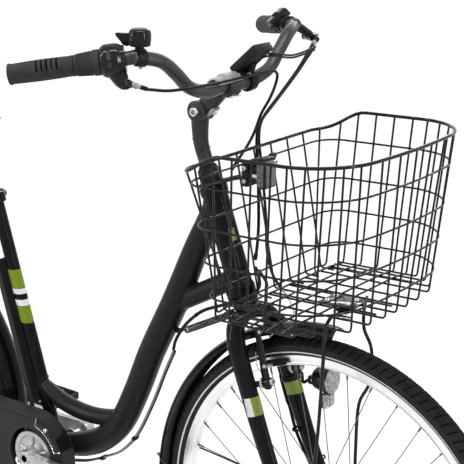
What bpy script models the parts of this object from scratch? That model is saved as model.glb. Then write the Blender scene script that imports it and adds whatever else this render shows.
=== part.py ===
"""Electric step-through bicycle, built from separate named pieces.

Metres, +Z up, +X forward, +Y to the rider's left. The origin is on the ground under the middle of the
bicycle. Points in the frame's side view are written from the front axle line, so x = 0 is the front axle.
"""

import bpy
import bmesh
from math import atan2, cos, hypot, pi, radians, sin
from mathutils import Matrix, Vector

# Driving sizes
FRONT_AXLE_X = 0.5693
WHEELBASE = 1.117
WHEEL_RADIUS = 0.349
HEAD_ANGLE = 70.5
FORK_OFFSET = 0.047
SEAT_ANGLE = 73.3
SEAT_LINE_X = -0.649
CRANK_CENTRE = (-0.652, 0.326)
CRANK_LENGTH = 0.170
CRANK_ANGLE = 0.0
SEAT_TUBE_TOP = 0.514
SEAT_POST_REACH = 0.122
GAP = 0.0003

# Tubes of the frame
HEAD_TUBE_RADIUS = 0.022
GUSSET_RADIUS = 0.018
SEAT_TUBE_RADIUS = 0.0130
SEAT_TUBE_BORE = 0.0118
SEAT_POST_RADIUS = 0.0111
SEAT_POST_TOP_RADIUS = 0.0105
BRACKET_SHELL_RADIUS = 0.0215
DROPOUT_Y = 0.0665

# Heights along the steering axis, from the foot of the perpendicular through the front axle
CROWN_S = 0.400
LOWER_CUP_S = 0.419
HEAD_BOTTOM_S = 0.447
HEAD_TOP_S = 0.6245
LOCKNUT_BOTTOM_S = 0.633
LOCKNUT_TOP_S = 0.657
STEM_PIVOT = (-0.277, 1.050)
BAR_CLAMP = (-0.221, 1.100)
BLADE_Y = 0.059

# Wheels
TYRE_INNER = 0.3188
TYRE_HALF_WIDTH = 0.0195
RIM_OUTER = 0.3185
RIM_INNER = 0.2995
RIM_HALF_WIDTH = 0.0115
WHEEL_SEGMENTS = 32
SPOKES_PER_SIDE = 18
REAR_SPOKES_PER_SIDE = 12
SPOKE_HALF = 0.0011
MUDGUARD_RADIUS = 0.374
MUDGUARD_HALF_WIDTH = 0.027

# Handlebar, left half; the right half is its mirror image
BAR_RADIUS = 0.0111
BAR_CLAMP_RADIUS = 0.0127
BAR_KNEE = (-0.238, 0.212, 1.1725)
BAR_END = (-0.392, 0.332, 1.146)
GRIP_RADIUS = 0.0158

# Basket
BASKET_COLUMNS_WIDE = 10
BASKET_COLUMNS_LONG = 6
BASKET_TILT = 0.0326
BASKET_HOOPS = (0.774, 0.8066, 0.863, 0.9203, 0.9875)
BASKET_RIM = 1.0395
BASKET_REAR_DROP = 0.033
BASKET_WIRE = 0.0036
BASKET_RIM_WIRE = 0.0058

REAR_AXLE_X = -WHEELBASE
CRANK_X, CRANK_Z = CRANK_CENTRE
UP = Vector((0, 0, 1))
ALONG_Y = Vector((0, 1, 0))


def at(x, y, z):
    """World point of a point given from the front axle line."""
    return Vector((x + FRONT_AXLE_X, y, z))


def steer(s, d=0.0, y=0.0):
    """Point s along the steering axis, d ahead of it and y to the left."""
    a = radians(HEAD_ANGLE)
    foot_x = -FORK_OFFSET * sin(a)
    foot_z = WHEEL_RADIUS - FORK_OFFSET * cos(a)
    return at(foot_x - s * cos(a) + d * sin(a), y, foot_z + s * sin(a) + d * cos(a))


STEER_AXIS = (steer(1) - steer(0)).normalized()
STEER_FORWARD = (steer(0, 1) - steer(0)).normalized()


def seat_axis(t, ahead=0.0):
    """Point t up the seat tube from the height of the cranks."""
    a = radians(SEAT_ANGLE)
    return at(SEAT_LINE_X - t * cos(a) + ahead * sin(a), 0, CRANK_Z + t * sin(a) + ahead * cos(a))


SEAT_DIRECTION = (seat_axis(1) - seat_axis(0)).normalized()


def bar_point(distance, side=1, forward=0.0, up=0.0):
    """Point on the straight end of the bar, measured in from its tip."""
    end = at(*BAR_END)
    along = (at(*BAR_KNEE) - end).normalized()
    ahead = along.cross(UP).normalized()
    point = end + along * distance - ahead * forward + UP * up
    return Vector((point.x, side * point.y, point.z))


def bar_direction(side=1):
    direction = (at(*BAR_KNEE) - at(*BAR_END)).normalized()
    return Vector((direction.x, side * direction.y, direction.z))


# Materials


def make_material(name, colour, roughness, metallic=0.0):
    material = bpy.data.materials.new(name)
    material.use_nodes = True
    shader = material.node_tree.nodes["Principled BSDF"]
    shader.inputs["Base Color"].default_value = (*colour, 1.0)
    shader.inputs["Roughness"].default_value = roughness
    shader.inputs["Metallic"].default_value = metallic
    material.diffuse_color = (*colour, 1.0)
    return material


def make_materials():
    return {
        "frame": make_material("black_paint", (0.012, 0.012, 0.013), 0.28),
        "plastic": make_material("black_plastic", (0.02, 0.02, 0.021), 0.5),
        "case": make_material("matte_case", (0.045, 0.042, 0.040), 0.6),
        "rubber": make_material("rubber", (0.035, 0.032, 0.030), 0.8),
        "alloy": make_material("alloy", (0.72, 0.72, 0.72), 0.3, 1.0),
        "bar": make_material("bar_coating", (0.05, 0.05, 0.052), 0.42, 0.4),
        "steel": make_material("steel", (0.55, 0.55, 0.55), 0.35, 1.0),
        "cable": make_material("cable", (0.012, 0.012, 0.012), 0.45),
        "clear": make_material("clear_lens", (0.85, 0.87, 0.88), 0.1),
        "red": make_material("red_lens", (0.45, 0.01, 0.01), 0.25),
        "saddle": make_material("saddle_cover", (0.018, 0.018, 0.018), 0.55),
    }


# Solids


def add_object(name, bm, material, origin=(0, 0, 0), sharp=40):
    bm.normal_update()
    bmesh.ops.recalc_face_normals(bm, faces=bm.faces)
    mesh = bpy.data.meshes.new(name)
    bm.to_mesh(mesh)
    bm.free()
    mesh.transform(Matrix.Translation(-Vector(origin)))
    mesh.shade_smooth()
    mesh.set_sharp_from_angle(angle=radians(sharp))
    if material:
        mesh.materials.append(material)
    obj = bpy.data.objects.new(name, mesh)
    obj.location = origin
    bpy.context.scene.collection.objects.link(obj)
    return obj


def as_guide(obj):
    obj.hide_render = True
    obj.display_type = "WIRE"
    return obj


def boolean(obj, tool, operation):
    as_guide(tool)
    modifier = obj.modifiers.new(operation.lower(), "BOOLEAN")
    modifier.operation = operation
    modifier.solver = "EXACT"
    modifier.object = tool
    return obj


def join(obj, *tools):
    for tool in tools:
        boolean(obj, tool, "UNION")
    return obj


def cut(obj, *tools):
    for tool in tools:
        boolean(obj, tool, "DIFFERENCE")
    return obj


def smooth_path(knots, steps):
    """Catmull-Rom curve through the knots; a knot may carry radii after its three coordinates."""
    knots = [Vector(k) for k in knots]
    ends = [2 * knots[0] - knots[1]] + knots + [2 * knots[-1] - knots[-2]]
    points = []
    for i in range(1, len(ends) - 2):
        a, b, c, d = ends[i - 1:i + 3]
        for k in range(steps):
            t = k / steps
            points.append(0.5 * (2 * b + (c - a) * t + (2 * a - 5 * b + 4 * c - d) * t * t
                                 + (3 * b - a - 3 * c + d) * t ** 3))
    points.append(knots[-1])
    return points


def frames_along(points, side):
    """Frames that turn as little as possible along the points, starting with the given side."""
    tangents = []
    for i, point in enumerate(points):
        before = points[max(i - 1, 0)]
        after = points[min(i + 1, len(points) - 1)]
        tangents.append((after - before).normalized())
    first = Vector(side)
    first = (first - first.dot(tangents[0]) * tangents[0]).normalized()
    frames = []
    for i, tangent in enumerate(tangents):
        if i:
            turn = tangents[i - 1].rotation_difference(tangent)
            first = turn @ first
            first = (first - first.dot(tangent) * tangent).normalized()
        frames.append((first.copy(), tangent.cross(first)))
    return frames


def sweep_mesh(points, radii, sides=12, side=(1, 0, 0)):
    """Closed tube along the points; each radius is one number or the pair (along side, across)."""
    bm = bmesh.new()
    rings = []
    for point, radius, (u, v) in zip(points, radii, frames_along(points, side)):
        a, b = radius if isinstance(radius, tuple) else (radius, radius)
        ring = []
        for k in range(sides):
            angle = 2 * pi * k / sides
            ring.append(bm.verts.new(point + u * a * cos(angle) + v * b * sin(angle)))
        rings.append(ring)
    for one, two in zip(rings, rings[1:]):
        for k in range(sides):
            bm.faces.new((one[k], one[(k + 1) % sides], two[(k + 1) % sides], two[k]))
    bm.faces.new(rings[0][::-1])
    bm.faces.new(rings[-1])
    return bm


def tube(name, knots, radius, material, steps=4, sides=12, side=(0, 1, 0), origin=(0, 0, 0), curved=True):
    """Tube of one radius, or of radii carried by the knots, through the knots."""
    if curved:
        path = smooth_path(knots, steps)
    else:
        path = [Vector(k) for k in knots]
    points = [Vector(p[:3]) for p in path]
    if radius is None:
        radii = [(p[3], p[4]) if len(p) > 4 else p[3] for p in path]
    else:
        radii = [radius] * len(points)
    return add_object(name, sweep_mesh(points, radii, sides, side), material, origin)


def lathe(name, profile, centre, axis, material, segments=24, closed=False, origin=None, phase=0.0):
    """Turned solid: profile points are (radius, height along axis); a closed profile makes a ring."""
    axis = Vector(axis).normalized()
    side = axis.orthogonal().normalized()
    if abs(axis.y) > 0.9:
        side = Vector((1, 0, 0))
        side = (side - side.dot(axis) * axis).normalized()
    other = axis.cross(side)
    bm = bmesh.new()
    rings = []
    for radius, height in profile:
        base = Vector(centre) + axis * height
        if radius < 1e-7:
            rings.append([bm.verts.new(base)] * segments)
            continue
        ring = []
        for k in range(segments):
            angle = 2 * pi * k / segments + phase
            ring.append(bm.verts.new(base + (side * cos(angle) + other * sin(angle)) * radius))
        rings.append(ring)
    pairs = list(zip(rings, rings[1:]))
    if closed:
        pairs.append((rings[-1], rings[0]))
    for one, two in pairs:
        for k in range(segments):
            n = (k + 1) % segments
            corners = []
            for vert in (one[k], one[n], two[n], two[k]):
                if vert not in corners:
                    corners.append(vert)
            if len(corners) > 2:
                bm.faces.new(corners)
    return add_object(name, bm, material, centre if origin is None else origin)


def rod(name, start, end, radius, material, sides=12):
    start, end = Vector(start), Vector(end)
    length = (end - start).length
    return lathe(name, [(0, 0), (radius, 0), (radius, length), (0, length)], start, end - start,
                 material, sides)


def block(name, centre, size, material, rotation=None, bevel=0.0, origin=None):
    bm = bmesh.new()
    bmesh.ops.create_cube(bm, size=1.0)
    bmesh.ops.scale(bm, vec=size, verts=bm.verts)
    if bevel:
        bmesh.ops.bevel(bm, geom=bm.edges[:], offset=bevel, segments=1, affect="EDGES", profile=0.5)
    matrix = Matrix.Translation(centre)
    if rotation is not None:
        matrix = matrix @ rotation.to_4x4()
    bm.transform(matrix)
    return add_object(name, bm, material, centre if origin is None else origin)


def frame_matrix(x_axis, y_axis):
    """Rotation whose first two columns are the given directions."""
    x_axis = Vector(x_axis).normalized()
    y_axis = Vector(y_axis)
    y_axis = (y_axis - y_axis.dot(x_axis) * x_axis).normalized()
    z_axis = x_axis.cross(y_axis)
    return Matrix((x_axis, y_axis, z_axis)).transposed()


def prism(name, outline, y_low, y_high, material, origin=(0, 0, 0)):
    """Solid between two planes of constant y; the outline's points are (x, z) in the world."""
    bm = bmesh.new()
    low = [bm.verts.new((x, y_low, z)) for x, z in outline]
    high = [bm.verts.new((x, y_high, z)) for x, z in outline]
    bm.faces.new(low)
    bm.faces.new(high[::-1])
    count = len(outline)
    for k in range(count):
        n = (k + 1) % count
        bm.faces.new((low[k], high[k], high[n], low[n]))
    return add_object(name, bm, material, origin)


def belt_outline(first, first_radius, second, second_radius, arc_points):
    """Outline round two circles, as a chain lies round two sprockets; circles are (x, z)."""
    dx, dz = second[0] - first[0], second[1] - first[1]
    heading = atan2(dz, dx)
    lean = pi / 2 - atan2(first_radius - second_radius, hypot(dx, dz))
    outline = []
    for k in range(arc_points + 1):
        angle = heading + lean + (2 * pi - 2 * lean) * k / arc_points
        outline.append((first[0] + first_radius * cos(angle), first[1] + first_radius * sin(angle)))
    small = arc_points // 2
    for k in range(small + 1):
        angle = heading - lean + 2 * lean * k / small
        outline.append((second[0] + second_radius * cos(angle), second[1] + second_radius * sin(angle)))
    return outline


def cord(name, knots, radius, material, points_per_knot=3):
    """Round cable along a smooth curve through its route points."""
    path = smooth_path(knots, points_per_knot)
    curve = bpy.data.curves.new(name, "CURVE")
    curve.dimensions = "3D"
    curve.bevel_depth = radius
    curve.bevel_resolution = 2
    curve.render_resolution_u = 0
    curve.use_fill_caps = True
    spline = curve.splines.new("POLY")
    spline.points.add(len(path) - 1)
    for target, point in zip(spline.points, path):
        target.co = (*point, 1.0)
    curve.materials.append(material)
    obj = bpy.data.objects.new(name, curve)
    bpy.context.scene.collection.objects.link(obj)
    return obj


# Frame


HEAD_TUBE_PROFILE = [
    (0.0250, HEAD_BOTTOM_S - 0.028), (0.0250, HEAD_BOTTOM_S), (HEAD_TUBE_RADIUS, HEAD_BOTTOM_S + 0.004),
    (HEAD_TUBE_RADIUS, HEAD_TOP_S - 0.016), (0.0250, HEAD_TOP_S - 0.012), (0.0250, HEAD_TOP_S)]
HEAD_TUBE_BORE = 0.0168


def make_head_tube(m):
    bore = [(HEAD_TUBE_BORE, HEAD_TOP_S), (HEAD_TUBE_BORE, HEAD_BOTTOM_S - 0.028)]
    lathe("head_tube", HEAD_TUBE_PROFILE + bore, steer(0), STEER_AXIS, m["frame"], 16, closed=True)


def head_tube_cutter():
    profile = [(r + GAP, s) for r, s in HEAD_TUBE_PROFILE]
    profile = [(0, profile[0][1])] + profile + [(0, profile[-1][1])]
    return lathe("cut_head_tube", profile, steer(0), STEER_AXIS, None, 16)


def crank_shell_cutter(name):
    return rod(name, at(CRANK_X, -0.045, CRANK_Z), at(CRANK_X, 0.045, CRANK_Z), BRACKET_SHELL_RADIUS + GAP,
               None, 16)


DOWN_TUBE_LINE = [
    (-0.2455, 0.893, 0.0205), (-0.265, 0.852, 0.0215), (-0.291, 0.800, 0.0228), (-0.340, 0.693, 0.0250),
    (-0.396, 0.586, 0.0250), (-0.434, 0.500, 0.0250), (-0.474, 0.424, 0.0250), (-0.519, 0.377, 0.0250),
    (-0.565, 0.351, 0.0252), (-0.610, 0.336, 0.0230), (-0.6475, 0.3285, 0.0190)]
STEP_TUBE_LINE = [
    (-0.687, 0.452, 0.0100), (-0.667, 0.438, 0.0140), (-0.632, 0.422, 0.0165), (-0.590, 0.4145, 0.0165),
    (-0.545, 0.4145, 0.0165), (-0.500, 0.423, 0.0165), (-0.462, 0.439, 0.0165)]


def make_down_tube(m):
    """Down tube with the gusset tube and the step tube welded to it, and the spring's tab."""
    down = tube("down_tube", [(*at(x, 0, z), r) for x, z, r in DOWN_TUBE_LINE], None, m["frame"],
                steps=1, sides=12)
    gusset = tube("join_gusset", [at(-0.345, 0, 0.687), at(-0.200, 0, 0.768)], GUSSET_RADIUS, None,
                  sides=10, curved=False)
    step = tube("join_step_tube", [(*at(x, 0, z), r) for x, z, r in STEP_TUBE_LINE], None, None,
                steps=1, sides=10)
    tab = block("join_spring_tab", at(-0.334, 0, 0.6395), (0.016, 0.008, 0.010), None)
    join(down, gusset, step, tab)
    cut(down, head_tube_cutter(), seat_tube_cutter("cut_seat_tube", 0, 0.3))
    cut(down, crank_shell_cutter("cut_crank_shell"))


STRIP_BOTTOM = 0.085
STRIP_TOP = 0.385
STRIP_NEAR = 0.0122
STRIP_DEPTH = 0.0360
STRIP_HALF_WIDTH = 0.026


def make_seat_tube(m):
    """Seat tube with its clamp collar, open at the top for the seat post, and the cover strip behind it."""
    top = SEAT_TUBE_TOP
    profile = [(0, 0.015), (SEAT_TUBE_RADIUS, 0.015), (SEAT_TUBE_RADIUS, top - 0.02),
               (0.0190, top - 0.019), (0.0190, top), (SEAT_TUBE_BORE, top), (SEAT_TUBE_BORE, 0.19), (0, 0.19)]
    seat = lathe("seat_tube", profile, seat_axis(0), SEAT_DIRECTION, m["frame"], 14)
    middle = seat_axis((STRIP_TOP + STRIP_BOTTOM) / 2, -(STRIP_DEPTH + STRIP_NEAR) / 2)
    size = (STRIP_TOP - STRIP_BOTTOM, 2 * STRIP_HALF_WIDTH, STRIP_DEPTH - STRIP_NEAR)
    join(seat, block("join_cover_strip", middle, size, None, frame_matrix(SEAT_DIRECTION, ALONG_Y)))
    cut(seat, crank_shell_cutter("cut_crank_shell_seat"))


STAND_PIVOT = (-0.712, 0.222)
STAND_TUBE_RADIUS = 0.010


def make_crank_shell(m):
    """Bottom bracket shell with the plate that carries the stand."""
    outer = BRACKET_SHELL_RADIUS
    profile = [(0.0115, -0.034), (outer, -0.034), (outer, 0.034), (0.0115, 0.034)]
    centre = at(CRANK_X, 0, CRANK_Z)
    shell = lathe("bottom_bracket_shell", profile, centre, ALONG_Y, m["frame"], 16, closed=True)
    x, z = STAND_PIVOT
    outline = [(x - 0.022, z - 0.016), (x + 0.020, z - 0.016), (CRANK_X + 0.016, CRANK_Z - 0.017),
               (CRANK_X - 0.012, CRANK_Z - 0.013), (x - 0.022, z + 0.028)]
    plate = prism("join_stand_plate", [(px + FRONT_AXLE_X, pz) for px, pz in outline], -0.026, 0.026, None)
    join(shell, plate)
    bore = STAND_TUBE_RADIUS + 2 * GAP
    cut(shell, rod("cut_stand_pivot", at(x, -0.05, z), at(x, 0.05, z), bore, None, 16))


def seat_tube_cutter(name, start, end):
    return rod(name, seat_axis(start), seat_axis(end), SEAT_TUBE_RADIUS + GAP, None, 14)


def make_chain_stays(m):
    """Both chain stays as one welded yoke, with the dropouts and the rear axle in them."""
    half = [(-1.094, 0.0640, 0.349, 0.0085, 0.0052), (-1.060, 0.0600, 0.348, 0.0085, 0.0060),
            (-0.980, 0.0520, 0.345, 0.0085, 0.0075), (-0.860, 0.0460, 0.338, 0.0090, 0.0085),
            (-0.770, 0.0440, 0.331, 0.0090, 0.0085), (-0.722, 0.0300, 0.327, 0.0095, 0.0085)]
    knots = [(*at(x, y, z), a, b) for x, y, z, a, b in half] + [(*at(-0.703, 0, 0.326), 0.0100, 0.0085)]
    knots += [(*at(x, -y, z), a, b) for x, y, z, a, b in reversed(half)]
    stays = tube("chain_stays", knots, None, m["frame"], steps=1, sides=8, side=(0, 0, 1))
    join(stays, rod("join_yoke", at(-0.712, 0, 0.326), at(-0.665, 0, 0.326), 0.013, None, 10))
    outline = [(-1.142, 0.338), (-1.128, 0.330), (-1.085, 0.341), (-1.085, 0.358), (-1.098, 0.375),
               (-1.126, 0.375), (-1.142, 0.362)]
    for side in (1, -1):
        join(stays, prism(f"join_dropout_{side}", [(x + FRONT_AXLE_X, z) for x, z in outline],
                          side * DROPOUT_Y - 0.0027, side * DROPOUT_Y + 0.0027, None))
    axle_ends = [at(REAR_AXLE_X, y, WHEEL_RADIUS) for y in (-0.088, 0.088)]
    join(stays, rod("join_rear_axle", *axle_ends, 0.005, None, 8))
    cut(stays, crank_shell_cutter("cut_crank_shell_stays"), seat_tube_cutter("cut_seat_tube_yoke", 0, 0.1))


def make_seat_stays(m):
    """Both seat stays as one loop behind the seat tube, with the bridge that holds the mudguard."""
    half = [(-1.1055, DROPOUT_Y, 0.3802), (-1.085, 0.0655, 0.408), (-1.000, 0.058, 0.516),
            (-0.900, 0.048, 0.642), (-0.846, 0.038, 0.710), (-0.812, 0.023, 0.748)]
    knots = [at(*p) for p in half] + [at(-0.797, 0, 0.762)] + [at(x, -y, z) for x, y, z in reversed(half)]
    stays = tube("seat_stays", knots, 0.0075, m["frame"], steps=1, sides=8, side=(1, 0, 0))
    bridge_angle = radians(52.3)
    reach = MUDGUARD_RADIUS + 0.0016 + 0.005
    x = REAR_AXLE_X + reach * cos(bridge_angle)
    z = WHEEL_RADIUS + reach * sin(bridge_angle)
    join(stays, rod("join_bridge", at(x, -0.050, z), at(x, 0.050, z), 0.005, None, 10))
    cut(stays, seat_tube_cutter("cut_seat_tube_stays", 0.2, SEAT_TUBE_TOP - 0.03))


CASE_INNER_Y = -0.040
CASE_OUTER_Y = -0.0745
CASE_FRONT_RADIUS = 0.088
CASE_REAR_RADIUS = 0.056
CASE_WALL = 0.0025
CASE_OPENING = 0.057
CHAIN_Y = -0.047
CHAINRING_PITCH = 0.0768
CHAINRING_RADIUS = 0.0710
SPROCKET_PITCH = 0.0384


def make_chain_case(m):
    crank = (CRANK_X + FRONT_AXLE_X, CRANK_Z)
    hub = (REAR_AXLE_X + FRONT_AXLE_X, WHEEL_RADIUS)
    case = prism("chain_case", belt_outline(crank, CASE_FRONT_RADIUS, hub, CASE_REAR_RADIUS, 16),
                 CASE_OUTER_Y, CASE_INNER_Y, m["case"])
    hollow = prism("cut_case_hollow", belt_outline(crank, CASE_FRONT_RADIUS - CASE_WALL, hub,
                                                   CASE_REAR_RADIUS - CASE_WALL, 16),
                   CASE_OUTER_Y + CASE_WALL, CASE_INNER_Y + 0.01, None)
    opening = rod("cut_case_opening", at(CRANK_X, -0.09, CRANK_Z), at(CRANK_X, -0.06, CRANK_Z),
                  CASE_OPENING, None, 20)
    nut_ends = [at(REAR_AXLE_X, y, WHEEL_RADIUS) for y in (-0.09, -0.06)]
    nut_hole = rod("cut_case_nut", *nut_ends, 0.012, None, 12)
    stay_slot = rod("cut_case_stay", at(-1.1125, -DROPOUT_Y, 0.371), at(-1.000, -0.058, 0.516), 0.0100,
                    None, 10)
    cut(case, hollow, opening, nut_hole, stay_slot)


def make_chain(m):
    """Closed loop of chain round the chainring and the sprocket."""
    crank = (CRANK_X + FRONT_AXLE_X, CRANK_Z)
    hub = (REAR_AXLE_X + FRONT_AXLE_X, WHEEL_RADIUS)
    half = 0.004
    outer = belt_outline(crank, CHAINRING_PITCH + half, hub, SPROCKET_PITCH + half, 12)
    inner = belt_outline(crank, CHAINRING_PITCH - half, hub, SPROCKET_PITCH - half, 12)
    bm = bmesh.new()
    loops = []
    for outline, y in ((outer, CHAIN_Y - 0.0035), (outer, CHAIN_Y + 0.0035),
                       (inner, CHAIN_Y + 0.0035), (inner, CHAIN_Y - 0.0035)):
        loops.append([bm.verts.new((x, y, z)) for x, z in outline])
    count = len(outer)
    for k in range(4):
        one, two = loops[k], loops[(k + 1) % 4]
        for i in range(count):
            n = (i + 1) % count
            bm.faces.new((one[i], one[n], two[n], two[i]))
    add_object("chain", bm, m["steel"])


def mudguard_mesh(axle_x, start, end, steps):
    """Thin curved strip over a wheel; angles run from straight ahead over the top."""
    section = []
    spread = (-1.0, -0.5, 0.5, 1.0)
    for w in spread:
        section.append((MUDGUARD_RADIUS - 0.0125 * w * w, MUDGUARD_HALF_WIDTH * w))
    for w in reversed(spread):
        section.append((MUDGUARD_RADIUS - 0.0022 - 0.0125 * w * w, (MUDGUARD_HALF_WIDTH - 0.0008) * w))
    bm = bmesh.new()
    rings = []
    for k in range(steps + 1):
        angle = radians(start + (end - start) * k / steps)
        rings.append([bm.verts.new(at(axle_x + r * cos(angle), y, WHEEL_RADIUS + r * sin(angle)))
                      for r, y in section])
    count = len(section)
    for one, two in zip(rings, rings[1:]):
        for k in range(count):
            n = (k + 1) % count
            bm.faces.new((one[k], one[n], two[n], two[k]))
    bm.faces.new(rings[0][::-1])
    bm.faces.new(rings[-1])
    return bm


def make_rear_mudguard(m):
    add_object("rear_mudguard", mudguard_mesh(REAR_AXLE_X, -6, 194, 14), m["frame"])


def wire_mesh_object(name, verts, faces, thickness, material, weights=None, factor=1.0):
    """Rods along the edges of a surface, as one welded grid."""
    mesh = bpy.data.meshes.new(name)
    mesh.from_pydata([tuple(v) for v in verts], [], faces)
    mesh.materials.append(material)
    obj = bpy.data.objects.new(name, mesh)
    bpy.context.scene.collection.objects.link(obj)
    modifier = obj.modifiers.new("wires", "WIREFRAME")
    modifier.thickness = thickness
    modifier.use_boundary = True
    modifier.use_replace = True
    modifier.use_even_offset = False
    modifier.offset = 0.0
    if weights is not None:
        group = obj.vertex_groups.new(name="thick")
        for index, weight in enumerate(weights):
            group.add([index], weight, "REPLACE")
        modifier.vertex_group = "thick"
        modifier.thickness_vertex_group = factor
    return obj


RACK_Z = 0.802
RACK_Y = 0.062
RACK_STATIONS = (-0.8175, -0.980, -1.120, -1.260, -1.430)
RACK_FOOT_Z = 0.3606
RACK_FOOT_Y = 0.0825


def make_rear_rack(m):
    verts = []
    for x in RACK_STATIONS:
        verts.append(at(x, -RACK_Y, RACK_Z))
        verts.append(at(x, RACK_Y, RACK_Z))
    faces = []
    for k in range(len(RACK_STATIONS) - 1):
        faces.append((2 * k, 2 * k + 1, 2 * k + 3, 2 * k + 2))
    for offset, y in ((0, -RACK_FOOT_Y), (1, RACK_FOOT_Y)):
        base = len(verts)
        verts.append(at(-1.106, y, RACK_FOOT_Z))
        verts.append(at(-1.128, y, RACK_FOOT_Z))
        top = [2 * k + offset for k in (1, 2, 3)]
        face = (top[0], top[1], top[2], base + 1, base)
        faces.append(face if offset == 0 else face[::-1])
    rack = wire_mesh_object("rear_rack", verts, faces, 0.010, m["frame"])
    tray = block("join_battery_tray", at(-1.1298, 0, 0.7319), (0.5595, 0.1166, 0.0075), None)
    controller = block("join_controller", at(-0.8735, 0, 0.7655), (0.047, 0.1240, 0.078), None)
    join(rack, tray, controller)


BATTERY_LENGTH = (-1.405, -0.902)
BATTERY_Z = (0.7362, 0.7905)
BATTERY_HALF_WIDTH = 0.0545


def make_battery(m):
    """Rack battery, lying between the deck and the tray that it slides out of."""
    low, high = BATTERY_Z
    rear, front = BATTERY_LENGTH
    mid = at((rear + front) / 2, 0, (low + high) / 2)
    block("battery", mid, (front - rear, 2 * BATTERY_HALF_WIDTH, high - low), m["plastic"], bevel=0.008)


def make_rear_light(m):
    angle = radians(150)
    reach = MUDGUARD_RADIUS + GAP + 0.0130
    centre = at(REAR_AXLE_X + reach * cos(angle), 0, WHEEL_RADIUS + reach * sin(angle))
    turn = frame_matrix((cos(angle), 0, sin(angle)), (0, 1, 0))
    block("rear_light", centre, (0.026, 0.046, 0.060), m["red"], turn, bevel=0.006)


# Wheels


def make_tyre(name, axle_x, m):
    centre = at(axle_x, 0, WHEEL_RADIUS)
    half = [(TYRE_INNER, 0.0112), (0.3260, 0.0188), (0.3395, TYRE_HALF_WIDTH - 0.0012),
            (WHEEL_RADIUS, 0.0068)]
    profile = [(r, -y) for r, y in half] + [(r, y) for r, y in reversed(half)]
    lathe(name, profile, centre, ALONG_Y, m["rubber"], WHEEL_SEGMENTS, closed=True,
          phase=-pi / 2)


def make_rim(name, axle_x, m):
    centre = at(axle_x, 0, WHEEL_RADIUS)
    profile = [(RIM_INNER, -0.0075), (RIM_OUTER, -RIM_HALF_WIDTH), (RIM_OUTER, RIM_HALF_WIDTH),
               (RIM_INNER, 0.0075)]
    lathe(name, profile, centre, ALONG_Y, m["alloy"], WHEEL_SEGMENTS, closed=True, phase=-pi / 2)


def make_spokes(name, axle_x, per_side, sleeve_radius, flange_radius, flange_y, lean, m):
    """Sleeve with two flanges, and the spokes drawn out of their rims to the inside of the wheel rim."""
    centre = at(axle_x, 0, WHEEL_RADIUS)
    half = 0.002
    section = [(sleeve_radius, -flange_y - half), (flange_radius, -flange_y - half),
               (flange_radius, -flange_y + half), (sleeve_radius + 0.0030, 0),
               (flange_radius, flange_y - half), (flange_radius, flange_y + half),
               (sleeve_radius, flange_y + half)]
    turns = (0, 0, 0, 0.25, 0.5, 0.5, 0)
    bm = bmesh.new()
    rings = []
    for (radius, y), turn in zip(section, turns):
        ring = []
        for k in range(per_side):
            angle = 2 * pi * (k + turn) / per_side
            ring.append(bm.verts.new((centre.x + radius * cos(angle), y, centre.z + radius * sin(angle))))
        rings.append(ring)
    roots = []
    for k in range(len(section)):
        one, two = rings[k], rings[(k + 1) % len(section)]
        for i in range(per_side):
            n = (i + 1) % per_side
            face = bm.faces.new((one[i], one[n], two[n], two[i]))
            if k == 1:
                roots.append((face, 2 * pi * (i + 0.5) / per_side, -1))
            if k == 4:
                roots.append((face, 2 * pi * (i + 1) / per_side, 1))
    bm.normal_update()
    bmesh.ops.recalc_face_normals(bm, faces=bm.faces)
    reach = RIM_INNER * cos(pi / WHEEL_SEGMENTS) - 0.0006
    for face, root_angle, side in roots:
        bmesh.ops.inset_individual(bm, faces=[face], thickness=0.0006)
        set_square(face, face.calc_center_median(), root_angle)
        end = bmesh.ops.extrude_discrete_faces(bm, faces=[face])["faces"][0]
        angle = root_angle + side * lean
        tip = Vector((centre.x + reach * cos(angle), side * 0.003, centre.z + reach * sin(angle)))
        set_square(end, tip, angle)
    add_object(name, bm, m["steel"], centre)


def set_square(face, centre, angle):
    """Move a spoke's end face to a small square round the centre, square to the wheel's radius there."""
    along = Vector((-sin(angle), 0, cos(angle)))
    middle = face.calc_center_median()
    for vert in face.verts:
        offset = vert.co - middle
        across = SPOKE_HALF if offset.dot(along) > 0 else -SPOKE_HALF
        aside = SPOKE_HALF if offset.y > 0 else -SPOKE_HALF
        vert.co = centre + along * across + ALONG_Y * aside


def make_front_wheel(m):
    make_tyre("front_tyre", 0, m)
    make_rim("front_rim", 0, m)
    make_spokes("front_spokes", 0, SPOKES_PER_SIDE, 0.0564, 0.0640, 0.022, 0.16, m)
    centre = at(0, 0, WHEEL_RADIUS)
    profile = [(0.0066, -0.048), (0.020, -0.048), (0.022, -0.035), (0.055, -0.029), (0.055, 0.029),
               (0.022, 0.035), (0.020, 0.048), (0.0066, 0.048)]
    lathe("front_hub_motor", profile, centre, ALONG_Y, m["bar"], 16, closed=True)
    nut = [(0, -0.084), (0.0060, -0.084), (0.0060, -0.0790), (0.0105, -0.0785), (0.0105, -0.0712),
           (0.0060, -0.0712)]
    profile = nut + [(r, -h) for r, h in reversed(nut)]
    lathe("front_axle", profile, centre, ALONG_Y, m["steel"], 8)


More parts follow.
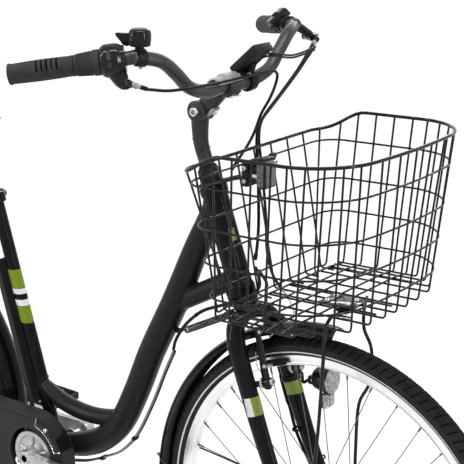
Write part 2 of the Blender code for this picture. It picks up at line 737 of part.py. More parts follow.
def make_rear_wheel(m):
    make_tyre("rear_tyre", REAR_AXLE_X, m)
    make_rim("rear_rim", REAR_AXLE_X, m)
    make_spokes("rear_spokes", REAR_AXLE_X, REAR_SPOKES_PER_SIDE, 0.0336, 0.0420, 0.026, 0.12, m)
    centre = at(REAR_AXLE_X, 0, WHEEL_RADIUS)
    profile = [(0.0056, -0.040), (0.020, -0.040), (0.032, -0.034), (0.032, 0.034), (0.022, 0.044),
               (0.018, 0.060), (0.0056, 0.060)]
    lathe("rear_hub", profile, centre, ALONG_Y, m["alloy"], 16, closed=True)
    profile = [(0.0056, -0.0600), (0.0150, -0.0600), (0.0326, -0.0485), (0.0326, -0.0455),
               (0.0150, -0.0404), (0.0056, -0.0404)]
    lathe("rear_sprocket", profile, centre, ALONG_Y, m["steel"], 14, closed=True)


# Steering


def make_fork(m):
    """Unicrown fork: one tapering loop from tip to tip, with its hollow steerer."""
    half = [(0.000, 0.047, 0.0600, 0.0110, 0.0088), (0.045, 0.0285, 0.0598, 0.0115, 0.0092),
            (0.105, 0.0125, 0.0595, 0.0135, 0.0106), (0.200, 0.0065, BLADE_Y, 0.0160, 0.0120),
            (0.320, 0.0058, BLADE_Y, 0.0175, 0.0130), (0.363, 0.0056, 0.0560, 0.0175, 0.0135),
            (0.390, 0.0045, 0.0400, 0.0172, 0.0140)]
    knots = [(*steer(s, d, y), a, b) for s, d, y, a, b in half]
    knots.append((*steer(CROWN_S, 0.002, 0), 0.0170, 0.0145))
    knots += [(*steer(s, d, -y), a, b) for s, d, y, a, b in reversed(half)]
    fork = tube("fork", knots, None, m["frame"], steps=1, sides=8, side=STEER_FORWARD)
    profile = [(0, CROWN_S - 0.006), (0.0155, CROWN_S - 0.006), (0.0160, LOWER_CUP_S - 0.002),
               (0.0145, LOWER_CUP_S), (0.0127, LOWER_CUP_S + 0.01), (0.0127, LOCKNUT_TOP_S - 0.0004),
               (0.0115, LOCKNUT_TOP_S - 0.0004), (0.0115, 0.560), (0, 0.560)]
    steerer = lathe("join_steerer", profile, steer(0), STEER_AXIS, None, 12)
    tab = block("join_fork_tab", steer(CROWN_S + 0.0015, -0.020), (0.012, 0.008, 0.010), None,
                frame_matrix(STEER_FORWARD, ALONG_Y))
    join(fork, steerer, tab)
    axle_ends = [at(0, y, WHEEL_RADIUS) for y in (-0.08, 0.08)]
    cut(fork, rod("cut_front_axle", *axle_ends, 0.0063, None, 12))


def make_headset(m):
    """Upper race, spacer and locknut above the head tube."""
    profile = [(0.0131, HEAD_TOP_S + GAP), (0.0225, HEAD_TOP_S + GAP), (0.0225, LOCKNUT_BOTTOM_S),
               (0.0195, LOCKNUT_BOTTOM_S + 0.001), (0.0195, LOCKNUT_TOP_S - 0.004), (0.0165, LOCKNUT_TOP_S),
               (0.0131, LOCKNUT_TOP_S)]
    lathe("headset_upper", profile, steer(0), STEER_AXIS, m["plastic"], 14, closed=True)


def stem_pivot_point(y=0.0):
    return at(STEM_PIVOT[0], y, STEM_PIVOT[1])


def make_stem(m):
    """Quill with its fork at the top, and the arm that tilts in it and clamps the bar."""
    pivot = stem_pivot_point()
    low = steer(0.570)
    knots = [(*low, 0.0106), (*steer(0.6575), 0.0106), (*steer(0.664), 0.0122), (*steer(0.700), 0.0132),
             (*steer(0.733, 0.010), 0.0150), (*steer(0.7487, 0.0164), 0.0162)]
    quill = tube("stem_quill", knots, None, m["bar"], steps=1, sides=10, side=(0, 1, 0))
    ears = rod("join_ears", pivot - ALONG_Y * 0.0165, pivot + ALONG_Y * 0.0165, 0.0165, None, 14)
    slot = rod("cut_arm_slot", pivot - ALONG_Y * 0.0100, pivot + ALONG_Y * 0.0100, 0.0215, None, 16)
    join(quill, ears)
    cut(quill, slot)
    join(quill, rod("join_stem_pin", pivot - ALONG_Y * 0.0195, pivot + ALONG_Y * 0.0195, 0.0045, None, 8))
    clamp = at(BAR_CLAMP[0], 0, BAR_CLAMP[1])
    along = (clamp - pivot).normalized()
    head = rod("stem_head", pivot - ALONG_Y * 0.0096, pivot + ALONG_Y * 0.0096, 0.0160, m["bar"], 14)
    arm_knots = [(*(pivot + along * 0.006), 0.0125, 0.0093), (*(pivot + along * 0.020), 0.0125, 0.0093),
                 (*(pivot + along * 0.032), 0.0125, 0.0120), (*(pivot + along * 0.068), 0.0130, 0.0160)]
    arm = tube("join_arm", arm_knots, None, None, steps=1, sides=8, side=along.cross(ALONG_Y))
    barrel = rod("join_bar_clamp", clamp - ALONG_Y * 0.0200, clamp + ALONG_Y * 0.0200, 0.0185, None, 14)
    join(head, arm, barrel)
    bore = rod("cut_bar_bore", clamp - ALONG_Y * 0.03, clamp + ALONG_Y * 0.03, BAR_CLAMP_RADIUS + 2 * GAP,
               None, 14)
    hole = rod("cut_pin_hole", pivot - ALONG_Y * 0.03, pivot + ALONG_Y * 0.03, 0.0048 / cos(pi / 8), None, 8)
    cut(head, bore, hole)


def make_front_mudguard(m):
    add_object("front_mudguard", mudguard_mesh(0, 88, 196, 11), m["frame"])


def basket_corner(level_z):
    """Size of the basket's plan at a height: rear x, front x and half width."""
    depth = 0.95 - level_z
    return -0.1518 + 0.1653 * depth, 0.1139 - 0.096 * depth, 0.1987 - 0.0467 * depth


BASKET_REAR_CORNER = 0.042
BASKET_FRONT_CORNER = 0.0885
BASKET_BULGE = 0.0203


def round_corner(x, y, middle_x, rear, front, half_width):
    """Pull a point of a hoop's rectangle in to the round corner that it belongs to."""
    corner = BASKET_FRONT_CORNER if x > middle_x else BASKET_REAR_CORNER
    cx = front - corner if x > middle_x else rear + corner
    cy = (half_width - corner) * (1 if y > 0 else -1)
    out_x = abs(x - cx) if (x - cx) * (cx - middle_x) > 0 else 0
    out_y = abs(y) - abs(cy)
    if out_x > 0 and out_y > 0:
        scale = min(corner / hypot(out_x, out_y), 1)
        return cx + (x - cx) * scale, cy + (y - cy) * scale
    return x, y


def rounded_plan(rear, front, half_width):
    """Plan points of one hoop, one for each grid column, round from the rear right corner."""
    wide, long_ = BASKET_COLUMNS_WIDE, BASKET_COLUMNS_LONG
    points = []
    for i in range(long_):
        points.append((rear + (front - rear) * i / long_, -half_width))
    for i in range(wide):
        points.append((front, -half_width + 2 * half_width * i / wide))
    for i in range(long_):
        points.append((front + (rear - front) * i / long_, half_width))
    for i in range(wide):
        points.append((rear, half_width - 2 * half_width * i / wide))
    middle_x = (rear + front) / 2
    rounded = []
    for x, y in points:
        x, y = round_corner(x, y, middle_x, rear, front, half_width)
        if x > middle_x:
            x += BASKET_BULGE * (1 - (y / half_width) ** 2)
        rounded.append((x, y))
    return rounded


def basket_floor():
    """Floor faces between its lengthwise rods; every second rod of the walls runs on across the floor."""
    wide, long_ = BASKET_COLUMNS_WIDE, BASKET_COLUMNS_LONG
    count = 2 * (wide + long_)
    front = [long_ + j for j in range(wide + 1)]
    rear = [(count - j) % count for j in range(wide + 1)]
    faces = []
    for j in range(wide):
        face = [rear[j + 1], front[j + 1], front[j], rear[j]]
        if j == 0:
            face = [rear[1], front[1]] + list(range(long_, -1, -1))
        if j == wide - 1:
            face = [front[wide - 1], rear[wide - 1]] + list(range(rear[wide], front[wide] - 1, -1))
        faces.append(face)
    return faces


def make_basket(m):
    """Wire basket: hoops, uprights and floor grid welded together, low at its rear."""
    verts, faces, weights = [], [], []
    count = 2 * (BASKET_COLUMNS_WIDE + BASKET_COLUMNS_LONG)
    for level, z in enumerate((*BASKET_HOOPS, BASKET_RIM)):
        rear, front, half_width = basket_corner(z)
        for x, y in rounded_plan(rear, front, half_width):
            height = z
            if level == len(BASKET_HOOPS):
                drop = min(max((rear + 0.088 - x) / 0.085, 0), 1)
                height -= BASKET_REAR_DROP * drop * drop * (3 - 2 * drop)
            verts.append(at(x, y, height + BASKET_TILT * x))
            weights.append(1.0 if level == len(BASKET_HOOPS) else 0.0)
    for level in range(len(BASKET_HOOPS)):
        for k in range(count):
            n = (k + 1) % count
            low, high = level * count, (level + 1) * count
            faces.append((low + k, low + n, high + n, high + k))
    faces += basket_floor()
    wire_mesh_object("basket", verts, faces, BASKET_RIM_WIRE, m["cable"], weights,
                     BASKET_WIRE / BASKET_RIM_WIRE)


def make_basket_bracket(m):
    """Ring clamped under the locknut, two rods, and the block behind the basket."""
    ring = lathe("basket_bracket", [(0.0231, 0.6252), (0.0270, 0.6252), (0.0270, 0.6322), (0.0231, 0.6322)],
                 steer(0), STEER_AXIS, m["plastic"], 16, closed=True)
    plate = block("join_bracket_plate", at(-0.1695, -0.004, 0.959), (0.013, 0.036, 0.042), None)
    bolt = rod("join_bracket_bolt", at(-0.170, -0.0115, 0.957), at(-0.140, -0.0115, 0.957), 0.0045, None, 8)
    body = block("join_bracket_block", at(-0.1372, -0.004, 0.964), (0.018, 0.034, 0.052), None)
    join(ring, plate, bolt, body)
    for side in (1, -1):
        start = steer(0.6287, 0.008, side * 0.0240)
        knots = [start, at(-0.215, side * 0.024 - 0.002, 0.940), at(-0.175, side * 0.012 - 0.004, 0.952)]
        join(ring, tube(f"join_bracket_rod_{side}", knots, 0.0030, None, steps=1, sides=6, side=(0, 0, 1)))


def make_basket_stay(m):
    """One bent rod: up from each end of the front axle and across under the basket's floor."""
    knots = [(0.0, -0.0765, 0.3628), (0.008, -0.0765, 0.430), (0.022, -0.0760, 0.560),
             (0.030, -0.0755, 0.700), (0.031, -0.0740, 0.745), (0.031, -0.062, 0.7615),
             (0.031, -0.045, 0.764), (0.031, 0.0, 0.764),
             (0.029, 0.045, 0.764), (0.020, 0.066, 0.760), (0.010, 0.0755, 0.735), (0.010, 0.0765, 0.700),
             (0.026, 0.0765, 0.665), (0.024, 0.0765, 0.605), (0.004, 0.0765, 0.560), (0.0, 0.0765, 0.480),
             (0.0, 0.0765, 0.3628)]
    tube("basket_stay", [at(*k) for k in knots], 0.0030, m["cable"], steps=1, sides=6, side=(1, 0, 0))


LIGHT_CENTRE = (-0.066, 0.088, 0.583)


def make_headlight(m):
    x, y, z = LIGHT_CENTRE
    hinge = at(x - 0.024, y, z)
    profile = [(0, -0.032), (0.012, -0.031), (0.020, -0.022), (0.0235, -0.006), (0.0245, 0.006),
               (0.0225, 0.006), (0.0205, -0.004), (0, -0.004)]
    lamp = lathe("headlight", profile, at(x, y, z), (1, 0, 0.05), m["plastic"], 16, origin=hinge)
    lug = block("join_light_lug", at(x - 0.030, y - 0.0085, z - 0.004), (0.014, 0.012, 0.016), None)
    reflector = block("join_reflector", at(x + 0.002, y, z - 0.0365), (0.010, 0.028, 0.026), None)
    join(lamp, lug, reflector)
    profile = [(0, -0.0034), (0.0198, -0.0034), (0.0216, 0.0050), (0.0216, 0.0064), (0.0236, 0.0064),
               (0.0236, 0.0088), (0.0150, 0.0118), (0, 0.0128)]
    lathe("headlight_lens", profile, at(x, y, z), (1, 0, 0.05), m["clear"], 12, origin=hinge)


BRAKE_PIVOT = (0.283, 0.036, 0.0430)
PAD_Y = 0.0170


def make_brake_arm(side, label, m):
    """V-brake arm with its pad; the pad stands clear of the rim's side."""
    s, d, y = BRAKE_PIVOT
    pivot = steer(s, d, side * y)
    knots = [steer(s - 0.008, d, side * y), steer(s + 0.020, d + 0.002, side * (y - 0.001)),
             steer(s + 0.060, d + 0.004, side * 0.0385), steer(s + 0.092, d + 0.004, side * 0.0372)]
    arm = tube(f"brake_arm_{label}", [(*k, 0.0075, 0.0042) for k in knots], None, m["plastic"], steps=1,
               sides=8, side=STEER_FORWARD, origin=pivot)
    turn = frame_matrix(STEER_FORWARD, ALONG_Y)
    boss = rod(f"join_brake_boss_{label}", steer(s, d - 0.0110, side * y), steer(s, d + 0.0100, side * y),
               0.0082, None, 10)
    pad = block(f"join_brake_pad_{label}", steer(0.3090, d + 0.005, side * PAD_Y), (0.052, 0.0080, 0.0110),
                None, turn)
    post = rod(f"join_pad_post_{label}", steer(0.3090, d + 0.004, side * PAD_Y),
               steer(0.3110, d + 0.004, side * 0.0400), 0.0035, None, 8)
    join(arm, boss, pad, post)


# Cockpit


def bar_half():
    knots = [(-0.221, 0.0, 1.100, BAR_CLAMP_RADIUS), (-0.221, 0.026, 1.100, BAR_CLAMP_RADIUS),
             (-0.219, 0.060, 1.0985, 0.0120), (-0.215, 0.108, 1.113, BAR_RADIUS),
             (-0.2165, 0.138, 1.139, BAR_RADIUS), (-0.221, 0.170, 1.163, BAR_RADIUS)]
    return [(*at(x, y, z), r) for x, y, z, r in knots]


def bar_left_path():
    """Centre line of the left half, from the clamp to the tip, each point with its radius."""
    half = bar_half()
    half.append((*at(*BAR_KNEE), BAR_RADIUS))
    for distance in (0.186, 0.0045):
        half.append((*bar_point(distance), BAR_RADIUS))
    return smooth_path(half, 2)


def make_handlebar(m):
    left = bar_left_path()
    right = [Vector((p[0], -p[1], p[2], p[3])) for p in reversed(left)]
    path = right[:-1] + left
    points = [Vector(p[:3]) for p in path]
    bm = sweep_mesh(points, [p[3] for p in path], 8, (0, 0, 1))
    add_object("handlebar", bm, m["bar"], at(BAR_CLAMP[0], 0, BAR_CLAMP[1]))


def make_grip(name, side, length, m):
    """Closed-ended sleeve over the bar."""
    bore = (BAR_RADIUS + GAP) / cos(pi / 12)
    profile = [(0, 0.0), (0.0140, 0.0), (0.0166, 0.003), (GRIP_RADIUS, 0.030),
               (0.0152, length * 0.6), (0.0158, length), (bore, length),
               (bore, 0.0040), (0, 0.0040)]
    tip = bar_point(0, side)
    lathe(name, profile, tip, bar_direction(side), m["rubber"], 12, origin=tip)


def sleeve(name, side, start, end, outer, bore, material, segments=14):
    profile = [(bore, start), (outer, start), (outer, end), (bore, end)]
    return lathe(name, profile, bar_point(0, side), bar_direction(side), material, segments, closed=True,
                 origin=bar_point((start + end) / 2, side))


GRIP_RIGHT = 0.1040
TWIST_RANGE = (0.1045, 0.1455)
HOUSING_RANGE = (0.1460, 0.1840)


def make_shifter(m):
    start, end = TWIST_RANGE
    bore = BAR_RADIUS + GAP
    profile = [(bore, start), (0.0152, start), (0.0172, start + 0.010), (0.0205, end - 0.006),
               (0.0205, end), (bore, end)]
    lathe("shifter_twist", profile, bar_point(0, -1), bar_direction(-1), m["rubber"], 14, closed=True,
          origin=bar_point((start + end) / 2, -1))
    start, end = HOUSING_RANGE
    profile = [(bore, start), (0.0220, start), (0.0262, start + 0.008), (0.0262, start + 0.022),
               (0.0200, end), (bore, end)]
    housing = lathe("shifter_housing", profile, bar_point(0, -1), bar_direction(-1), m["plastic"], 14,
                    closed=True, origin=bar_point((start + end) / 2, -1))
    low = bar_point(0.160, -1, up=-0.0265)
    exit_point = at(*SHIFT_CABLE_EXIT)
    back = (exit_point - at(*SHIFT_CABLE[0])).normalized()
    knots = [(*low, 0.0130), (*(exit_point + back * 0.014), 0.0080), (*exit_point, 0.0045)]
    spout = tube("join_spout", knots, None, None, steps=1, sides=8, side=(0, 0, 1))
    join(housing, spout)


BELL_SEGMENT = 11


def make_bell(m):
    """Drum bell on a strap round the bar, with a thumb lever beside it."""
    path = bar_left_path()
    inner, outer = (Vector((p[0], -p[1], p[2])) for p in path[BELL_SEGMENT:BELL_SEGMENT + 2])
    base = (inner + outer) / 2
    strap = lathe("bell", [(0.0122, -0.0045), (0.0152, -0.0045), (0.0152, 0.0045), (0.0122, 0.0045)], base,
                  outer - inner, m["plastic"], 12, closed=True)
    drum_base = base + UP * 0.0150
    drum = lathe("join_bell_drum", [(0, -0.0020), (0.0060, -0.0020), (0.0060, 0.0030), (0.0168, 0.0035),
                                    (0.0175, 0.0060), (0.0175, 0.0270), (0.0150, 0.0300), (0, 0.0310)],
                 drum_base, UP, None, 12)
    join(strap, drum)
    lever_pivot = drum_base + Vector((-0.0215, -0.0030, 0.0120))
    out = Vector((-0.82, -0.50, 0.28)).normalized()
    knots = [lever_pivot, lever_pivot + out * 0.010, lever_pivot + out * 0.022 + UP * 0.003]
    tube("bell_lever", [(*k, 0.0030 + 0.0012 * i, 0.0022) for i, k in enumerate(knots)], None, m["plastic"],
         steps=2, sides=8, side=ALONG_Y, origin=lever_pivot)


DISPLAY_CENTRE = (-0.2100, 0.0510, 1.1385)
DISPLAY_TILT = 41.0
DISPLAY_SIZE = (0.066, 0.046, 0.0150)


def make_display(m):
    """Display box on an arm and a half clamp over the bar; it tilts about the bar."""
    hinge = at(-0.2195, 0.0510, 1.0990)
    tilt = radians(DISPLAY_TILT)
    turn = frame_matrix((cos(tilt), 0, sin(tilt)), ALONG_Y)
    box = block("display", at(*DISPLAY_CENTRE), DISPLAY_SIZE, m["plastic"], turn, bevel=0.002, origin=hinge)
    post = rod("join_display_post", at(-0.2165, 0.0550, 1.1120), at(-0.2080, 0.0540, 1.1350), 0.0075,
               None, 10)
    profile = [(0.0142, -0.0080), (0.0180, -0.0080), (0.0180, 0.0080), (0.0142, 0.0080)]
    clamp = lathe("join_display_clamp", profile, at(-0.2195, 0.0550, 1.0988), (0.03, 1, 0.06), None, 14,
                  closed=True)
    join(box, post, clamp)


SWITCH_SIZE = (0.031, 0.038, 0.0120)
SWITCH_REACH = 0.1415
SWITCH_TILT = 43.0
SWITCH_HEIGHT = 0.0178
BUTTON_SIZE = (0.018, 0.010, 0.0030)
BUTTON_CLEARANCE = 0.0006


def switch_turn():
    """Axes of the switch box: along the bar, up its slope to the front, and out of its top face."""
    slope = radians(SWITCH_TILT)
    return frame_matrix(bar_direction(1), bar_forward() * cos(slope) + UP * sin(slope))


def switch_face():
    """Middle of the switch box's top face."""
    return bar_point(SWITCH_REACH, 1) + switch_turn() @ Vector((0, 0, SWITCH_HEIGHT + SWITCH_SIZE[2] / 2))


def make_control_switch(m):
    """Left-hand switch box clamped on top of the bar, with one rocker button in its top face."""
    ring = sleeve("control_switch", 1, 0.1285, 0.1420, 0.0150, BAR_RADIUS + GAP, m["plastic"])
    turn, face = switch_turn(), switch_face()
    centre = face - turn @ Vector((0, 0, SWITCH_SIZE[2] / 2))
    join(ring, block("join_switch_box", centre, SWITCH_SIZE, None, turn, bevel=0.003))
    length, width, height = BUTTON_SIZE
    pocket = (length + 2 * BUTTON_CLEARANCE, width + 2 * BUTTON_CLEARANCE, 2 * (height + GAP))
    cut(ring, block("cut_button_pocket", face, pocket, None, turn))
    block("assist_button", face, BUTTON_SIZE, m["rubber"], turn)


LEVER_PIVOT = (-0.2180, 0.2480, 1.1480)
LEVER_BOSS_RADIUS = 0.0078
LEVER_CABLE_EXIT = (-0.2045, 0.2235, 1.1395)


def make_brake_lever(m):
    """Lever bracket on the left of the bar, and the blade that swings on its boss in front of the grip."""
    bracket = sleeve("lever_bracket", 1, 0.1580, 0.1760, 0.0160, BAR_RADIUS + GAP, m["plastic"])
    pivot = at(*LEVER_PIVOT)
    arm_start = bar_point(0.1670, 1, forward=0.0170)
    knots = [(*arm_start, 0.0085, 0.0060), (*((arm_start + pivot) / 2), 0.0075, 0.0055),
             (*(pivot - (pivot - arm_start).normalized() * 0.003), 0.0060, 0.0045)]
    arm = tube("join_lever_arm", knots, None, None, steps=1, sides=8, side=bar_direction(1))
    boss = rod("join_lever_boss", pivot - UP * 0.0060, pivot + UP * 0.0060, LEVER_BOSS_RADIUS, None, 12)
    exit_point = at(*LEVER_CABLE_EXIT)
    back = (exit_point - at(*BRAKE_CABLE[0])).normalized()
    barrel = rod("join_lever_barrel", exit_point + back * 0.022, exit_point, 0.0040, None, 8)
    join(bracket, arm, boss, barrel)
    out = -bar_direction(1)
    ahead = bar_forward()
    knots = [(*(pivot + out * 0.0130), 0.0042, 0.0038),
             (*(pivot + out * 0.035 + ahead * 0.004), 0.0060, 0.0038),
             (*(pivot + out * 0.070 + ahead * 0.009), 0.0060, 0.0036),
             (*(pivot + out * 0.094 + ahead * 0.009), 0.0062, 0.0046)]
    tube("brake_lever", knots, None, m["alloy"], steps=2, sides=8, side=UP, origin=pivot)


def bar_forward():
    """Level direction square to the left end of the bar, ahead of the rider."""
    return -bar_direction(1).cross(UP).normalized()


# Drive


def crank_outline(length, wide, narrow, angle, centre):
    """Side outline of a crank arm with round ends."""
    points = []
    heading = radians(angle)
    for k in range(7):
        turn = heading + pi / 2 + pi * k / 6
        points.append((centre[0] + wide * cos(turn), centre[1] + wide * sin(turn)))
    end = (centre[0] + length * cos(heading), centre[1] + length * sin(heading))
    for k in range(7):
        turn = heading - pi / 2 + pi * k / 6
        points.append((end[0] + narrow * cos(turn), end[1] + narrow * sin(turn)))
    return points


def pedal_axis(side):
    """Centre line of a pedal: the right one leads the crank angle, the left one is opposite."""
    angle = radians(CRANK_ANGLE if side < 0 else CRANK_ANGLE + 180)
    return at(CRANK_X + CRANK_LENGTH * cos(angle), side * 0.150, CRANK_Z + CRANK_LENGTH * sin(angle))


def make_cranks(m):
    centre = at(CRANK_X, 0, CRANK_Z)
    plan = (centre.x, centre.z)
    profile = [(0.0090, -0.0440), (CHAINRING_RADIUS, -0.0450), (CHAINRING_RADIUS, -0.0490),
               (0.0490, -0.0510), (0.0480, -0.0690), (0.0200, -0.0700), (0.0180, -0.0935),
               (0, -0.0940), (0, -0.0730), (0.0090, -0.0730)]
    right = lathe("crank_right", profile, centre, ALONG_Y, m["alloy"], 16, closed=True)
    arm = prism("join_arm_right", crank_outline(CRANK_LENGTH, 0.0170, 0.0120, CRANK_ANGLE, plan),
                -0.0920, -0.0800, None)
    join(right, arm)
    profile = [(0, -0.0715), (0.0085, -0.0715), (0.0085, 0.0700), (0.0160, 0.0720), (0.0180, 0.0780),
               (0.0180, 0.0910), (0, 0.0920)]
    left = lathe("crank_left", profile, centre, ALONG_Y, m["alloy"], 14)
    arm = prism("join_arm_left", crank_outline(CRANK_LENGTH, 0.0170, 0.0120, CRANK_ANGLE + 180, plan),
                0.0780, 0.0900, None)
    join(left, arm)


def make_pedals(m):
    """Block pedals on their spindles, level with the ground."""
    for side, label in ((1, "left"), (-1, "right")):
        axis_point = pedal_axis(side)
        inner = 0.0930 if side < 0 else 0.0910
        body = block(f"pedal_{label}", axis_point, (0.086, 0.094, 0.024), m["rubber"], bevel=0.004)
        spindle_end = (axis_point.x, side * inner, axis_point.z)
        spindle = rod(f"join_spindle_{label}", spindle_end, axis_point, 0.0065, None, 12)
        join(body, spindle)


# Seat and stand


def make_seat(m):
    """Seat post in the seat tube with the clamp at its top, and the saddle that tilts on it."""
    top = SEAT_TUBE_TOP + SEAT_POST_REACH
    profile = [(0, 0.260), (SEAT_POST_RADIUS, 0.260), (SEAT_POST_RADIUS, top - 0.025),
               (SEAT_POST_TOP_RADIUS, top - 0.020), (SEAT_POST_TOP_RADIUS, top), (0, top)]
    post = lathe("seat_post", profile, seat_axis(0), SEAT_DIRECTION, m["alloy"], 12, origin=seat_axis(0.260))
    x, z = SADDLE_TILT_POINT
    join(post, rod("join_post_clamp", at(x, -CLAMP_HALF_WIDTH, z), at(x, CLAMP_HALF_WIDTH, z), CLAMP_RADIUS,
                   None, 16))
    make_saddle(m)


SADDLE_TILT_POINT = (-0.8305, 0.9300)
CLAMP_RADIUS = 0.0145
CLAMP_HALF_WIDTH = 0.0175
SADDLE_EAR = (0.022, 0.0060, 0.030)
SADDLE_SECTIONS = (
    (-0.7860, 0.012, 0.958, 0.975), (-0.7950, 0.022, 0.951, 0.980), (-0.8260, 0.031, 0.9465, 0.983),
    (-0.8640, 0.041, 0.9465, 0.983), (-0.9000, 0.062, 0.948, 0.984), (-0.9380, 0.088, 0.946, 0.989),
    (-0.9760, 0.104, 0.943, 0.996), (-1.0160, 0.106, 0.946, 1.000), (-1.0410, 0.094, 0.954, 0.998),
    (-1.0540, 0.066, 0.965, 0.990))


def make_saddle(m):
    """Wide crowned saddle with drawn-in sides, and the two ears that tilt on the post's clamp."""
    sides = 12
    bm = bmesh.new()
    rings = []
    for x, half, low, high in SADDLE_SECTIONS:
        ring = []
        mid = low + (high - low) * 0.45
        for k in range(sides):
            angle = 2 * pi * k / sides
            y = half * (abs(cos(angle)) ** 0.8) * (1 if cos(angle) > 0 else -1)
            z = mid + ((high - mid) if sin(angle) > 0 else (mid - low)) * sin(angle)
            if sin(angle) < 0:
                y *= 0.86
            ring.append(bm.verts.new(at(x, y, z)))
        rings.append(ring)
    for one, two in zip(rings, rings[1:]):
        for k in range(sides):
            n = (k + 1) % sides
            bm.faces.new((one[k], one[n], two[n], two[k]))
    bm.faces.new(rings[0][::-1])
    bm.faces.new(rings[-1])
    hinge = at(SADDLE_TILT_POINT[0], 0, SADDLE_TILT_POINT[1])
    saddle = add_object("saddle", bm, m["saddle"], hinge)
    x, z = SADDLE_TILT_POINT
    for side in (1, -1):
        inner = side * (CLAMP_HALF_WIDTH + GAP)
        outer = side * (CLAMP_HALF_WIDTH + GAP + SADDLE_EAR[1])
        middle = at(x, (inner + outer) / 2, z + SADDLE_EAR[2] / 2)
        ear = block(f"join_saddle_ear_{side}", middle, SADDLE_EAR, None)
        disc = rod(f"join_saddle_disc_{side}", at(x, inner, z), at(x, outer, z), 0.0120, None, 12)
        join(saddle, ear, disc)


def make_stand(m):
    """Double-leg centre stand: one bent tube on its cross axle, with a foot on each leg."""
    x, z = STAND_PIVOT
    half = [(x + 0.022, 0.146, 0.010), (x + 0.012, 0.080, 0.108), (x + 0.008, 0.059, 0.150),
            (x, 0.052, 0.213), (x, 0.044, z), (x, 0.030, z)]
    knots = [at(*p) for p in half] + [at(px, -y, pz) for px, y, pz in reversed(half)]
    pivot = at(x, 0, z)
    stand = tube("centre_stand", knots, STAND_TUBE_RADIUS, m["frame"], steps=1, sides=10, side=(1, 0, 0),
                 origin=pivot)
    for side in (1, -1):
        foot = block(f"join_foot_{side}", at(x + 0.022, side * 0.149, 0.0075), (0.046, 0.028, 0.015), None)
        join(stand, foot)


# Cables and spring


def coil_points(start, end, radius, turns, per_turn, straight):
    """Points of a coil spring between two hooks, with a straight run at each end."""
    axis = (end - start).normalized()
    side = axis.cross(ALONG_Y).normalized()
    other = axis.cross(side)
    length = (end - start).length - 2 * straight
    points = [start, start + axis * straight * 0.55]
    total = turns * per_turn
    for k in range(total + 1):
        angle = 2 * pi * k / per_turn
        centre = start + axis * (straight + length * k / total)
        points.append(centre + (side * cos(angle) + other * sin(angle)) * radius)
    points.append(end - axis * straight * 0.55)
    points.append(end)
    return points


SPRING_START = (-0.3255, 0.6395)
SPRING_TURNS = 15
SPRING_POINTS_PER_TURN = 8
SPRING_COIL_RADIUS = 0.0055
SPRING_WIRE_RADIUS = 0.0011
SPRING_HOOK = 0.012


def least_gap(points, wire_radius, apart):
    """Least clear distance between runs of a wire that lie at least that many points apart."""
    least = 1.0
    for i, point in enumerate(points):
        for other in points[i + apart:]:
            least = min(least, (point - other).length - 2 * wire_radius)
    return least


def make_steering_spring(m):
    start = at(SPRING_START[0] + GAP, 0, SPRING_START[1])
    end = steer(CROWN_S + 0.0015, -0.0264)
    points = coil_points(start, end, SPRING_COIL_RADIUS, SPRING_TURNS, SPRING_POINTS_PER_TURN, SPRING_HOOK)
    gap = least_gap(points, SPRING_WIRE_RADIUS, SPRING_POINTS_PER_TURN - 2)
    print(f"steering_spring: least gap to itself {gap * 1000:.2f} mm")
    curve = bpy.data.curves.new("steering_spring", "CURVE")
    curve.dimensions = "3D"
    curve.bevel_depth = SPRING_WIRE_RADIUS
    curve.bevel_resolution = 1
    curve.render_resolution_u = 0
    curve.use_fill_caps = True
    spline = curve.splines.new("POLY")
    spline.points.add(len(points) - 1)
    for target, point in zip(spline.points, points):
        target.co = (*point, 1.0)
    curve.materials.append(m["steel"])
    bpy.context.scene.collection.objects.link(bpy.data.objects.new("steering_spring", curve))


CABLE_RADIUS = 0.0025
LOOM_RADIUS = 0.0035
MOTOR_CABLE_RADIUS = 0.0030

SHIFT_CABLE_EXIT = (-0.232, -0.213, 1.129)
SHIFT_CABLE = [(-0.222, -0.198, 1.1225), (-0.200, -0.165, 1.1185), (-0.190, -0.074, 1.1165),
               (-0.188, 0.019, 1.1165), (-0.190, 0.078, 1.1155), (-0.194, 0.102, 1.107),
               (-0.199, 0.1065, 1.090), (-0.2035, 0.096, 1.065), (-0.2045, 0.072, 1.041),
               (-0.2045, 0.053, 1.013), (-0.2055, 0.034, 0.992), (-0.2080, 0.012, 0.972),
               (-0.2100, -0.004, 0.957)]
BRAKE_CABLE = [(-0.199, 0.205, 1.1335), (-0.190, 0.160, 1.108), (-0.187, 0.100, 1.071),
               (-0.186, 0.052, 1.040), (-0.186, 0.041, 1.010), (-0.186, 0.047, 0.968), (-0.186, 0.055, 0.920),
               (-0.184, 0.060, 0.860), (-0.176, 0.052, 0.810), (-0.156, 0.040, 0.775), (-0.130, 0.034, 0.750)]
WIRE_LOOM = [(-0.2060, 0.2330, 1.1350), (-0.202, 0.205, 1.121), (-0.196, 0.160, 1.096),
             (-0.194, 0.100, 1.060), (-0.194, 0.055, 1.030), (-0.195, 0.047, 1.000), (-0.195, 0.050, 0.960),
             (-0.196, 0.054, 0.900), (-0.194, 0.052, 0.850), (-0.188, 0.040, 0.815), (-0.184, 0.029, 0.796)]
LOOM_LOWER = [(-0.1815, 0.0270, 0.7830), (-0.170, 0.021, 0.770), (-0.1575, 0.004, 0.757),
              (-0.159, -0.020, 0.746), (-0.178, -0.035, 0.737), (-0.212, -0.039, 0.724),
              (-0.252, -0.034, 0.704), (-0.295, -0.024, 0.668), (-0.328, -0.012, 0.628),
              (-0.3435, -0.002, 0.600)]
DOWN_TUBE_CABLES = [(-0.3437, 0.0, 0.5965), (-0.366, 0.0, 0.550), (-0.396, 0.0, 0.482),
                    (-0.436, 0.0, 0.407), (-0.478, 0.0, 0.360), (-0.520, 0.0, 0.335),
                    (-0.565, 0.0, 0.313), (-0.605, 0.0, 0.301), (-0.622, 0.0, 0.294)]
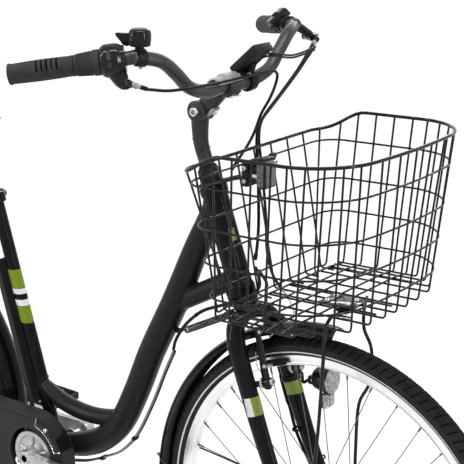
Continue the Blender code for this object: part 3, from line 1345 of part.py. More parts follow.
MOTOR_CABLE = [(-0.180, 0.034, 0.776), (-0.172, 0.046, 0.752), (-0.184, 0.062, 0.722), (-0.186, 0.066, 0.690)]


def from_exit(exit_point, route):
    """Route that leaves a housing's exit face squarely, just clear of it."""
    first = at(*exit_point)
    second = at(*route[0])
    return [first + (second - first).normalized() * 0.0006] + [at(*p) for p in route]


def make_cables(m):
    cable = m["cable"]
    cord("shift_cable", from_exit(SHIFT_CABLE_EXIT, SHIFT_CABLE), CABLE_RADIUS, cable, 2)
    cord("brake_cable", from_exit(LEVER_CABLE_EXIT, BRAKE_CABLE), CABLE_RADIUS, cable, 2)
    cord("wire_loom", [at(*p) for p in WIRE_LOOM], LOOM_RADIUS, cable, 2)
    cord("loom_lower", [at(*p) for p in LOOM_LOWER], LOOM_RADIUS, cable, 2)
    cord("down_tube_cables", [at(*p) for p in DOWN_TUBE_CABLES], LOOM_RADIUS, cable, 2)
    motor = [at(*p) for p in MOTOR_CABLE]
    motor += [steer(s, -0.0165, 0.0605) for s in (0.325, 0.270, 0.210, 0.160)]
    motor += [steer(0.100, -0.006, 0.0620), steer(0.060, 0.002, 0.0700), steer(0.032, 0.016, 0.0810)]
    motor += [at(-0.007, 0.0925, 0.3560), at(0, 0.0915, WHEEL_RADIUS), at(0, 0.0845, WHEEL_RADIUS)]
    cord("motor_cable", motor, MOTOR_CABLE_RADIUS, cable, 1)


def main():
    for obj in list(bpy.data.objects):
        bpy.data.objects.remove(obj)
    m = make_materials()
    make_head_tube(m)
    make_down_tube(m)
    make_seat_tube(m)
    make_crank_shell(m)
    make_chain_stays(m)
    make_seat_stays(m)
    make_chain_case(m)
    make_chain(m)
    make_rear_mudguard(m)
    make_rear_rack(m)
    make_battery(m)
    make_rear_light(m)
    make_front_wheel(m)
    make_rear_wheel(m)
    make_fork(m)
    make_headset(m)
    make_stem(m)
    make_front_mudguard(m)
    make_basket(m)
    make_basket_bracket(m)
    make_basket_stay(m)
    make_headlight(m)
    make_brake_arm(1, "left", m)
    make_brake_arm(-1, "right", m)
    make_handlebar(m)
    make_grip("grip_right", -1, GRIP_RIGHT, m)
    make_grip("grip_left", 1, 0.1240, m)
    make_shifter(m)
    make_bell(m)
    make_display(m)
    make_control_switch(m)
    make_brake_lever(m)
    make_cranks(m)
    make_pedals(m)
    make_seat(m)
    make_stand(m)
    make_steering_spring(m)
    make_cables(m)


main()
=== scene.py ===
"""Looks of the electric step-through bicycle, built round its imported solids.

Metres, +Z up, +X forward, +Y to the rider's left. Side-view points are written from the front axle line.
"""

from math import atan2, cos, hypot, pi, radians, sin, sqrt

import bmesh
import bpy
from mathutils import Matrix, Vector


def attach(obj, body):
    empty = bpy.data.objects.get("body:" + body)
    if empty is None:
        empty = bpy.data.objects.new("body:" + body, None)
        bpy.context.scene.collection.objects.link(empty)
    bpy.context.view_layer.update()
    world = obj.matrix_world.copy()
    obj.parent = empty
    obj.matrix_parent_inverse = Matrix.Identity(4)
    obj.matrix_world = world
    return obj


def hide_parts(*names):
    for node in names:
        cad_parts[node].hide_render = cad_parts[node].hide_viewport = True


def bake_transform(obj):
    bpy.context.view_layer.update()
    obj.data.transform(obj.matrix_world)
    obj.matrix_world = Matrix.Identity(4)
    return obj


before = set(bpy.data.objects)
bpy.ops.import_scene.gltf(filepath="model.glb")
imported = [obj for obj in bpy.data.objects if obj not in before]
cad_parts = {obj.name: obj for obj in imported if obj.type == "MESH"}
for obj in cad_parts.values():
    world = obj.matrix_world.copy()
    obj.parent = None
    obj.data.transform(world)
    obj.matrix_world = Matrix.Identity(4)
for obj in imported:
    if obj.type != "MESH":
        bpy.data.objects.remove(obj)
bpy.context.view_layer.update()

# Driving sizes, as the solids have them
FRONT_AXLE_X = 0.5693
WHEELBASE = 1.117
WHEEL_RADIUS = 0.349
HEAD_ANGLE = 70.5
FORK_OFFSET = 0.047
SEAT_ANGLE = 73.3
SEAT_LINE_X = -0.649
CRANK_X, CRANK_Z = -0.652, 0.326
CRANK_LENGTH = 0.170
SEAT_TUBE_TOP = 0.514
REAR_AXLE_X = -WHEELBASE
HEAD_BOTTOM_S = 0.447
HEAD_TOP_S = 0.6245
LOWER_CUP_S = 0.419
CROWN_S = 0.400
LOCKNUT_BOTTOM_S = 0.633
LOCKNUT_TOP_S = 0.657
BLADE_Y = 0.059
BAR_RADIUS = 0.0111
BAR_KNEE = (-0.238, 0.212, 1.1725)
BAR_END = (-0.392, 0.332, 1.146)
MUDGUARD_RADIUS = 0.374
MUDGUARD_HALF_WIDTH = 0.027
GAP = 0.0003
TINY = 1e-7
BEAD_POINTS = 72

UP = Vector((0, 0, 1))
ALONG_Y = Vector((0, 1, 0))


def at(x, y, z):
    """World point of a point given from the front axle line."""
    return Vector((x + FRONT_AXLE_X, y, z))


def steer(s, d=0.0, y=0.0):
    """Point s along the steering axis, d ahead of it and y to the left."""
    a = radians(HEAD_ANGLE)
    foot_x = -FORK_OFFSET * sin(a)
    foot_z = WHEEL_RADIUS - FORK_OFFSET * cos(a)
    return at(foot_x - s * cos(a) + d * sin(a), y, foot_z + s * sin(a) + d * cos(a))


STEER_AXIS = (steer(1) - steer(0)).normalized()
STEER_FORWARD = (steer(0, 1) - steer(0)).normalized()


def seat_axis(t, ahead=0.0, y=0.0):
    """Point t up the seat tube from the height of the cranks."""
    a = radians(SEAT_ANGLE)
    return at(SEAT_LINE_X - t * cos(a) + ahead * sin(a), y, CRANK_Z + t * sin(a) + ahead * cos(a))


SEAT_DIRECTION = (seat_axis(1) - seat_axis(0)).normalized()
SEAT_FORWARD = (seat_axis(0, 1) - seat_axis(0)).normalized()


def bar_point(distance, side=1, forward=0.0, up=0.0):
    """Point on the straight end of the bar, measured in from its tip."""
    end = at(*BAR_END)
    along = (at(*BAR_KNEE) - end).normalized()
    ahead = along.cross(UP).normalized()
    point = end + along * distance - ahead * forward + UP * up
    return Vector((point.x, side * point.y, point.z))


def bar_direction(side=1):
    direction = (at(*BAR_KNEE) - at(*BAR_END)).normalized()
    return Vector((direction.x, side * direction.y, direction.z))


def smooth_path(knots, steps, closed=False):
    """Catmull-Rom curve through the knots; a knot may carry radii after its three coordinates."""
    knots = [Vector(k) for k in knots]
    if closed:
        ends = [knots[-1]] + knots + knots[:2]
    else:
        ends = [2 * knots[0] - knots[1]] + knots + [2 * knots[-1] - knots[-2]]
    points = []
    for i in range(1, len(ends) - 2):
        a, b, c, d = ends[i - 1:i + 3]
        for k in range(steps):
            t = k / steps
            points.append(0.5 * (2 * b + (c - a) * t + (2 * a - 5 * b + 4 * c - d) * t * t
                                 + (3 * b - a - 3 * c + d) * t ** 3))
    if not closed:
        points.append(knots[-1])
    return points


def frames_along(points, side, closed=False, fixed=False):
    """Two directions across the path at each point; fixed keeps the first one near the given side."""
    count = len(points)
    frames = []
    first = Vector(side)
    before = None
    for i in range(count):
        if closed:
            tangent = points[(i + 1) % count] - points[i - 1]
        else:
            tangent = points[min(i + 1, count - 1)] - points[max(i - 1, 0)]
        tangent = tangent.normalized()
        if fixed:
            first = Vector(side)
        elif before is not None:
            first = before.rotation_difference(tangent) @ first
        first = (first - first.dot(tangent) * tangent).normalized()
        frames.append((first.copy(), tangent.cross(first)))
        before = tangent
    return frames


def rounded_profile(profile, radius, steps=3, closed=False):
    """Profile with each corner replaced by a small curve of about that radius."""
    points = [Vector(p) for p in profile]
    count = len(points)
    result = []
    for i, corner in enumerate(points):
        if not closed and i in (0, count - 1):
            result.append(corner)
            continue
        before, after = points[i - 1], points[(i + 1) % count]
        back, ahead = before - corner, after - corner
        if back.length < TINY or ahead.length < TINY or corner[0] < 10 * TINY:
            result.append(corner)
            continue
        reach = min(radius, back.length * 0.45, ahead.length * 0.45)
        start = corner + back.normalized() * reach
        end = corner + ahead.normalized() * reach
        for k in range(steps + 1):
            t = k / steps
            result.append(start * (1 - t) ** 2 + corner * 2 * t * (1 - t) + end * t * t)
    return [tuple(p) for p in result]


def turn_matrix(x_axis, y_axis):
    """Rotation whose first two columns are the given directions."""
    x_axis = Vector(x_axis).normalized()
    y_axis = Vector(y_axis)
    y_axis = (y_axis - y_axis.dot(x_axis) * x_axis).normalized()
    return Matrix((x_axis, y_axis, x_axis.cross(y_axis))).transposed()


def radial(angle):
    """Direction at an angle in the plane of the wheels."""
    return Vector((cos(angle), 0, sin(angle)))


def arc_points(x, y, radius, start, turn, count):
    """Points at equal steps along an arc."""
    angles = [start + turn * k / count for k in range(count + 1)]
    return [(x + radius * cos(angle), y + radius * sin(angle)) for angle in angles]


def across(axis):
    """A direction square to the axis, the same one each run."""
    axis = Vector(axis).normalized()
    other = UP if abs(axis.z) < 0.8 else Vector((1, 0, 0))
    return (other - other.dot(axis) * axis).normalized()


class Shape:
    """Mesh grown from tubes, turned solids, boxes and plates, each with a material by its number."""

    def __init__(self):
        self.bm = bmesh.new()

    def vert(self, point):
        return self.bm.verts.new(point)

    def skin(self, rings, mat=0, around=True, lengthways=False, caps=True):
        """Faces between neighbouring rings of vertices."""
        faces = []
        pairs = list(zip(rings, rings[1:]))
        if lengthways:
            pairs.append((rings[-1], rings[0]))
        for one, two in pairs:
            count = len(one)
            for k in range(count if around else count - 1):
                n = (k + 1) % count
                corners = []
                for vert in (one[k], one[n], two[n], two[k]):
                    if vert not in corners:
                        corners.append(vert)
                if len(corners) > 2:
                    faces.append(self.bm.faces.new(corners))
        if caps and not lengthways:
            for ring in (rings[0][::-1], rings[-1]):
                if len(set(ring)) > 2:
                    faces.append(self.bm.faces.new(ring))
        for face in faces:
            face.material_index = mat
        return faces

    def tube(self, points, radius, sides=16, side=(0, 1, 0), mat=0, closed=False, fixed=False, dome=0.0):
        """Tube along points; a radius is a number, or a list of numbers or of pairs."""
        points = [Vector(p[:3]) for p in points]
        radii = list(radius) if isinstance(radius, (list, tuple)) else [radius] * len(points)
        frames = frames_along(points, side, closed, fixed)
        stations = []
        for point, size, (u, v) in zip(points, radii, frames):
            a, b = size if isinstance(size, tuple) else (size, size)
            stations.append((point, a, b, u, v))
        if dome:
            stations = domed(stations, dome)
        rings = []
        for point, a, b, u, v in stations:
            ring = []
            for k in range(sides):
                angle = 2 * pi * k / sides
                ring.append(self.vert(point + u * a * cos(angle) + v * b * sin(angle)))
            rings.append(ring)
        return self.skin(rings, mat, lengthways=closed)

    def swept(self, knots, steps, *settings, **more):
        """Tube along a smooth curve, with one or two radii carried by each knot."""
        path = smooth_path(knots, steps)
        radii = [p[3] if len(p) == 4 else (p[3], p[4]) for p in path]
        return self.tube(path, radii, *settings, **more)

    def turned(self, profile, centre, axis, segments=40, mat=0, closed=False, side=None):
        """Turned solid: profile points are (radius, height along the axis)."""
        axis = Vector(axis).normalized()
        u = Vector(side) if side else across(axis)
        v = axis.cross(u)
        rings = []
        for radius, height in profile:
            base = Vector(centre) + axis * height
            if radius < TINY:
                rings.append([self.vert(base)] * segments)
                continue
            ring = []
            for k in range(segments):
                angle = 2 * pi * k / segments
                ring.append(self.vert(base + (u * cos(angle) + v * sin(angle)) * radius))
            rings.append(ring)
        return self.skin(rings, mat, lengthways=closed, caps=False)

    def rod(self, start, end, radius, mat=0, segments=20, edge=0.0008):
        start, end = Vector(start), Vector(end)
        length = (end - start).length
        profile = rounded_profile([(0, 0), (radius, 0), (radius, length), (0, length)], edge, 2)
        return self.turned(profile, start, end - start, segments, mat)

    def ring(self, centre, axis, inner, outer, half, mat=0, segments=40, edge=0.0006):
        profile = [(inner, -half), (outer, -half), (outer, half), (inner, half)]
        return self.turned(rounded_profile(profile, edge, 2, True), centre, axis, segments, mat, True)

    def box(self, centre, size, rotation=None, bevel=0.001, segments=3, mat=0):
        made = bmesh.ops.create_cube(self.bm, size=1.0)
        verts = made["verts"]
        bmesh.ops.scale(self.bm, vec=size, verts=verts)
        edges = list(dict.fromkeys(e for v in verts for e in v.link_edges))
        if bevel:
            result = bmesh.ops.bevel(self.bm, geom=edges, offset=bevel, segments=segments, affect="EDGES",
                                     profile=0.5)
            kept = [v for v in verts if v.is_valid]
            verts = list(dict.fromkeys([v for f in result["faces"] for v in f.verts] + kept))
        matrix = Matrix.Translation(Vector(centre))
        if rotation is not None:
            matrix = matrix @ rotation.to_4x4()
        bmesh.ops.transform(self.bm, matrix=matrix, verts=verts)
        for face in dict.fromkeys(f for v in verts for f in v.link_faces):
            face.material_index = mat
        return verts

    def plate(self, outline, low, high, mat=0, bevel=0.0006, turn=None, origin=(0, 0, 0), segments=2):
        """Plate between two planes of constant y; the outline's points are (x, z), or go through turn."""
        place = Matrix.Translation(Vector(origin)) @ (turn.to_4x4() if turn else Matrix.Identity(4))
        near = [self.vert(place @ Vector((x, low, z))) for x, z in outline]
        far = [self.vert(place @ Vector((x, high, z))) for x, z in outline]
        faces = self.skin([near, far], mat)
        if bevel:
            rims = list(faces[-1].edges) + list(faces[-2].edges)
            made = bmesh.ops.bevel(self.bm, geom=rims, offset=bevel, segments=segments, affect="EDGES")
            for face in made["faces"]:
                face.material_index = mat
        return near + far

    def screw(self, point, axis, radius=0.004, mat=0, socket=True):
        """Round-headed screw, with a six-sided socket or a plain dome."""
        h = radius * 0.75
        if not socket:
            profile = [(radius, -h * 0.2), (radius, h * 0.25), (radius * 0.75, h * 0.7),
                       (radius * 0.4, h * 0.92), (0, h)]
            return self.turned(profile, point, axis, 20, mat)
        profile = [(radius, -h * 0.2), (radius, h * 0.7), (radius * 0.86, h), (radius * 0.56, h)]
        self.turned(profile, point, axis, 24, mat)
        axis = Vector(axis).normalized()
        socket_profile = [(radius * 0.56, h), (radius * 0.5, h * 0.94), (radius * 0.5, h * 0.2), (0, h * 0.2)]
        return self.turned(socket_profile, point, axis, 6, mat)

    def nut(self, point, axis, radius=0.006, height=0.005, mat=0, washer=True):
        """Six-sided nut on a washer, with the bolt's end in it."""
        axis = Vector(axis).normalized()
        point = Vector(point)
        if washer:
            self.ring(point + axis * 0.0006, axis, radius * 0.5, radius * 1.25, 0.0006, mat, 28, 0.0002)
        base = point + axis * 0.0012
        profile = [(0, 0), (radius, 0), (radius, height * 0.86), (radius * 0.9, height), (0, height)]
        self.turned(profile, base, axis, 6, mat)
        end = rounded_profile([(0, 0), (radius * 0.52, 0), (radius * 0.52, height * 1.35),
                               (0, height * 1.35)],
                              radius * 0.12, 2)
        return self.turned(end, base, axis, 16, mat)

    def place(self, name, body, *materials, slot=None, replaces=(), sharp=34, flip=True):
        """Object from the mesh, riding on a body."""
        if flip:
            bmesh.ops.recalc_face_normals(self.bm, faces=self.bm.faces)
        mesh = bpy.data.meshes.new(name)
        self.bm.to_mesh(mesh)
        self.bm.free()
        mesh.shade_smooth()
        mesh.set_sharp_from_angle(angle=radians(sharp))
        for material in materials:
            mesh.materials.append(material)
        obj = bpy.data.objects.new(name, mesh)
        bpy.context.scene.collection.objects.link(obj)
        if body:
            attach(obj, body)
        if replaces:
            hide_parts(*replaces)
        return obj


def domed(stations, share):
    """Stations with a rounded cap added inside each end."""
    result = list(stations)
    for first in (True, False):
        point, a, b, u, v = result[0] if first else result[-1]
        inner = result[1][0] if first else result[-2][0]
        out = (point - inner).normalized()
        cap = []
        for k in (1, 2, 3):
            angle = pi / 2 * k / 3.2
            cap.append((point + out * min(a, b) * share * sin(angle), a * cos(angle), b * cos(angle), u, v))
        result = cap[::-1] + result if first else result + cap
    return result


def line_to_tube(point, direction, axis_point, axis, radius):
    """Where a line first meets a round tube."""
    axis = Vector(axis).normalized()
    across_point = (point - axis_point) - (point - axis_point).dot(axis) * axis
    across_line = direction - direction.dot(axis) * axis
    a = across_line.dot(across_line)
    b = 2 * across_point.dot(across_line)
    c = across_point.dot(across_point) - radius * radius
    root = b * b - 4 * a * c
    distance = (-b - sqrt(max(root, 0))) / (2 * a)
    return point + direction * distance


def weld_bead(shape, start, direction, radius, axis_point, axis, target_radius, bead=0.0022, mat=0):
    """Bead of weld where a round tube runs into another one."""
    direction = Vector(direction).normalized()
    u = across(direction)
    v = direction.cross(u)
    path = []
    for k in range(BEAD_POINTS):
        angle = 2 * pi * k / BEAD_POINTS
        from_point = start + (u * cos(angle) + v * sin(angle)) * radius
        path.append(line_to_tube(from_point, direction, axis_point, axis, target_radius))
    radii = [bead * (1 + 0.16 * sin(k * pi / 2)) for k in range(BEAD_POINTS)]
    shape.tube(path, radii, 8, -direction, mat, closed=True, fixed=True)


# Materials


def node(tree, kind, inputs=None, **settings):
    """Shader node with its settings and its unlinked input values."""
    made = tree.nodes.new(kind)
    for name, value in settings.items():
        setattr(made, name, value)
    for name, value in (inputs or {}).items():
        made.inputs[name].default_value = value
    return made


def link(tree, source, output, target, entry):
    tree.links.new(source.outputs[output], target.inputs[entry])


def ramp(tree, stops, interpolation="LINEAR"):
    """Colour ramp from (position, colour) pairs."""
    made = node(tree, "ShaderNodeValToRGB")
    made.color_ramp.interpolation = interpolation
    elements = made.color_ramp.elements
    while len(elements) < len(stops):
        elements.new(0.5)
    for element, (position, colour) in zip(elements, stops):
        element.position = position
        element.color = (*colour, 1.0)
    return made


def start_material(name, stretch=(1, 1, 1)):
    """Material with its shader and object coordinates."""
    material = bpy.data.materials.new(name)
    material.use_nodes = True
    tree = material.node_tree
    shader = tree.nodes["Principled BSDF"]
    coordinates = node(tree, "ShaderNodeTexCoord")
    mapping = node(tree, "ShaderNodeMapping", {"Scale": stretch})
    link(tree, coordinates, "Object", mapping, "Vector")
    return material, tree, shader, mapping


def surface(name, dark, light, rough, drift=18.0, grain=900.0, relief=0.12, depth=0.0002, metallic=0.0,
            coat=0.0, coat_rough=0.08, specular=0.5, stretch=(1, 1, 1), cells=False, spots=None):
    """Surface whose tone and roughness drift slowly, over a fine relief of grain or moulded cells."""
    material, tree, shader, mapping = start_material(name, stretch)
    slow = node(tree, "ShaderNodeTexNoise", {"Scale": drift, "Detail": 5.0, "Roughness": 0.6})
    link(tree, mapping, "Vector", slow, "Vector")
    tones = ramp(tree, [(0.34, dark), (0.68, light)])
    link(tree, slow, "Fac", tones, "Fac")
    last = tones
    if cells:
        fine = node(tree, "ShaderNodeTexVoronoi", {"Scale": grain}, feature="DISTANCE_TO_EDGE")
        height = "Distance"
    else:
        fine = node(tree, "ShaderNodeTexNoise", {"Scale": grain, "Detail": 3.0, "Roughness": 0.55})
        height = "Fac"
    link(tree, mapping, "Vector", fine, "Vector")
    if spots:
        mask = ramp(tree, [(0.60, (0, 0, 0)), (0.74, (1, 1, 1))])
        link(tree, fine, height, mask, "Fac")
        mix = node(tree, "ShaderNodeMixRGB", {"Color2": (*spots, 1.0)})
        link(tree, mask, "Color", mix, "Fac")
        link(tree, tones, "Color", mix, "Color1")
        last = mix
    link(tree, last, "Color", shader, "Base Color")
    spread = node(tree, "ShaderNodeMapRange", {"From Min": 0.3, "From Max": 0.7, "To Min": rough[0],
                                               "To Max": rough[1]})
    link(tree, slow, "Fac", spread, "Value")
    link(tree, spread, "Result", shader, "Roughness")
    bump = node(tree, "ShaderNodeBump", {"Strength": relief, "Distance": depth})
    link(tree, fine, height, bump, "Height")
    link(tree, bump, "Normal", shader, "Normal")
    shader.inputs["Metallic"].default_value = metallic
    shader.inputs["Coat Weight"].default_value = coat
    shader.inputs["Coat Roughness"].default_value = coat_rough
    shader.inputs["Specular IOR Level"].default_value = specular
    return material


GREEN = (0.185, 0.270, 0.018)
WHITE = (0.80, 0.80, 0.79)
PAINT = (0.0052, 0.0055, 0.0072)


def banded_paint(name, bands, low, high):
    """Gloss paint with sharp bands at heights between low and high."""
    material, tree, shader, mapping = start_material(name)
    split = node(tree, "ShaderNodeSeparateXYZ")
    link(tree, mapping, "Vector", split, "Vector")
    height = node(tree, "ShaderNodeMapRange", {"From Min": low, "From Max": high})
    link(tree, split, "Z", height, "Value")
    stops = [(0.0, PAINT)]
    for start, end, colour in bands:
        stops.append(((start - low) / (high - low), colour))
        stops.append(((end - low) / (high - low), PAINT))
    tones = ramp(tree, stops, "CONSTANT")
    link(tree, height, "Result", tones, "Fac")
    link(tree, tones, "Color", shader, "Base Color")
    peel = node(tree, "ShaderNodeTexNoise", {"Scale": 260.0, "Detail": 2.0})
    link(tree, mapping, "Vector", peel, "Vector")
    spread = node(tree, "ShaderNodeMapRange", {"To Min": 0.08, "To Max": 0.13})
    link(tree, peel, "Fac", spread, "Value")
    link(tree, spread, "Result", shader, "Roughness")
    bump = node(tree, "ShaderNodeBump", {"Strength": 0.03, "Distance": 0.0002})
    link(tree, peel, "Fac", bump, "Height")
    link(tree, bump, "Normal", shader, "Normal")
    shader.inputs["Specular IOR Level"].default_value = 0.10
    return material


def clear_material(name, tint, rough, grain=0.0):
    """Clear plastic, smooth or with moulded ribs."""
    material, tree, shader, mapping = start_material(name)
    drift = node(tree, "ShaderNodeTexNoise", {"Scale": 60.0})
    link(tree, mapping, "Vector", drift, "Vector")
    tones = ramp(tree, [(0.3, tint), (0.7, tuple(min(1.0, c * 1.05) for c in tint))])
    link(tree, drift, "Fac", tones, "Fac")
    link(tree, tones, "Color", shader, "Base Color")
    if grain:
        cells = node(tree, "ShaderNodeTexVoronoi", {"Scale": grain})
        link(tree, mapping, "Vector", cells, "Vector")
        bump = node(tree, "ShaderNodeBump", {"Strength": 0.7, "Distance": 0.0008})
        link(tree, cells, "Distance", bump, "Height")
        link(tree, bump, "Normal", shader, "Normal")
    shader.inputs["Roughness"].default_value = rough
    shader.inputs["Transmission Weight"].default_value = 0.9
    shader.inputs["IOR"].default_value = 1.49
    return material


def make_materials():
    gloss = dict(drift=9.0, grain=260.0, relief=0.03)
    return {
        "gloss": surface("gloss_black_paint", PAINT, (0.0070, 0.0074, 0.0098), (0.08, 0.13), specular=0.10,
                         **gloss),
        "satin": surface("satin_black_paint", (0.0115, 0.0118, 0.0125), (0.0155, 0.0158, 0.0165),
                         (0.28, 0.36), drift=7.0, grain=1500.0, relief=0.05, specular=0.11),
        "bar": surface("satin_bar_coating", (0.0130, 0.0133, 0.0145), (0.0180, 0.0184, 0.0198), (0.36, 0.42),
                       drift=8.0, grain=1500.0, relief=0.008, specular=0.50),
        "wire": surface("dipped_wire_coating", (0.0045, 0.0045, 0.0050), (0.0080, 0.0080, 0.0090),
                        (0.10, 0.16), drift=60.0, grain=420.0, relief=0.06, specular=0.22),
        "case": surface("moulded_case_plastic", (0.026, 0.0245, 0.023), (0.035, 0.033, 0.031), (0.52, 0.64),
                        drift=14.0, grain=1400.0, relief=0.20, cells=True, specular=0.12),
        "plastic": surface("moulded_black_plastic", (0.0105, 0.0105, 0.011), (0.018, 0.018, 0.0185),
                           (0.32, 0.44), drift=50.0, grain=1900.0, relief=0.18, cells=True, specular=0.10),
        "shiny": surface("shiny_black_plastic", (0.006, 0.006, 0.0065), (0.010, 0.010, 0.011),
                         (0.07, 0.13), drift=40.0, grain=700.0, relief=0.02, specular=0.20),
        "grip": surface("grip_rubber", (0.026, 0.0245, 0.0232), (0.044, 0.0415, 0.0390), (0.56, 0.74),
                        drift=45.0, grain=2600.0, relief=0.30, specular=0.14),
        # Lighter grey-brown rubber than grip_rubber: the left grip, the shifter drum and switch details.
        "far_grip": surface("pale_grip_rubber", (0.045, 0.042, 0.037), (0.075, 0.070, 0.062), (0.60, 0.78),
                            drift=45.0, grain=2600.0, relief=0.35, specular=0.08),
        "tyre": surface("tyre_tread_rubber", (0.014, 0.0125, 0.0115), (0.027, 0.0245, 0.0225), (0.66, 0.86),
                        drift=35.0, grain=1500.0, relief=0.30, specular=0.05),
        "wall": surface("tyre_sidewall_rubber", (0.020, 0.019, 0.0185), (0.034, 0.032, 0.031),
                        (0.58, 0.72), drift=30.0, grain=900.0, relief=0.22, cells=True, specular=0.07),
        # Near-black groove material: painted shade on the floors of the tyre's sipes and the grip's slots.
        "groove": surface("painted_groove_shade", (0.0035, 0.0032, 0.0030), (0.0055, 0.0050, 0.0048), (0.80, 0.90),
                          specular=0.05),
        "stripe": surface("reflective_stripe", (0.62, 0.62, 0.61), (0.74, 0.74, 0.73), (0.35, 0.50),
                          drift=90.0, grain=2600.0, relief=0.10),
        "alloy": surface("brushed_alloy", (0.60, 0.60, 0.60), (0.72, 0.72, 0.725), (0.22, 0.34),
                         drift=26.0, grain=1400.0, relief=0.05, metallic=1.0, stretch=(1, 6, 1)),
        "rim": surface("rim_alloy", (0.80, 0.80, 0.805), (0.90, 0.90, 0.905), (0.26, 0.38), drift=22.0,
                       grain=1700.0, relief=0.07, metallic=1.0),
        "chrome": surface("plated_steel", (0.70, 0.70, 0.70), (0.80, 0.80, 0.80), (0.08, 0.16),
                          drift=30.0, grain=500.0, relief=0.02, metallic=1.0),
        "steel": surface("zinc_steel", (0.42, 0.42, 0.41), (0.56, 0.56, 0.55), (0.28, 0.42), drift=140.0,
                         grain=2200.0, relief=0.10, metallic=1.0),
        "spoke": surface("stainless_spoke", (0.085, 0.085, 0.088), (0.140, 0.140, 0.145), (0.22, 0.34),
                         drift=50.0, grain=3000.0, relief=0.05, metallic=0.0),
        "spring": surface("bronzed_spring_wire", (0.060, 0.052, 0.044), (0.130, 0.112, 0.094), (0.30, 0.44),
                          drift=160.0, grain=2400.0, relief=0.10, metallic=0.9),
        "jacket": surface("cable_jacket", (0.0085, 0.0085, 0.0090), (0.0140, 0.0140, 0.0145), (0.34, 0.48),
                          drift=70.0, grain=2000.0, relief=0.10, specular=0.10),
        "rubber": surface("soft_black_rubber", (0.012, 0.0115, 0.011), (0.021, 0.020, 0.019), (0.62, 0.78),
                          drift=60.0, grain=2400.0, relief=0.25, specular=0.06),
        "crank": surface("grey_crank_disc", (0.40, 0.405, 0.41), (0.50, 0.505, 0.51), (0.30, 0.42),
                         drift=30.0, grain=1600.0, relief=0.08, metallic=0.85),
        "motor": surface("motor_shell_coating", (0.020, 0.020, 0.021), (0.030, 0.030, 0.031),
                         (0.34, 0.44), drift=30.0, grain=1500.0, relief=0.14, metallic=0.15),
        "battery": surface("battery_case_plastic", (0.0115, 0.0115, 0.012), (0.0185, 0.0185, 0.019),
                           (0.36, 0.48), drift=24.0, grain=1500.0, relief=0.22, cells=True, specular=0.10),
        "green": surface("green_band", (0.165, 0.240, 0.016), (0.205, 0.295, 0.022), (0.22, 0.32), **gloss),
        "white": surface("white_band", (0.72, 0.72, 0.71), (0.80, 0.80, 0.79), (0.24, 0.34), **gloss),
        "saddle": surface("saddle_cover", (0.013, 0.0125, 0.012), (0.021, 0.0205, 0.020), (0.46, 0.60),
                          drift=30.0, grain=520.0, relief=0.45, depth=0.0005, cells=True, specular=0.10),
        "thread": surface("saddle_thread", (0.030, 0.030, 0.031), (0.055, 0.055, 0.056), (0.60, 0.74),
                          drift=300.0, grain=2600.0, relief=0.3),
        "red": clear_material("red_lens", (0.75, 0.010, 0.008), 0.12, 420.0),
        "orange": clear_material("orange_reflector", (1.0, 0.22, 0.01), 0.12, 520.0),
        "clear": clear_material("clear_lens", (0.94, 0.95, 0.96), 0.03),
        "prism": clear_material("clear_reflector", (0.93, 0.94, 0.95), 0.08, 480.0),
        "mirror": surface("lamp_mirror", (0.80, 0.80, 0.80), (0.90, 0.90, 0.90), (0.05, 0.12), drift=30.0,
                          grain=320.0, relief=0.15, depth=0.0006, metallic=1.0),
        "amber": surface("lamp_chip", (0.75, 0.62, 0.12), (0.90, 0.80, 0.30), (0.3, 0.4), drift=300.0,
                         grain=2000.0, relief=0.1),
        "screen": surface("display_glass", (0.0075, 0.0085, 0.010), (0.012, 0.0135, 0.0155), (0.04, 0.08),
                          drift=30.0, grain=200.0, relief=0.005, specular=0.20),
        "case_dark": surface("cast_grey_coating", (0.034, 0.034, 0.036), (0.048, 0.048, 0.050), (0.34, 0.46),
                             drift=26.0, grain=1300.0, relief=0.18, metallic=0.20, specular=0.12),
        "grey_cable": surface("grey_cable_jacket", (0.20, 0.20, 0.205), (0.29, 0.29, 0.30), (0.36, 0.50),
                              drift=60.0, grain=2000.0, relief=0.10),
        # Pale brownish grey: the basket bracket's face plates, the display's end strip, and the display's
        # painted highlight lines.
        "plate": surface("pale_plate_and_painted_highlight", (0.120, 0.112, 0.100), (0.210, 0.198, 0.180), (0.44, 0.60),
                         drift=120.0, grain=1600.0, relief=0.20, specular=0.20),
        "dull": surface("dull_cast_alloy", (0.26, 0.26, 0.265), (0.34, 0.34, 0.345), (0.46, 0.56), drift=70.0,
                        grain=1500.0, relief=0.05, metallic=0.5),
    }


M = make_materials()


# Camera, light and floor

CAMERA_TURN = 37.6
CAMERA_TILT = 16.9
CAMERA_PLACE = (1.7453, -1.802, 1.538)
SENSOR = 36.0
FOCUS_PIXELS = 1395.0
IMAGE_PIXELS = 464.0
SHOWN_RAYS = ("Is Camera Ray", "Is Glossy Ray", "Is Transmission Ray")
FLOOR_HALF = 14.0


def make_camera():
    a, e = radians(CAMERA_TURN), radians(CAMERA_TILT)
    back = Vector((sin(a) * cos(e), -cos(a) * cos(e), sin(e)))
    right = Vector((cos(a), sin(a), 0))
    data = bpy.data.cameras.new("camera")
    data.sensor_width = SENSOR
    data.lens = FOCUS_PIXELS / IMAGE_PIXELS * SENSOR
    data.clip_end = 100.0
    camera = bpy.data.objects.new("camera", data)
    turn = Matrix((right, back.cross(right), back)).transposed()
    camera.matrix_world = Matrix.Translation(CAMERA_PLACE) @ turn.to_4x4()
    bpy.context.scene.collection.objects.link(camera)
    bpy.context.scene.camera = camera


def add_lamp(name, place, target, size, power):
    """Soft rectangular lamp aimed at a point."""
    data = bpy.data.lights.new(name, "AREA")
    data.shape = "RECTANGLE"
    data.size, data.size_y = size
    data.energy = power
    lamp = bpy.data.objects.new(name, data)
    lamp.location = place
    lamp.rotation_euler = (Vector(target) - Vector(place)).to_track_quat("-Z", "Y").to_euler()
    bpy.context.scene.collection.objects.link(lamp)


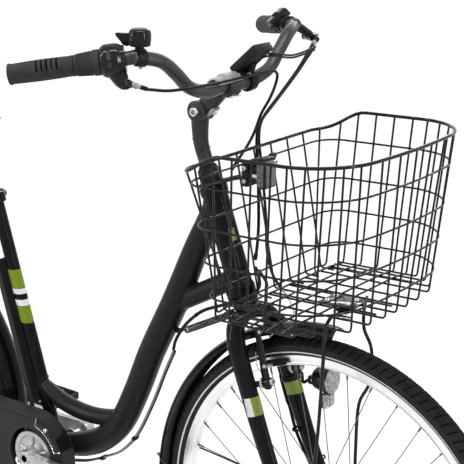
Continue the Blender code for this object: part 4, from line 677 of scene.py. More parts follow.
def make_lights():
    add_lamp("overhead_lamp", (0.6, -0.6, 3.6), (0, 0, 0.6), (3.2, 0.22), 62)
    add_lamp("left_strip", (-2.4, -2.6, 1.9), (0, 0, 0.7), (0.10, 2.6), 46)
    add_lamp("right_strip", (3.4, -0.3, 1.8), (0.2, 0, 0.7), (0.10, 2.6), 40)
    add_lamp("rear_lamp", (-0.8, 3.2, 2.4), (0, 0, 0.6), (2.4, 0.22), 34)


def make_world():
    """White for whatever the camera, gloss or glass sees, and a softer level as light."""
    world = bpy.data.worlds.new("studio")
    bpy.context.scene.world = world
    world.use_nodes = True
    tree = world.node_tree
    tree.nodes.clear()
    path = node(tree, "ShaderNodeLightPath")
    seen = either(tree, path, SHOWN_RAYS)
    light = node(tree, "ShaderNodeBackground", {"Color": (1, 1, 1, 1), "Strength": 0.42})
    backdrop = node(tree, "ShaderNodeBackground", {"Color": (1, 1, 1, 1), "Strength": 1.0})
    mix = node(tree, "ShaderNodeMixShader")
    output = node(tree, "ShaderNodeOutputWorld")
    tree.links.new(seen, mix.inputs[0])
    tree.links.new(light.outputs[0], mix.inputs[1])
    tree.links.new(backdrop.outputs[0], mix.inputs[2])
    tree.links.new(mix.outputs[0], output.inputs[0])


def either(tree, path, names):
    """Largest of some outputs of Light Path."""
    last = path.outputs[names[0]]
    for name in names[1:]:
        largest = node(tree, "ShaderNodeMath", operation="MAXIMUM")
        tree.links.new(last, largest.inputs[0])
        tree.links.new(path.outputs[name], largest.inputs[1])
        last = largest.outputs[0]
    return last


def make_floor():
    """Wide pale floor: white to the eye, with a faint share of real light, so that it takes the shadow."""
    half = FLOOR_HALF
    mesh = bpy.data.meshes.new("floor")
    corners = [(-half, -half, 0), (half, -half, 0), (half, half, 0), (-half, half, 0)]
    mesh.from_pydata(corners, [], [(0, 1, 2, 3)])
    material = bpy.data.materials.new("pale_floor")
    material.use_nodes = True
    tree = material.node_tree
    tree.nodes.clear()
    path = node(tree, "ShaderNodeLightPath")
    seen = either(tree, path, SHOWN_RAYS)
    share = node(tree, "ShaderNodeMath", {1: 0.82}, operation="MULTIPLY")
    tree.links.new(seen, share.inputs[0])
    glow = node(tree, "ShaderNodeEmission", {"Color": (1, 1, 1, 1), "Strength": 1.18})
    plain = node(tree, "ShaderNodeBsdfDiffuse", {"Color": (0.86, 0.86, 0.86, 1)})
    mix = node(tree, "ShaderNodeMixShader")
    output = node(tree, "ShaderNodeOutputMaterial")
    tree.links.new(share.outputs[0], mix.inputs[0])
    tree.links.new(plain.outputs[0], mix.inputs[1])
    tree.links.new(glow.outputs[0], mix.inputs[2])
    tree.links.new(mix.outputs[0], output.inputs[0])
    mesh.materials.append(material)
    floor = bpy.data.objects.new("floor", mesh)
    bpy.context.scene.collection.objects.link(floor)


bpy.context.scene.view_settings.view_transform = "Standard"
make_camera()
make_lights()
make_world()
make_floor()


# Wheels

TYRE_INNER = 0.3188
RIM_OUTER = 0.3185
RIM_INNER = 0.2995
SIPES = 132
TREAD_STATIONS = ((0.0, 0.0), (0.05, 1.0), (0.15, 1.0), (0.20, 0.0), (0.60, 0.0))
SIPE_DEPTH = 0.0006
SIPE_SLANT = 0.026
TREAD_HALF_WIDTH = 0.0177
STRIPE_STRIP, FIRST_TREAD_STRIP, FIRST_CROWN_STRIP = 3, 8, 17
SPOKES_PER_SIDE = 18


def tyre_section():
    """Half of the tyre's section from its bead to the crown, as (radius, y) with a tread share."""
    return [(TYRE_INNER, 0.0112, 0), (0.3205, 0.0135, 0), (0.3232, 0.0160, 0), (0.3246, 0.0170, 0),
            (0.3272, 0.0182, 0), (0.3300, 0.0188, 0), (0.3330, 0.0186, 0), (0.3360, 0.0180, 0.0),
            (0.3375, 0.0177, 1.0), (0.3402, 0.0164, 1.0), (0.3432, 0.0136, 1.0), (0.3458, 0.0102, 1.0),
            (0.3460, 0.0098, 0.4), (0.3458, 0.0092, 0.4), (0.3474, 0.0088, 1.0), (0.3484, 0.0058, 1.0),
            (0.3488, 0.0036, 0.0), (0.3476, 0.0030, 0.0), (0.3476, 0.0022, 0.0), (0.34895, 0.0016, 0.0)]


def make_tyre(name, axle_x, body, node_name):
    """Tyre with slanted sipes in its tread, a reflecting stripe on each wall and a moulded bead line."""
    half = tyre_section()
    section = [(r, -y, t) for r, y, t in half] + [(r, y, t) for r, y, t in reversed(half)]
    shape = Shape()
    centre = at(axle_x, 0, WHEEL_RADIUS)
    rings = []
    for k in range(SIPES):
        for share, deep in TREAD_STATIONS:
            ring = []
            for r, y, tread in section:
                slant = SIPE_SLANT * abs(y) / TREAD_HALF_WIDTH
                angle = 2 * pi * (k + share) / SIPES + slant
                reach = r - deep * tread * SIPE_DEPTH
                ring.append(shape.vert(centre + Vector((cos(angle) * reach, y, sin(angle) * reach))))
            rings.append(ring)
    faces = shape.skin(rings, 0, around=False, lengthways=True)
    strips = len(section) - 1
    for i, face in enumerate(faces):
        strip = i % strips
        side = min(strip, strips - 1 - strip)
        if side == STRIPE_STRIP:
            face.material_index = 2
        elif side < FIRST_TREAD_STRIP:
            face.material_index = 1
        # The deep floors of the sipes take the near-black groove material: painted shade in the sipes.
        elif i // strips % len(TREAD_STATIONS) < 3 and side < FIRST_CROWN_STRIP:
            face.material_index = 3
    shape.skin([[ring[0] for ring in rings], [ring[-1] for ring in rings]], 1, caps=False)
    shape.place(name, body, M["tyre"], M["wall"], M["stripe"], M["groove"], slot="tyre_rubber",
                replaces=[node_name], sharp=38)


def make_rim(name, axle_x, body, node_name, spokes_per_side):
    """Box-section alloy rim with a machined brake track, fine lines and an eyelet at each spoke."""
    half = [(RIM_OUTER, 0.0100), (RIM_OUTER, 0.0113), (0.3172, 0.0115), (0.3166, 0.0112), (0.3160, 0.0114),
            (0.3080, 0.0112), (0.3074, 0.0107), (0.3064, 0.0107), (0.3058, 0.0110), (0.3040, 0.0102),
            (0.3008, 0.0078), (0.2997, 0.0050), (0.2995, 0.0)]
    profile = [(r, -y) for r, y in half] + [(r, y) for r, y in reversed(half[:-1])]
    shape = Shape()
    centre = at(axle_x, 0, WHEEL_RADIUS)
    shape.turned(profile, centre, ALONG_Y, 180, closed=True)
    for k in range(2 * spokes_per_side):
        angle = pi * (k + 0.5) / spokes_per_side
        out = radial(angle)
        shape.ring(centre + out * 0.2996 + ALONG_Y * (0.0016 if k % 2 else -0.0016), out, 0.0019, 0.0033,
                   0.0004, 1, 14, 0.0002)
    shape.place(name, body, M["rim"], M["steel"], slot="alloy", replaces=[node_name], sharp=28)


def make_spokes(name, axle_x, body, node_name, per_side, flange, flange_y, sleeve, crossing):
    """Crossing spokes with bent heads in the flanges and a nipple at each end."""
    shape = Shape()
    centre = at(axle_x, 0, WHEEL_RADIUS)
    for side in (1, -1):
        profile = [(sleeve, 0.004), (flange - 0.004, 0.0016), (flange, 0.0018), (flange + 0.0006, 0),
                   (flange, -0.0018), (flange - 0.004, -0.0016), (sleeve, -0.0022)]
        shape.turned(rounded_profile(profile, 0.0006, 2), centre + ALONG_Y * side * flange_y, ALONG_Y * side,
                     72, 1)
    for side in (1, -1):
        for k in range(per_side):
            rim_angle = 2 * pi * (k + (0.25 if side > 0 else 0.75)) / per_side
            lead = crossing if k % 2 else -crossing
            hub_angle = rim_angle + lead
            face = 0.0022 if k % 2 else -0.0022
            root = centre + radial(hub_angle) * (flange - 0.0024)
            root.y = side * (flange_y + face)
            tip = centre + radial(rim_angle) * (RIM_INNER + 0.0004)
            tip.y = side * 0.0018
            along = (tip - root).normalized()
            head = root - ALONG_Y * side * face * 2
            shape.tube([head, head * 0.3 + root * 0.7, root + along * 0.0016, root + along * 0.006, tip],
                       [0.0010, 0.0010, 0.0009, 0.00085, 0.00085], 7, side=(1, 0, 0))
            shape.turned([(0, 0), (0.0019, 0.0002), (0.0019, 0.0008), (0.0010, 0.0012)], head,
                         ALONG_Y * side * (-1 if face > 0 else 1), 10)
            nipple = [(0.0011, 0), (0.0017, 0.0004), (0.0019, 0.0110), (0.0022, 0.0124), (0, 0.0126)]
            shape.turned(nipple, tip - along * 0.0122, along, 10, 0)
    shape.place(name, body, M["spoke"], M["motor"] if node_name == "front_spokes" else M["alloy"],
                slot="steel", replaces=[node_name])


def make_valve(name, axle_x, body, angle):
    """Tyre valve with its cap, between two spokes."""
    shape = Shape()
    centre = at(axle_x, 0, WHEEL_RADIUS)
    inward = -radial(radians(angle))
    base = centre - inward * 0.2998
    profile = [(0.0040, 0), (0.0040, 0.002), (0.0030, 0.003), (0.0030, 0.020), (0.0036, 0.0205),
               (0.0036, 0.032), (0.0028, 0.034), (0, 0.034)]
    shape.turned(profile, base, inward, 20, 0)
    shape.place(name, body, M["rubber"])


def make_front_hub():
    shape = Shape()
    centre = at(0, 0, WHEEL_RADIUS)
    half = [(0.0066, 0.048), (0.0195, 0.048), (0.0215, 0.037), (0.0340, 0.0335), (0.0500, 0.0310),
            (0.0548, 0.0285), (0.0548, 0.0200), (0.0540, 0.0195), (0.0540, 0.0)]
    profile = half + [(r, -y) for r, y in reversed(half[:-1])]
    shape.turned(rounded_profile(profile, 0.0016, 3), centre, ALONG_Y, 72, 0)
    for side in (1, -1):
        for k in range(6):
            angle = 2 * pi * k / 6 + 0.3
            point = centre + Vector((cos(angle) * 0.045, side * 0.0322, sin(angle) * 0.045))
            shape.screw(point, ALONG_Y * side, 0.0026, 1)
    shape.place("hub_motor_shell", "front_wheel", M["motor"], M["steel"], slot="bar_coating",
                replaces=["front_hub_motor"])
    shape = Shape()
    shape.rod(centre - ALONG_Y * 0.0838, centre + ALONG_Y * 0.0838, 0.0058, 0, 24)
    for side in (1, -1):
        shape.nut(centre + ALONG_Y * side * 0.0712, ALONG_Y * side, 0.0100, 0.0072, 0)
    shape.place("front_axle_nuts", "fork", M["steel"], slot="steel", replaces=["front_axle"])


def make_rear_hub():
    shape = Shape()
    centre = at(REAR_AXLE_X, 0, WHEEL_RADIUS)
    profile = [(0.0056, -0.040), (0.020, -0.040), (0.0318, -0.034), (0.0318, -0.012), (0.0300, -0.010),
               (0.0300, 0.010), (0.0318, 0.012), (0.0318, 0.034), (0.0225, 0.0435), (0.0180, 0.0595),
               (0.0056, 0.060)]
    shape.turned(rounded_profile(profile, 0.0015, 3), centre, ALONG_Y, 64, 0)
    shape.place("gear_hub_shell", "rear_wheel", M["alloy"], slot="alloy", replaces=["rear_hub"])


SPROCKET_TEETH = 19


def make_sprocket():
    shape = Shape()
    centre = at(REAR_AXLE_X, 0, WHEEL_RADIUS)
    outline = toothed_outline(SPROCKET_TEETH, 0.0345, 0.0300)
    shape.plate(outline, -0.0482, -0.0462, 0, 0.0003, origin=centre)
    shape.turned(rounded_profile([(0.0060, -0.0598), (0.0145, -0.0598), (0.0240, -0.0484), (0.0240, -0.0460),
                                  (0.0148, -0.0406), (0.0060, -0.0406)], 0.0008, 2, True), centre,
                                  ALONG_Y, 48,
                 0, closed=True)
    shape.place("rear_sprocket_teeth", "rear_sprocket", M["steel"], slot="steel", replaces=["rear_sprocket"])


def toothed_outline(teeth, tip, root):
    """Round outline with chain teeth."""
    outline = []
    for k in range(teeth):
        for share, reach in ((0.0, root), (0.18, root), (0.38, tip - 0.001), (0.46, tip), (0.54, tip),
                             (0.62, tip - 0.001), (0.82, root)):
            angle = 2 * pi * (k + share) / teeth
            outline.append((reach * cos(angle), reach * sin(angle)))
    return outline


def make_wheels():
    make_tyre("front_tyre_tread", 0, "front_wheel", "front_tyre")
    make_rim("front_rim_track", 0, "front_wheel", "front_rim", SPOKES_PER_SIDE)
    make_spokes("front_spoke_set", 0, "front_wheel", "front_spokes", SPOKES_PER_SIDE, 0.0640, 0.0220,
                0.0546, 0.42)
    make_valve("front_valve", 0, "front_wheel", 255)
    make_front_hub()
    make_tyre("rear_tyre_tread", REAR_AXLE_X, "rear_wheel", "rear_tyre")
    make_rim("rear_rim_track", REAR_AXLE_X, "rear_wheel", "rear_rim", SPOKES_PER_SIDE)
    make_spokes("rear_spoke_set", REAR_AXLE_X, "rear_wheel", "rear_spokes", SPOKES_PER_SIDE, 0.0420, 0.0260,
                0.0322, 0.62)
    make_valve("rear_valve", REAR_AXLE_X, "rear_wheel", 95)
    make_rear_hub()
    make_sprocket()


def make_mudguard(name, axle_x, radius, start, end, steps, body, node_name):
    """Thin rolled mudguard with a turned edge on each side."""
    section = []
    count = 20
    for k in range(count + 1):
        w = -1 + 2 * k / count
        section.append((radius - 0.0125 * abs(w) ** 2.4, MUDGUARD_HALF_WIDTH * w))
    inner = [(r - 0.0016, y * 0.955) for r, y in reversed(section)]
    edge = section[-1][0]
    outer_lip = [(edge - 0.0010, MUDGUARD_HALF_WIDTH), (edge - 0.0024, MUDGUARD_HALF_WIDTH * 0.985)]
    other_lip = [(r, -y) for r, y in reversed(outer_lip)]
    ring_points = section + outer_lip + inner + other_lip
    shape = Shape()
    rings = []
    for k in range(steps + 1):
        share = k / steps
        angle = radians(start + (end - start) * share)
        taper = 0.72 if share in (0, 1) else 1.0
        rings.append([shape.vert(at(axle_x + r * cos(angle), y * taper, WHEEL_RADIUS + r * sin(angle)))
                      for r, y in ring_points])
    shape.skin(rings)
    shape.place(name, body, M["gloss"], slot="black_paint", replaces=[node_name], sharp=50)


def make_mudguards():
    make_mudguard("front_mudguard_skin", 0, MUDGUARD_RADIUS, 88.6, 195.6, 66, "fork", "front_mudguard")
    make_mudguard("rear_mudguard_skin", REAR_AXLE_X, MUDGUARD_RADIUS - 0.0032, -5.6, 193.6, 110, "frame",
                  "rear_mudguard")
    make_mudguard_stays()


def make_mudguard_stays():
    """Wire stays from each wheel's dropouts to the mudguard's edge."""
    for name, axle_x, body, angle, y_root in (("front_mudguard_stays", 0, "fork", 172, 0.0700),
                                              ("rear_mudguard_stays", REAR_AXLE_X, "frame", 168, 0.0725)):
        shape = Shape()
        a = radians(angle)
        reach = MUDGUARD_RADIUS - 0.0110
        for side in (1, -1):
            end = at(axle_x + reach * cos(a), side * (MUDGUARD_HALF_WIDTH + 0.0016),
                     WHEEL_RADIUS + reach * sin(a))
            root = at(axle_x - 0.014, side * y_root, WHEEL_RADIUS + 0.004)
            knee = end + (root - end) * 0.10 + ALONG_Y * side * 0.012
            shape.tube(smooth_path([root, root * 0.5 + knee * 0.5, knee, end], 6), 0.0017, 10, dome=0.6)
            shape.screw(end, ALONG_Y * side, 0.0036, 1)
            shape.ring(root, ALONG_Y, 0.0022, 0.0048, 0.0010, 1, 20, 0.0003)
        shape.place(name, body, M["wire"], M["steel"])


# Frame

DOWN_TUBE_LINE = [
    (-0.2455, 0.893, 0.0205), (-0.265, 0.852, 0.0215), (-0.291, 0.800, 0.0228), (-0.340, 0.693, 0.0250),
    (-0.396, 0.586, 0.0250), (-0.434, 0.500, 0.0250), (-0.474, 0.424, 0.0250), (-0.519, 0.377, 0.0250),
    (-0.565, 0.351, 0.0252), (-0.610, 0.336, 0.0230), (-0.6475, 0.3285, 0.0190)]
STEP_TUBE_LINE = [
    (-0.687, 0.452, 0.0100), (-0.667, 0.438, 0.0140), (-0.632, 0.422, 0.0165), (-0.590, 0.4145, 0.0165),
    (-0.545, 0.4145, 0.0165), (-0.500, 0.423, 0.0165), (-0.462, 0.439, 0.0165)]
GUSSET = ((-0.345, 0.687), (-0.200, 0.768))
GUSSET_RADIUS = 0.018
GUSSET_TUBE_AXIS = (at(-0.291, 0, 0.800) - at(-0.396, 0, 0.586)).normalized()
HEAD_TUBE_RADIUS = 0.022
SEAT_TUBE_RADIUS = 0.0130
STAND_PIVOT = (-0.712, 0.222)
STRIP_BOTTOM, STRIP_TOP = 0.085, 0.385
SPRING_START = (-0.3255, 0.6395)


def side_path(line, steps):
    return smooth_path([(*at(x, 0, z), r) for x, z, r in line], steps)


def make_down_tube():
    shape = Shape()
    path = side_path(DOWN_TUBE_LINE, 6)
    shape.tube(path, [p[3] for p in path], 40, (0, 1, 0))
    start, end = (at(x, 0, z) for x, z in GUSSET)
    shape.tube([start, (start + end) / 2, end - (end - start).normalized() * 0.010], GUSSET_RADIUS, 36)
    step = side_path(STEP_TUBE_LINE, 6)
    shape.tube(step, [p[3] for p in step], 32)
    foot = steer(0)
    direction = (end - start).normalized()
    weld_bead(shape, start, direction, GUSSET_RADIUS, foot, STEER_AXIS, HEAD_TUBE_RADIUS)
    top = Vector(path[1][:3])
    upward = (Vector(path[0][:3]) - top).normalized()
    weld_bead(shape, Vector(path[6][:3]), upward, 0.0205, foot, STEER_AXIS, HEAD_TUBE_RADIUS, 0.0021)
    low_start = Vector(step[6][:3])
    low_direction = (Vector(step[1][:3]) - low_start).normalized()
    weld_bead(shape, low_start, low_direction, 0.0138, seat_axis(0), SEAT_DIRECTION, SEAT_TUBE_RADIUS, 0.0018)
    foot_start = start + direction * 0.060
    weld_bead(shape, foot_start, -direction, GUSSET_RADIUS, at(-0.340, 0, 0.693), GUSSET_TUBE_AXIS,
              0.0250, 0.0022)
    tab = at(-0.334, 0, 0.6395)
    shape.box(tab, (0.014, 0.005, 0.010), None, 0.0012)
    shape.place("down_tube_welded", "frame", M["satin"], slot="black_paint", replaces=["down_tube"], sharp=44)


def make_head_tube():
    shape = Shape()
    profile = [(0.0168, HEAD_BOTTOM_S - 0.027), (0.0244, HEAD_BOTTOM_S - 0.0275),
               (0.0249, HEAD_BOTTOM_S - 0.012),
               (0.0249, HEAD_BOTTOM_S), (0.0222, HEAD_BOTTOM_S + 0.005),
               (HEAD_TUBE_RADIUS, HEAD_BOTTOM_S + 0.012),
               (HEAD_TUBE_RADIUS, HEAD_TOP_S - 0.020), (0.0249, HEAD_TOP_S - 0.012),
               (0.0249, HEAD_TOP_S - 0.0004), (0.0168, HEAD_TOP_S)]
    shape.turned(rounded_profile(profile, 0.0018, 3), steer(0), STEER_AXIS, 64, 0, side=STEER_FORWARD)
    low = rounded_profile([(0.0180, 0.4196), (0.0246, 0.4200), (0.0250, 0.4225), (0.0246, 0.4250),
                           (0.0180, 0.4252)],
                          0.0006, 2)
    shape.turned(low, steer(0), STEER_AXIS, 48, 1)
    shape.place("head_tube_cups", "frame", M["gloss"], M["plastic"], slot="black_paint",
                replaces=["head_tube"])
    make_head_decals()


def curved_patch(shape, centre, axis, radius, low, high, start, end, mat=0, steps=14, side=None):
    """Thin patch lying on a round tube between two heights and two angles."""
    u = side if side is not None else across(axis)
    v = Vector(axis).cross(u)
    rings = []
    for level in range(5):
        h = low + (high - low) * level / 4
        ring = []
        for k in range(steps + 1):
            a = start + (end - start) * k / steps
            ring.append(shape.vert(centre + Vector(axis) * h + (u * cos(a) + v * sin(a)) * radius))
        rings.append(ring)
    shape.skin(rings, mat, around=False, caps=False)


def make_head_decals():
    """Small green mark on the front of the head tube."""
    shape = Shape()
    radius = HEAD_TUBE_RADIUS + 0.00025
    curved_patch(shape, steer(0), STEER_AXIS, radius, 0.526, 0.548, -0.62, -0.10, 0, side=STEER_FORWARD)
    shape.place("head_tube_mark", "frame", M["green"], slot="black_paint")


def make_seat_tube():
    shape = Shape()
    top = SEAT_TUBE_TOP
    profile = [(0, 0.020), (SEAT_TUBE_RADIUS, 0.020), (SEAT_TUBE_RADIUS, top - 0.019)]
    shape.turned(profile, seat_axis(0), SEAT_DIRECTION, 48, 0)
    collar = [(0.0131, top - 0.0195), (0.0186, top - 0.019), (0.0189, top - 0.010), (0.0186, top),
              (0.0118, top), (0.0118, top - 0.019)]
    shape.turned(rounded_profile(collar, 0.0012, 3, True), seat_axis(0), SEAT_DIRECTION, 48, 1, closed=True)
    lug = seat_axis(top - 0.0100, -0.0205)
    shape.box(lug, (0.0160, 0.0160, 0.0080), turn_matrix(SEAT_DIRECTION, ALONG_Y), 0.0014, 3, 1)
    shape.screw(lug - ALONG_Y * 0.0080, -ALONG_Y, 0.0042, 2)
    shape.nut(lug + ALONG_Y * 0.0080, ALONG_Y, 0.0042, 0.0034, 2, washer=False)
    shape.place("seat_tube_banded", "frame", M["seat_bands"], M["gloss"], M["steel"], slot="black_paint",
                replaces=["seat_tube"])
    make_cover_strip()


def make_cover_strip():
    """Channel-shaped cover behind the seat tube, with rolled edges and two screws."""
    shape = Shape()
    half, near, deep = 0.0257, 0.0128, 0.0357
    section = []
    for k in range(17):
        w = -1 + 2 * k / 16
        section.append((-(near + 0.0014 + (deep - near - 0.0016) * (1 - abs(w) ** 7)), half * w))
    inner = [(a + 0.0014, y * 0.95) for a, y in reversed(section)]
    rings = []
    for k in range(25):
        t = STRIP_BOTTOM + 0.001 + (STRIP_TOP - STRIP_BOTTOM - 0.002) * k / 24
        rings.append([shape.vert(seat_axis(t, min(a, -near), y)) for a, y in section + inner])
    shape.skin(rings)
    for t in (STRIP_BOTTOM + 0.03, STRIP_TOP - 0.03):
        shape.screw(seat_axis(t, -deep + 0.0016), -SEAT_FORWARD, 0.0034, 1)
    shape.place("seat_tube_cover", "frame", M["case"], M["steel"], slot="black_paint")


def make_crank_shell():
    shape = Shape()
    centre = at(CRANK_X, 0, CRANK_Z)
    profile = [(0.0118, -0.034), (0.0213, -0.034), (0.0213, 0.034), (0.0118, 0.034)]
    shape.turned(rounded_profile(profile, 0.0012, 3, True), centre, ALONG_Y, 48, 0, closed=True)
    for side in (1, -1):
        cup = [(0.0100, 0.0335), (0.0196, 0.0335), (0.0196, 0.0362), (0.0150, 0.0372), (0.0100, 0.0372)]
        shape.turned([(r, h * side) for r, h in rounded_profile(cup, 0.0006, 2)], centre, ALONG_Y, 40, 1)
    x, z = STAND_PIVOT
    outline = [(x - 0.022, z - 0.016), (x + 0.020, z - 0.016), (CRANK_X + 0.014, CRANK_Z - 0.015),
               (CRANK_X - 0.012, CRANK_Z - 0.013), (x - 0.022, z + 0.028)]
    shape.plate([(px + FRONT_AXLE_X, pz) for px, pz in outline], -0.0255, 0.0255, 0, 0.0022, segments=3)
    for y in (-0.0262, 0.0262):
        shape.ring(at(x, y, z), ALONG_Y, 0.0104, 0.0145, 0.0012, 0, 36)
    shape.place("crank_shell_with_stand_plate", "frame", M["gloss"], M["steel"], slot="black_paint",
                replaces=["bottom_bracket_shell"], sharp=40)


def make_chain_stays():
    half = [(-1.094, 0.0640, 0.349, 0.0085, 0.0052), (-1.060, 0.0600, 0.348, 0.0085, 0.0060),
            (-0.980, 0.0520, 0.345, 0.0085, 0.0075), (-0.860, 0.0460, 0.338, 0.0090, 0.0085),
            (-0.770, 0.0440, 0.331, 0.0090, 0.0085), (-0.722, 0.0300, 0.327, 0.0095, 0.0085)]
    knots = [(*at(x, y, z), a, b) for x, y, z, a, b in half] + [(*at(-0.703, 0, 0.326), 0.0100, 0.0085)]
    knots += [(*at(x, -y, z), a, b) for x, y, z, a, b in reversed(half)]
    shape = Shape()
    shape.swept(knots, 5, 24, (0, 0, 1), dome=0.8)
    shape.rod(at(-0.712, 0, 0.326), at(-0.673, 0, 0.326), 0.0128, 0, 32)
    outline = [(-1.1415, 0.339), (-1.128, 0.331), (-1.085, 0.342), (-1.085, 0.357), (-1.098, 0.3745),
               (-1.126, 0.3745), (-1.1415, 0.361)]
    for side in (1, -1):
        plate_y = side * 0.0665
        shape.plate([(x + FRONT_AXLE_X, z) for x, z in outline], plate_y - 0.0026,
                    plate_y + 0.0026, 0, 0.0006)
        axle = at(REAR_AXLE_X, side * 0.0692, WHEEL_RADIUS)
        shape.nut(axle, ALONG_Y * side, 0.0092, 0.0076, 1)
    shape.rod(at(REAR_AXLE_X, -0.0875, WHEEL_RADIUS), at(REAR_AXLE_X, 0.0875, WHEEL_RADIUS), 0.0048, 1, 20)
    shape.place("chain_stay_yoke", "frame", M["gloss"], M["steel"], slot="black_paint",
                replaces=["chain_stays"], sharp=40)


def make_seat_stays():
    half = [(-1.1055, 0.0665, 0.3802), (-1.085, 0.0655, 0.408), (-1.000, 0.058, 0.516),
            (-0.900, 0.048, 0.642), (-0.846, 0.038, 0.710), (-0.812, 0.023, 0.748)]
    knots = [at(*p) for p in half] + [at(-0.797, 0, 0.762)] + [at(x, -y, z) for x, y, z in reversed(half)]
    shape = Shape()
    shape.tube(smooth_path(knots, 6), 0.0074, 24, (1, 0, 0), dome=0.9)
    bridge_angle = radians(52.3)
    reach = MUDGUARD_RADIUS + 0.0016 + 0.005
    x = REAR_AXLE_X + reach * cos(bridge_angle)
    z = WHEEL_RADIUS + reach * sin(bridge_angle)
    shape.rod(at(x, -0.050, z), at(x, 0.050, z), 0.0049, 0, 20)
    shape.place("seat_stay_loop", "frame", M["gloss"], slot="black_paint", replaces=["seat_stays"], sharp=40)


def make_steering_spring():
    """Coil spring between the frame's tab and the fork's, with a hook at each end."""
    start = at(SPRING_START[0] + 0.0010, 0, SPRING_START[1])
    end = steer(CROWN_S + 0.0015, -0.0264)
    axis = (end - start).normalized()
    side = axis.cross(ALONG_Y).normalized()
    other = axis.cross(side)
    hook, turns, per_turn = 0.011, 25, 16
    length = (end - start).length - 2 * hook
    points = []
    for k in range(9):
        a = pi * 1.35 * (1 - k / 8)
        points.append(start + axis * (hook * 0.5 - cos(a) * 0.0040) + side * sin(a) * 0.0042)
    total = turns * per_turn
    for k in range(total + 1):
        a = 2 * pi * k / per_turn
        centre = start + axis * (hook + length * k / total)
        points.append(centre + (side * cos(a) + other * sin(a)) * 0.0056)
    for k in range(9):
        a = pi * 1.35 * k / 8
        points.append(end - axis * (hook * 0.5 - cos(a) * 0.0040) + side * sin(a) * 0.0042)
    shape = Shape()
    shape.tube(points, 0.0012, 8, side, dome=0.6)
    spring = shape.place("steering_spring_coil", None, M["spring"], slot="steel",
                         replaces=["steering_spring"])
    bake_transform(spring)


CASE_INNER_Y = -0.0402
CASE_FRONT_RADIUS, CASE_REAR_RADIUS = 0.088, 0.056
CASE_OPENING = 0.057
CHAINRING_TEETH = 38


def belt_outline(first_radius, second_radius, count):
    """Outline round the crank and the rear hub, as a chain lies round two sprockets."""
    first = (CRANK_X + FRONT_AXLE_X, CRANK_Z)
    second = (REAR_AXLE_X + FRONT_AXLE_X, WHEEL_RADIUS)
    dx, dz = second[0] - first[0], second[1] - first[1]
    heading = atan2(dz, dx)
    lean = pi / 2 - atan2(first_radius - second_radius, hypot(dx, dz))
    outline = arc_points(*first, first_radius, heading + lean, 2 * pi - 2 * lean, count)
    return outline + arc_points(*second, second_radius, heading - lean, 2 * lean, count // 2)


def make_chain_case():
    """Moulded chain case: a dished outer face with a raised rim round its edge and round the opening."""
    arc = 72
    shape = Shape()
    levels = [(0.0, CASE_INNER_Y), (0.0, -0.058), (0.0, -0.0705), (-0.0016, -0.0731), (-0.0038, -0.0739),
              (-0.0052, -0.0739), (-0.0060, -0.0726), (-0.0076, -0.0726), (-0.0084, -0.0737),
              (-0.0104, -0.0737), (-0.0114, -0.0727), (-0.0130, -0.0727)]
    rings = []
    for inset, y in levels:
        outline = belt_outline(CASE_FRONT_RADIUS + inset, CASE_REAR_RADIUS + inset, arc)
        rings.append([shape.vert((x, y, z)) for x, z in outline])
    shape.skin(rings, 0, caps=False)
    centre = Vector((CRANK_X + FRONT_AXLE_X, 0, CRANK_Z))
    opening = [(CASE_OPENING + 0.0095, -0.0727), (CASE_OPENING + 0.0055, -0.0731),
               (CASE_OPENING + 0.0042, -0.0740),
               (CASE_OPENING + 0.0006, -0.0740), (CASE_OPENING, -0.0734), (CASE_OPENING, -0.0680)]
    last = []
    first = [atan2(vert.co.z - centre.z, vert.co.x - centre.x) for vert in rings[-1][:arc + 1]]
    rest = len(rings[0]) - arc - 1
    gap = (first[0] - first[-1]) % (2 * pi)
    angles = first + [first[-1] + gap * (k + 1) / (rest + 1) for k in range(rest)]
    for r, y in opening:
        last.append([shape.vert(Vector((centre.x + r * cos(a), y, centre.z + r * sin(a)))) for a in angles])
    shape.skin([rings[-1]] + last, 0, caps=False)
    inner = belt_outline(CASE_FRONT_RADIUS - 0.0024, CASE_REAR_RADIUS - 0.0024, arc)
    wall = [shape.vert((x, CASE_INNER_Y, z)) for x, z in inner]
    deep = [shape.vert((x, -0.0700, z)) for x, z in inner]
    shape.skin([rings[0], wall, deep], 0, caps=False)
    nut = at(REAR_AXLE_X, -0.0738, WHEEL_RADIUS)
    shape.ring(nut, ALONG_Y, 0.0120, 0.0175, 0.0009, 0, 48)
    shape.place("chain_case_shell", "frame", M["case"], slot="matte_case", replaces=["chain_case"], sharp=40,
                flip=False)
    make_case_bracket()


def make_case_bracket():
    """Glossy plate over the front edge of the case, with a plated line along its inner edge and ends as a
    painted highlight, and a screw.
    """
    shape = Shape()
    centre = Vector((CRANK_X + FRONT_AXLE_X, 0, CRANK_Z))
    outer, inner = CASE_FRONT_RADIUS + 0.0006, CASE_FRONT_RADIUS - 0.0200
    start, end, steps = radians(76), radians(20), 24
    rings = []
    for k in range(steps + 1):
        a = start + (end - start) * k / steps
        out = radial(a)
        ring = []
        for r, y in ((outer, -0.042), (outer, -0.0742), (outer - 0.0012, -0.0749), (inner + 0.0012, -0.0749),
                     (inner, -0.0742), (inner, -0.0700)):
            ring.append(shape.vert(centre + out * r + ALONG_Y * y))
        rings.append(ring)
    shape.skin(rings)
    # Chrome beads along the bracket's inner edge and ends: a painted highlight line where the bevel catches
    # the light.
    edge = []
    for k in range(steps + 1):
        a = start + (end - start) * k / steps
        edge.append(centre + radial(a) * (inner + 0.0016) + ALONG_Y * -0.0751)
    shape.tube(edge, 0.0006, 8, mat=1, dome=0.8)
    for a in (start, end):
        out = radial(a)
        shape.tube([centre + out * (inner + 0.0016) - ALONG_Y * 0.0751,
                    centre + out * (outer - 0.0016) - ALONG_Y * 0.0751],
                   0.0006, 8, mat=1, dome=0.8)
    a = radians(56)
    screw = centre + radial(a) * (CASE_FRONT_RADIUS - 0.0070) + ALONG_Y * -0.0748
    shape.screw(screw, -ALONG_Y, 0.0042, 1)
    shape.place("chain_case_bracket", "frame", M["shiny"], M["chrome"])


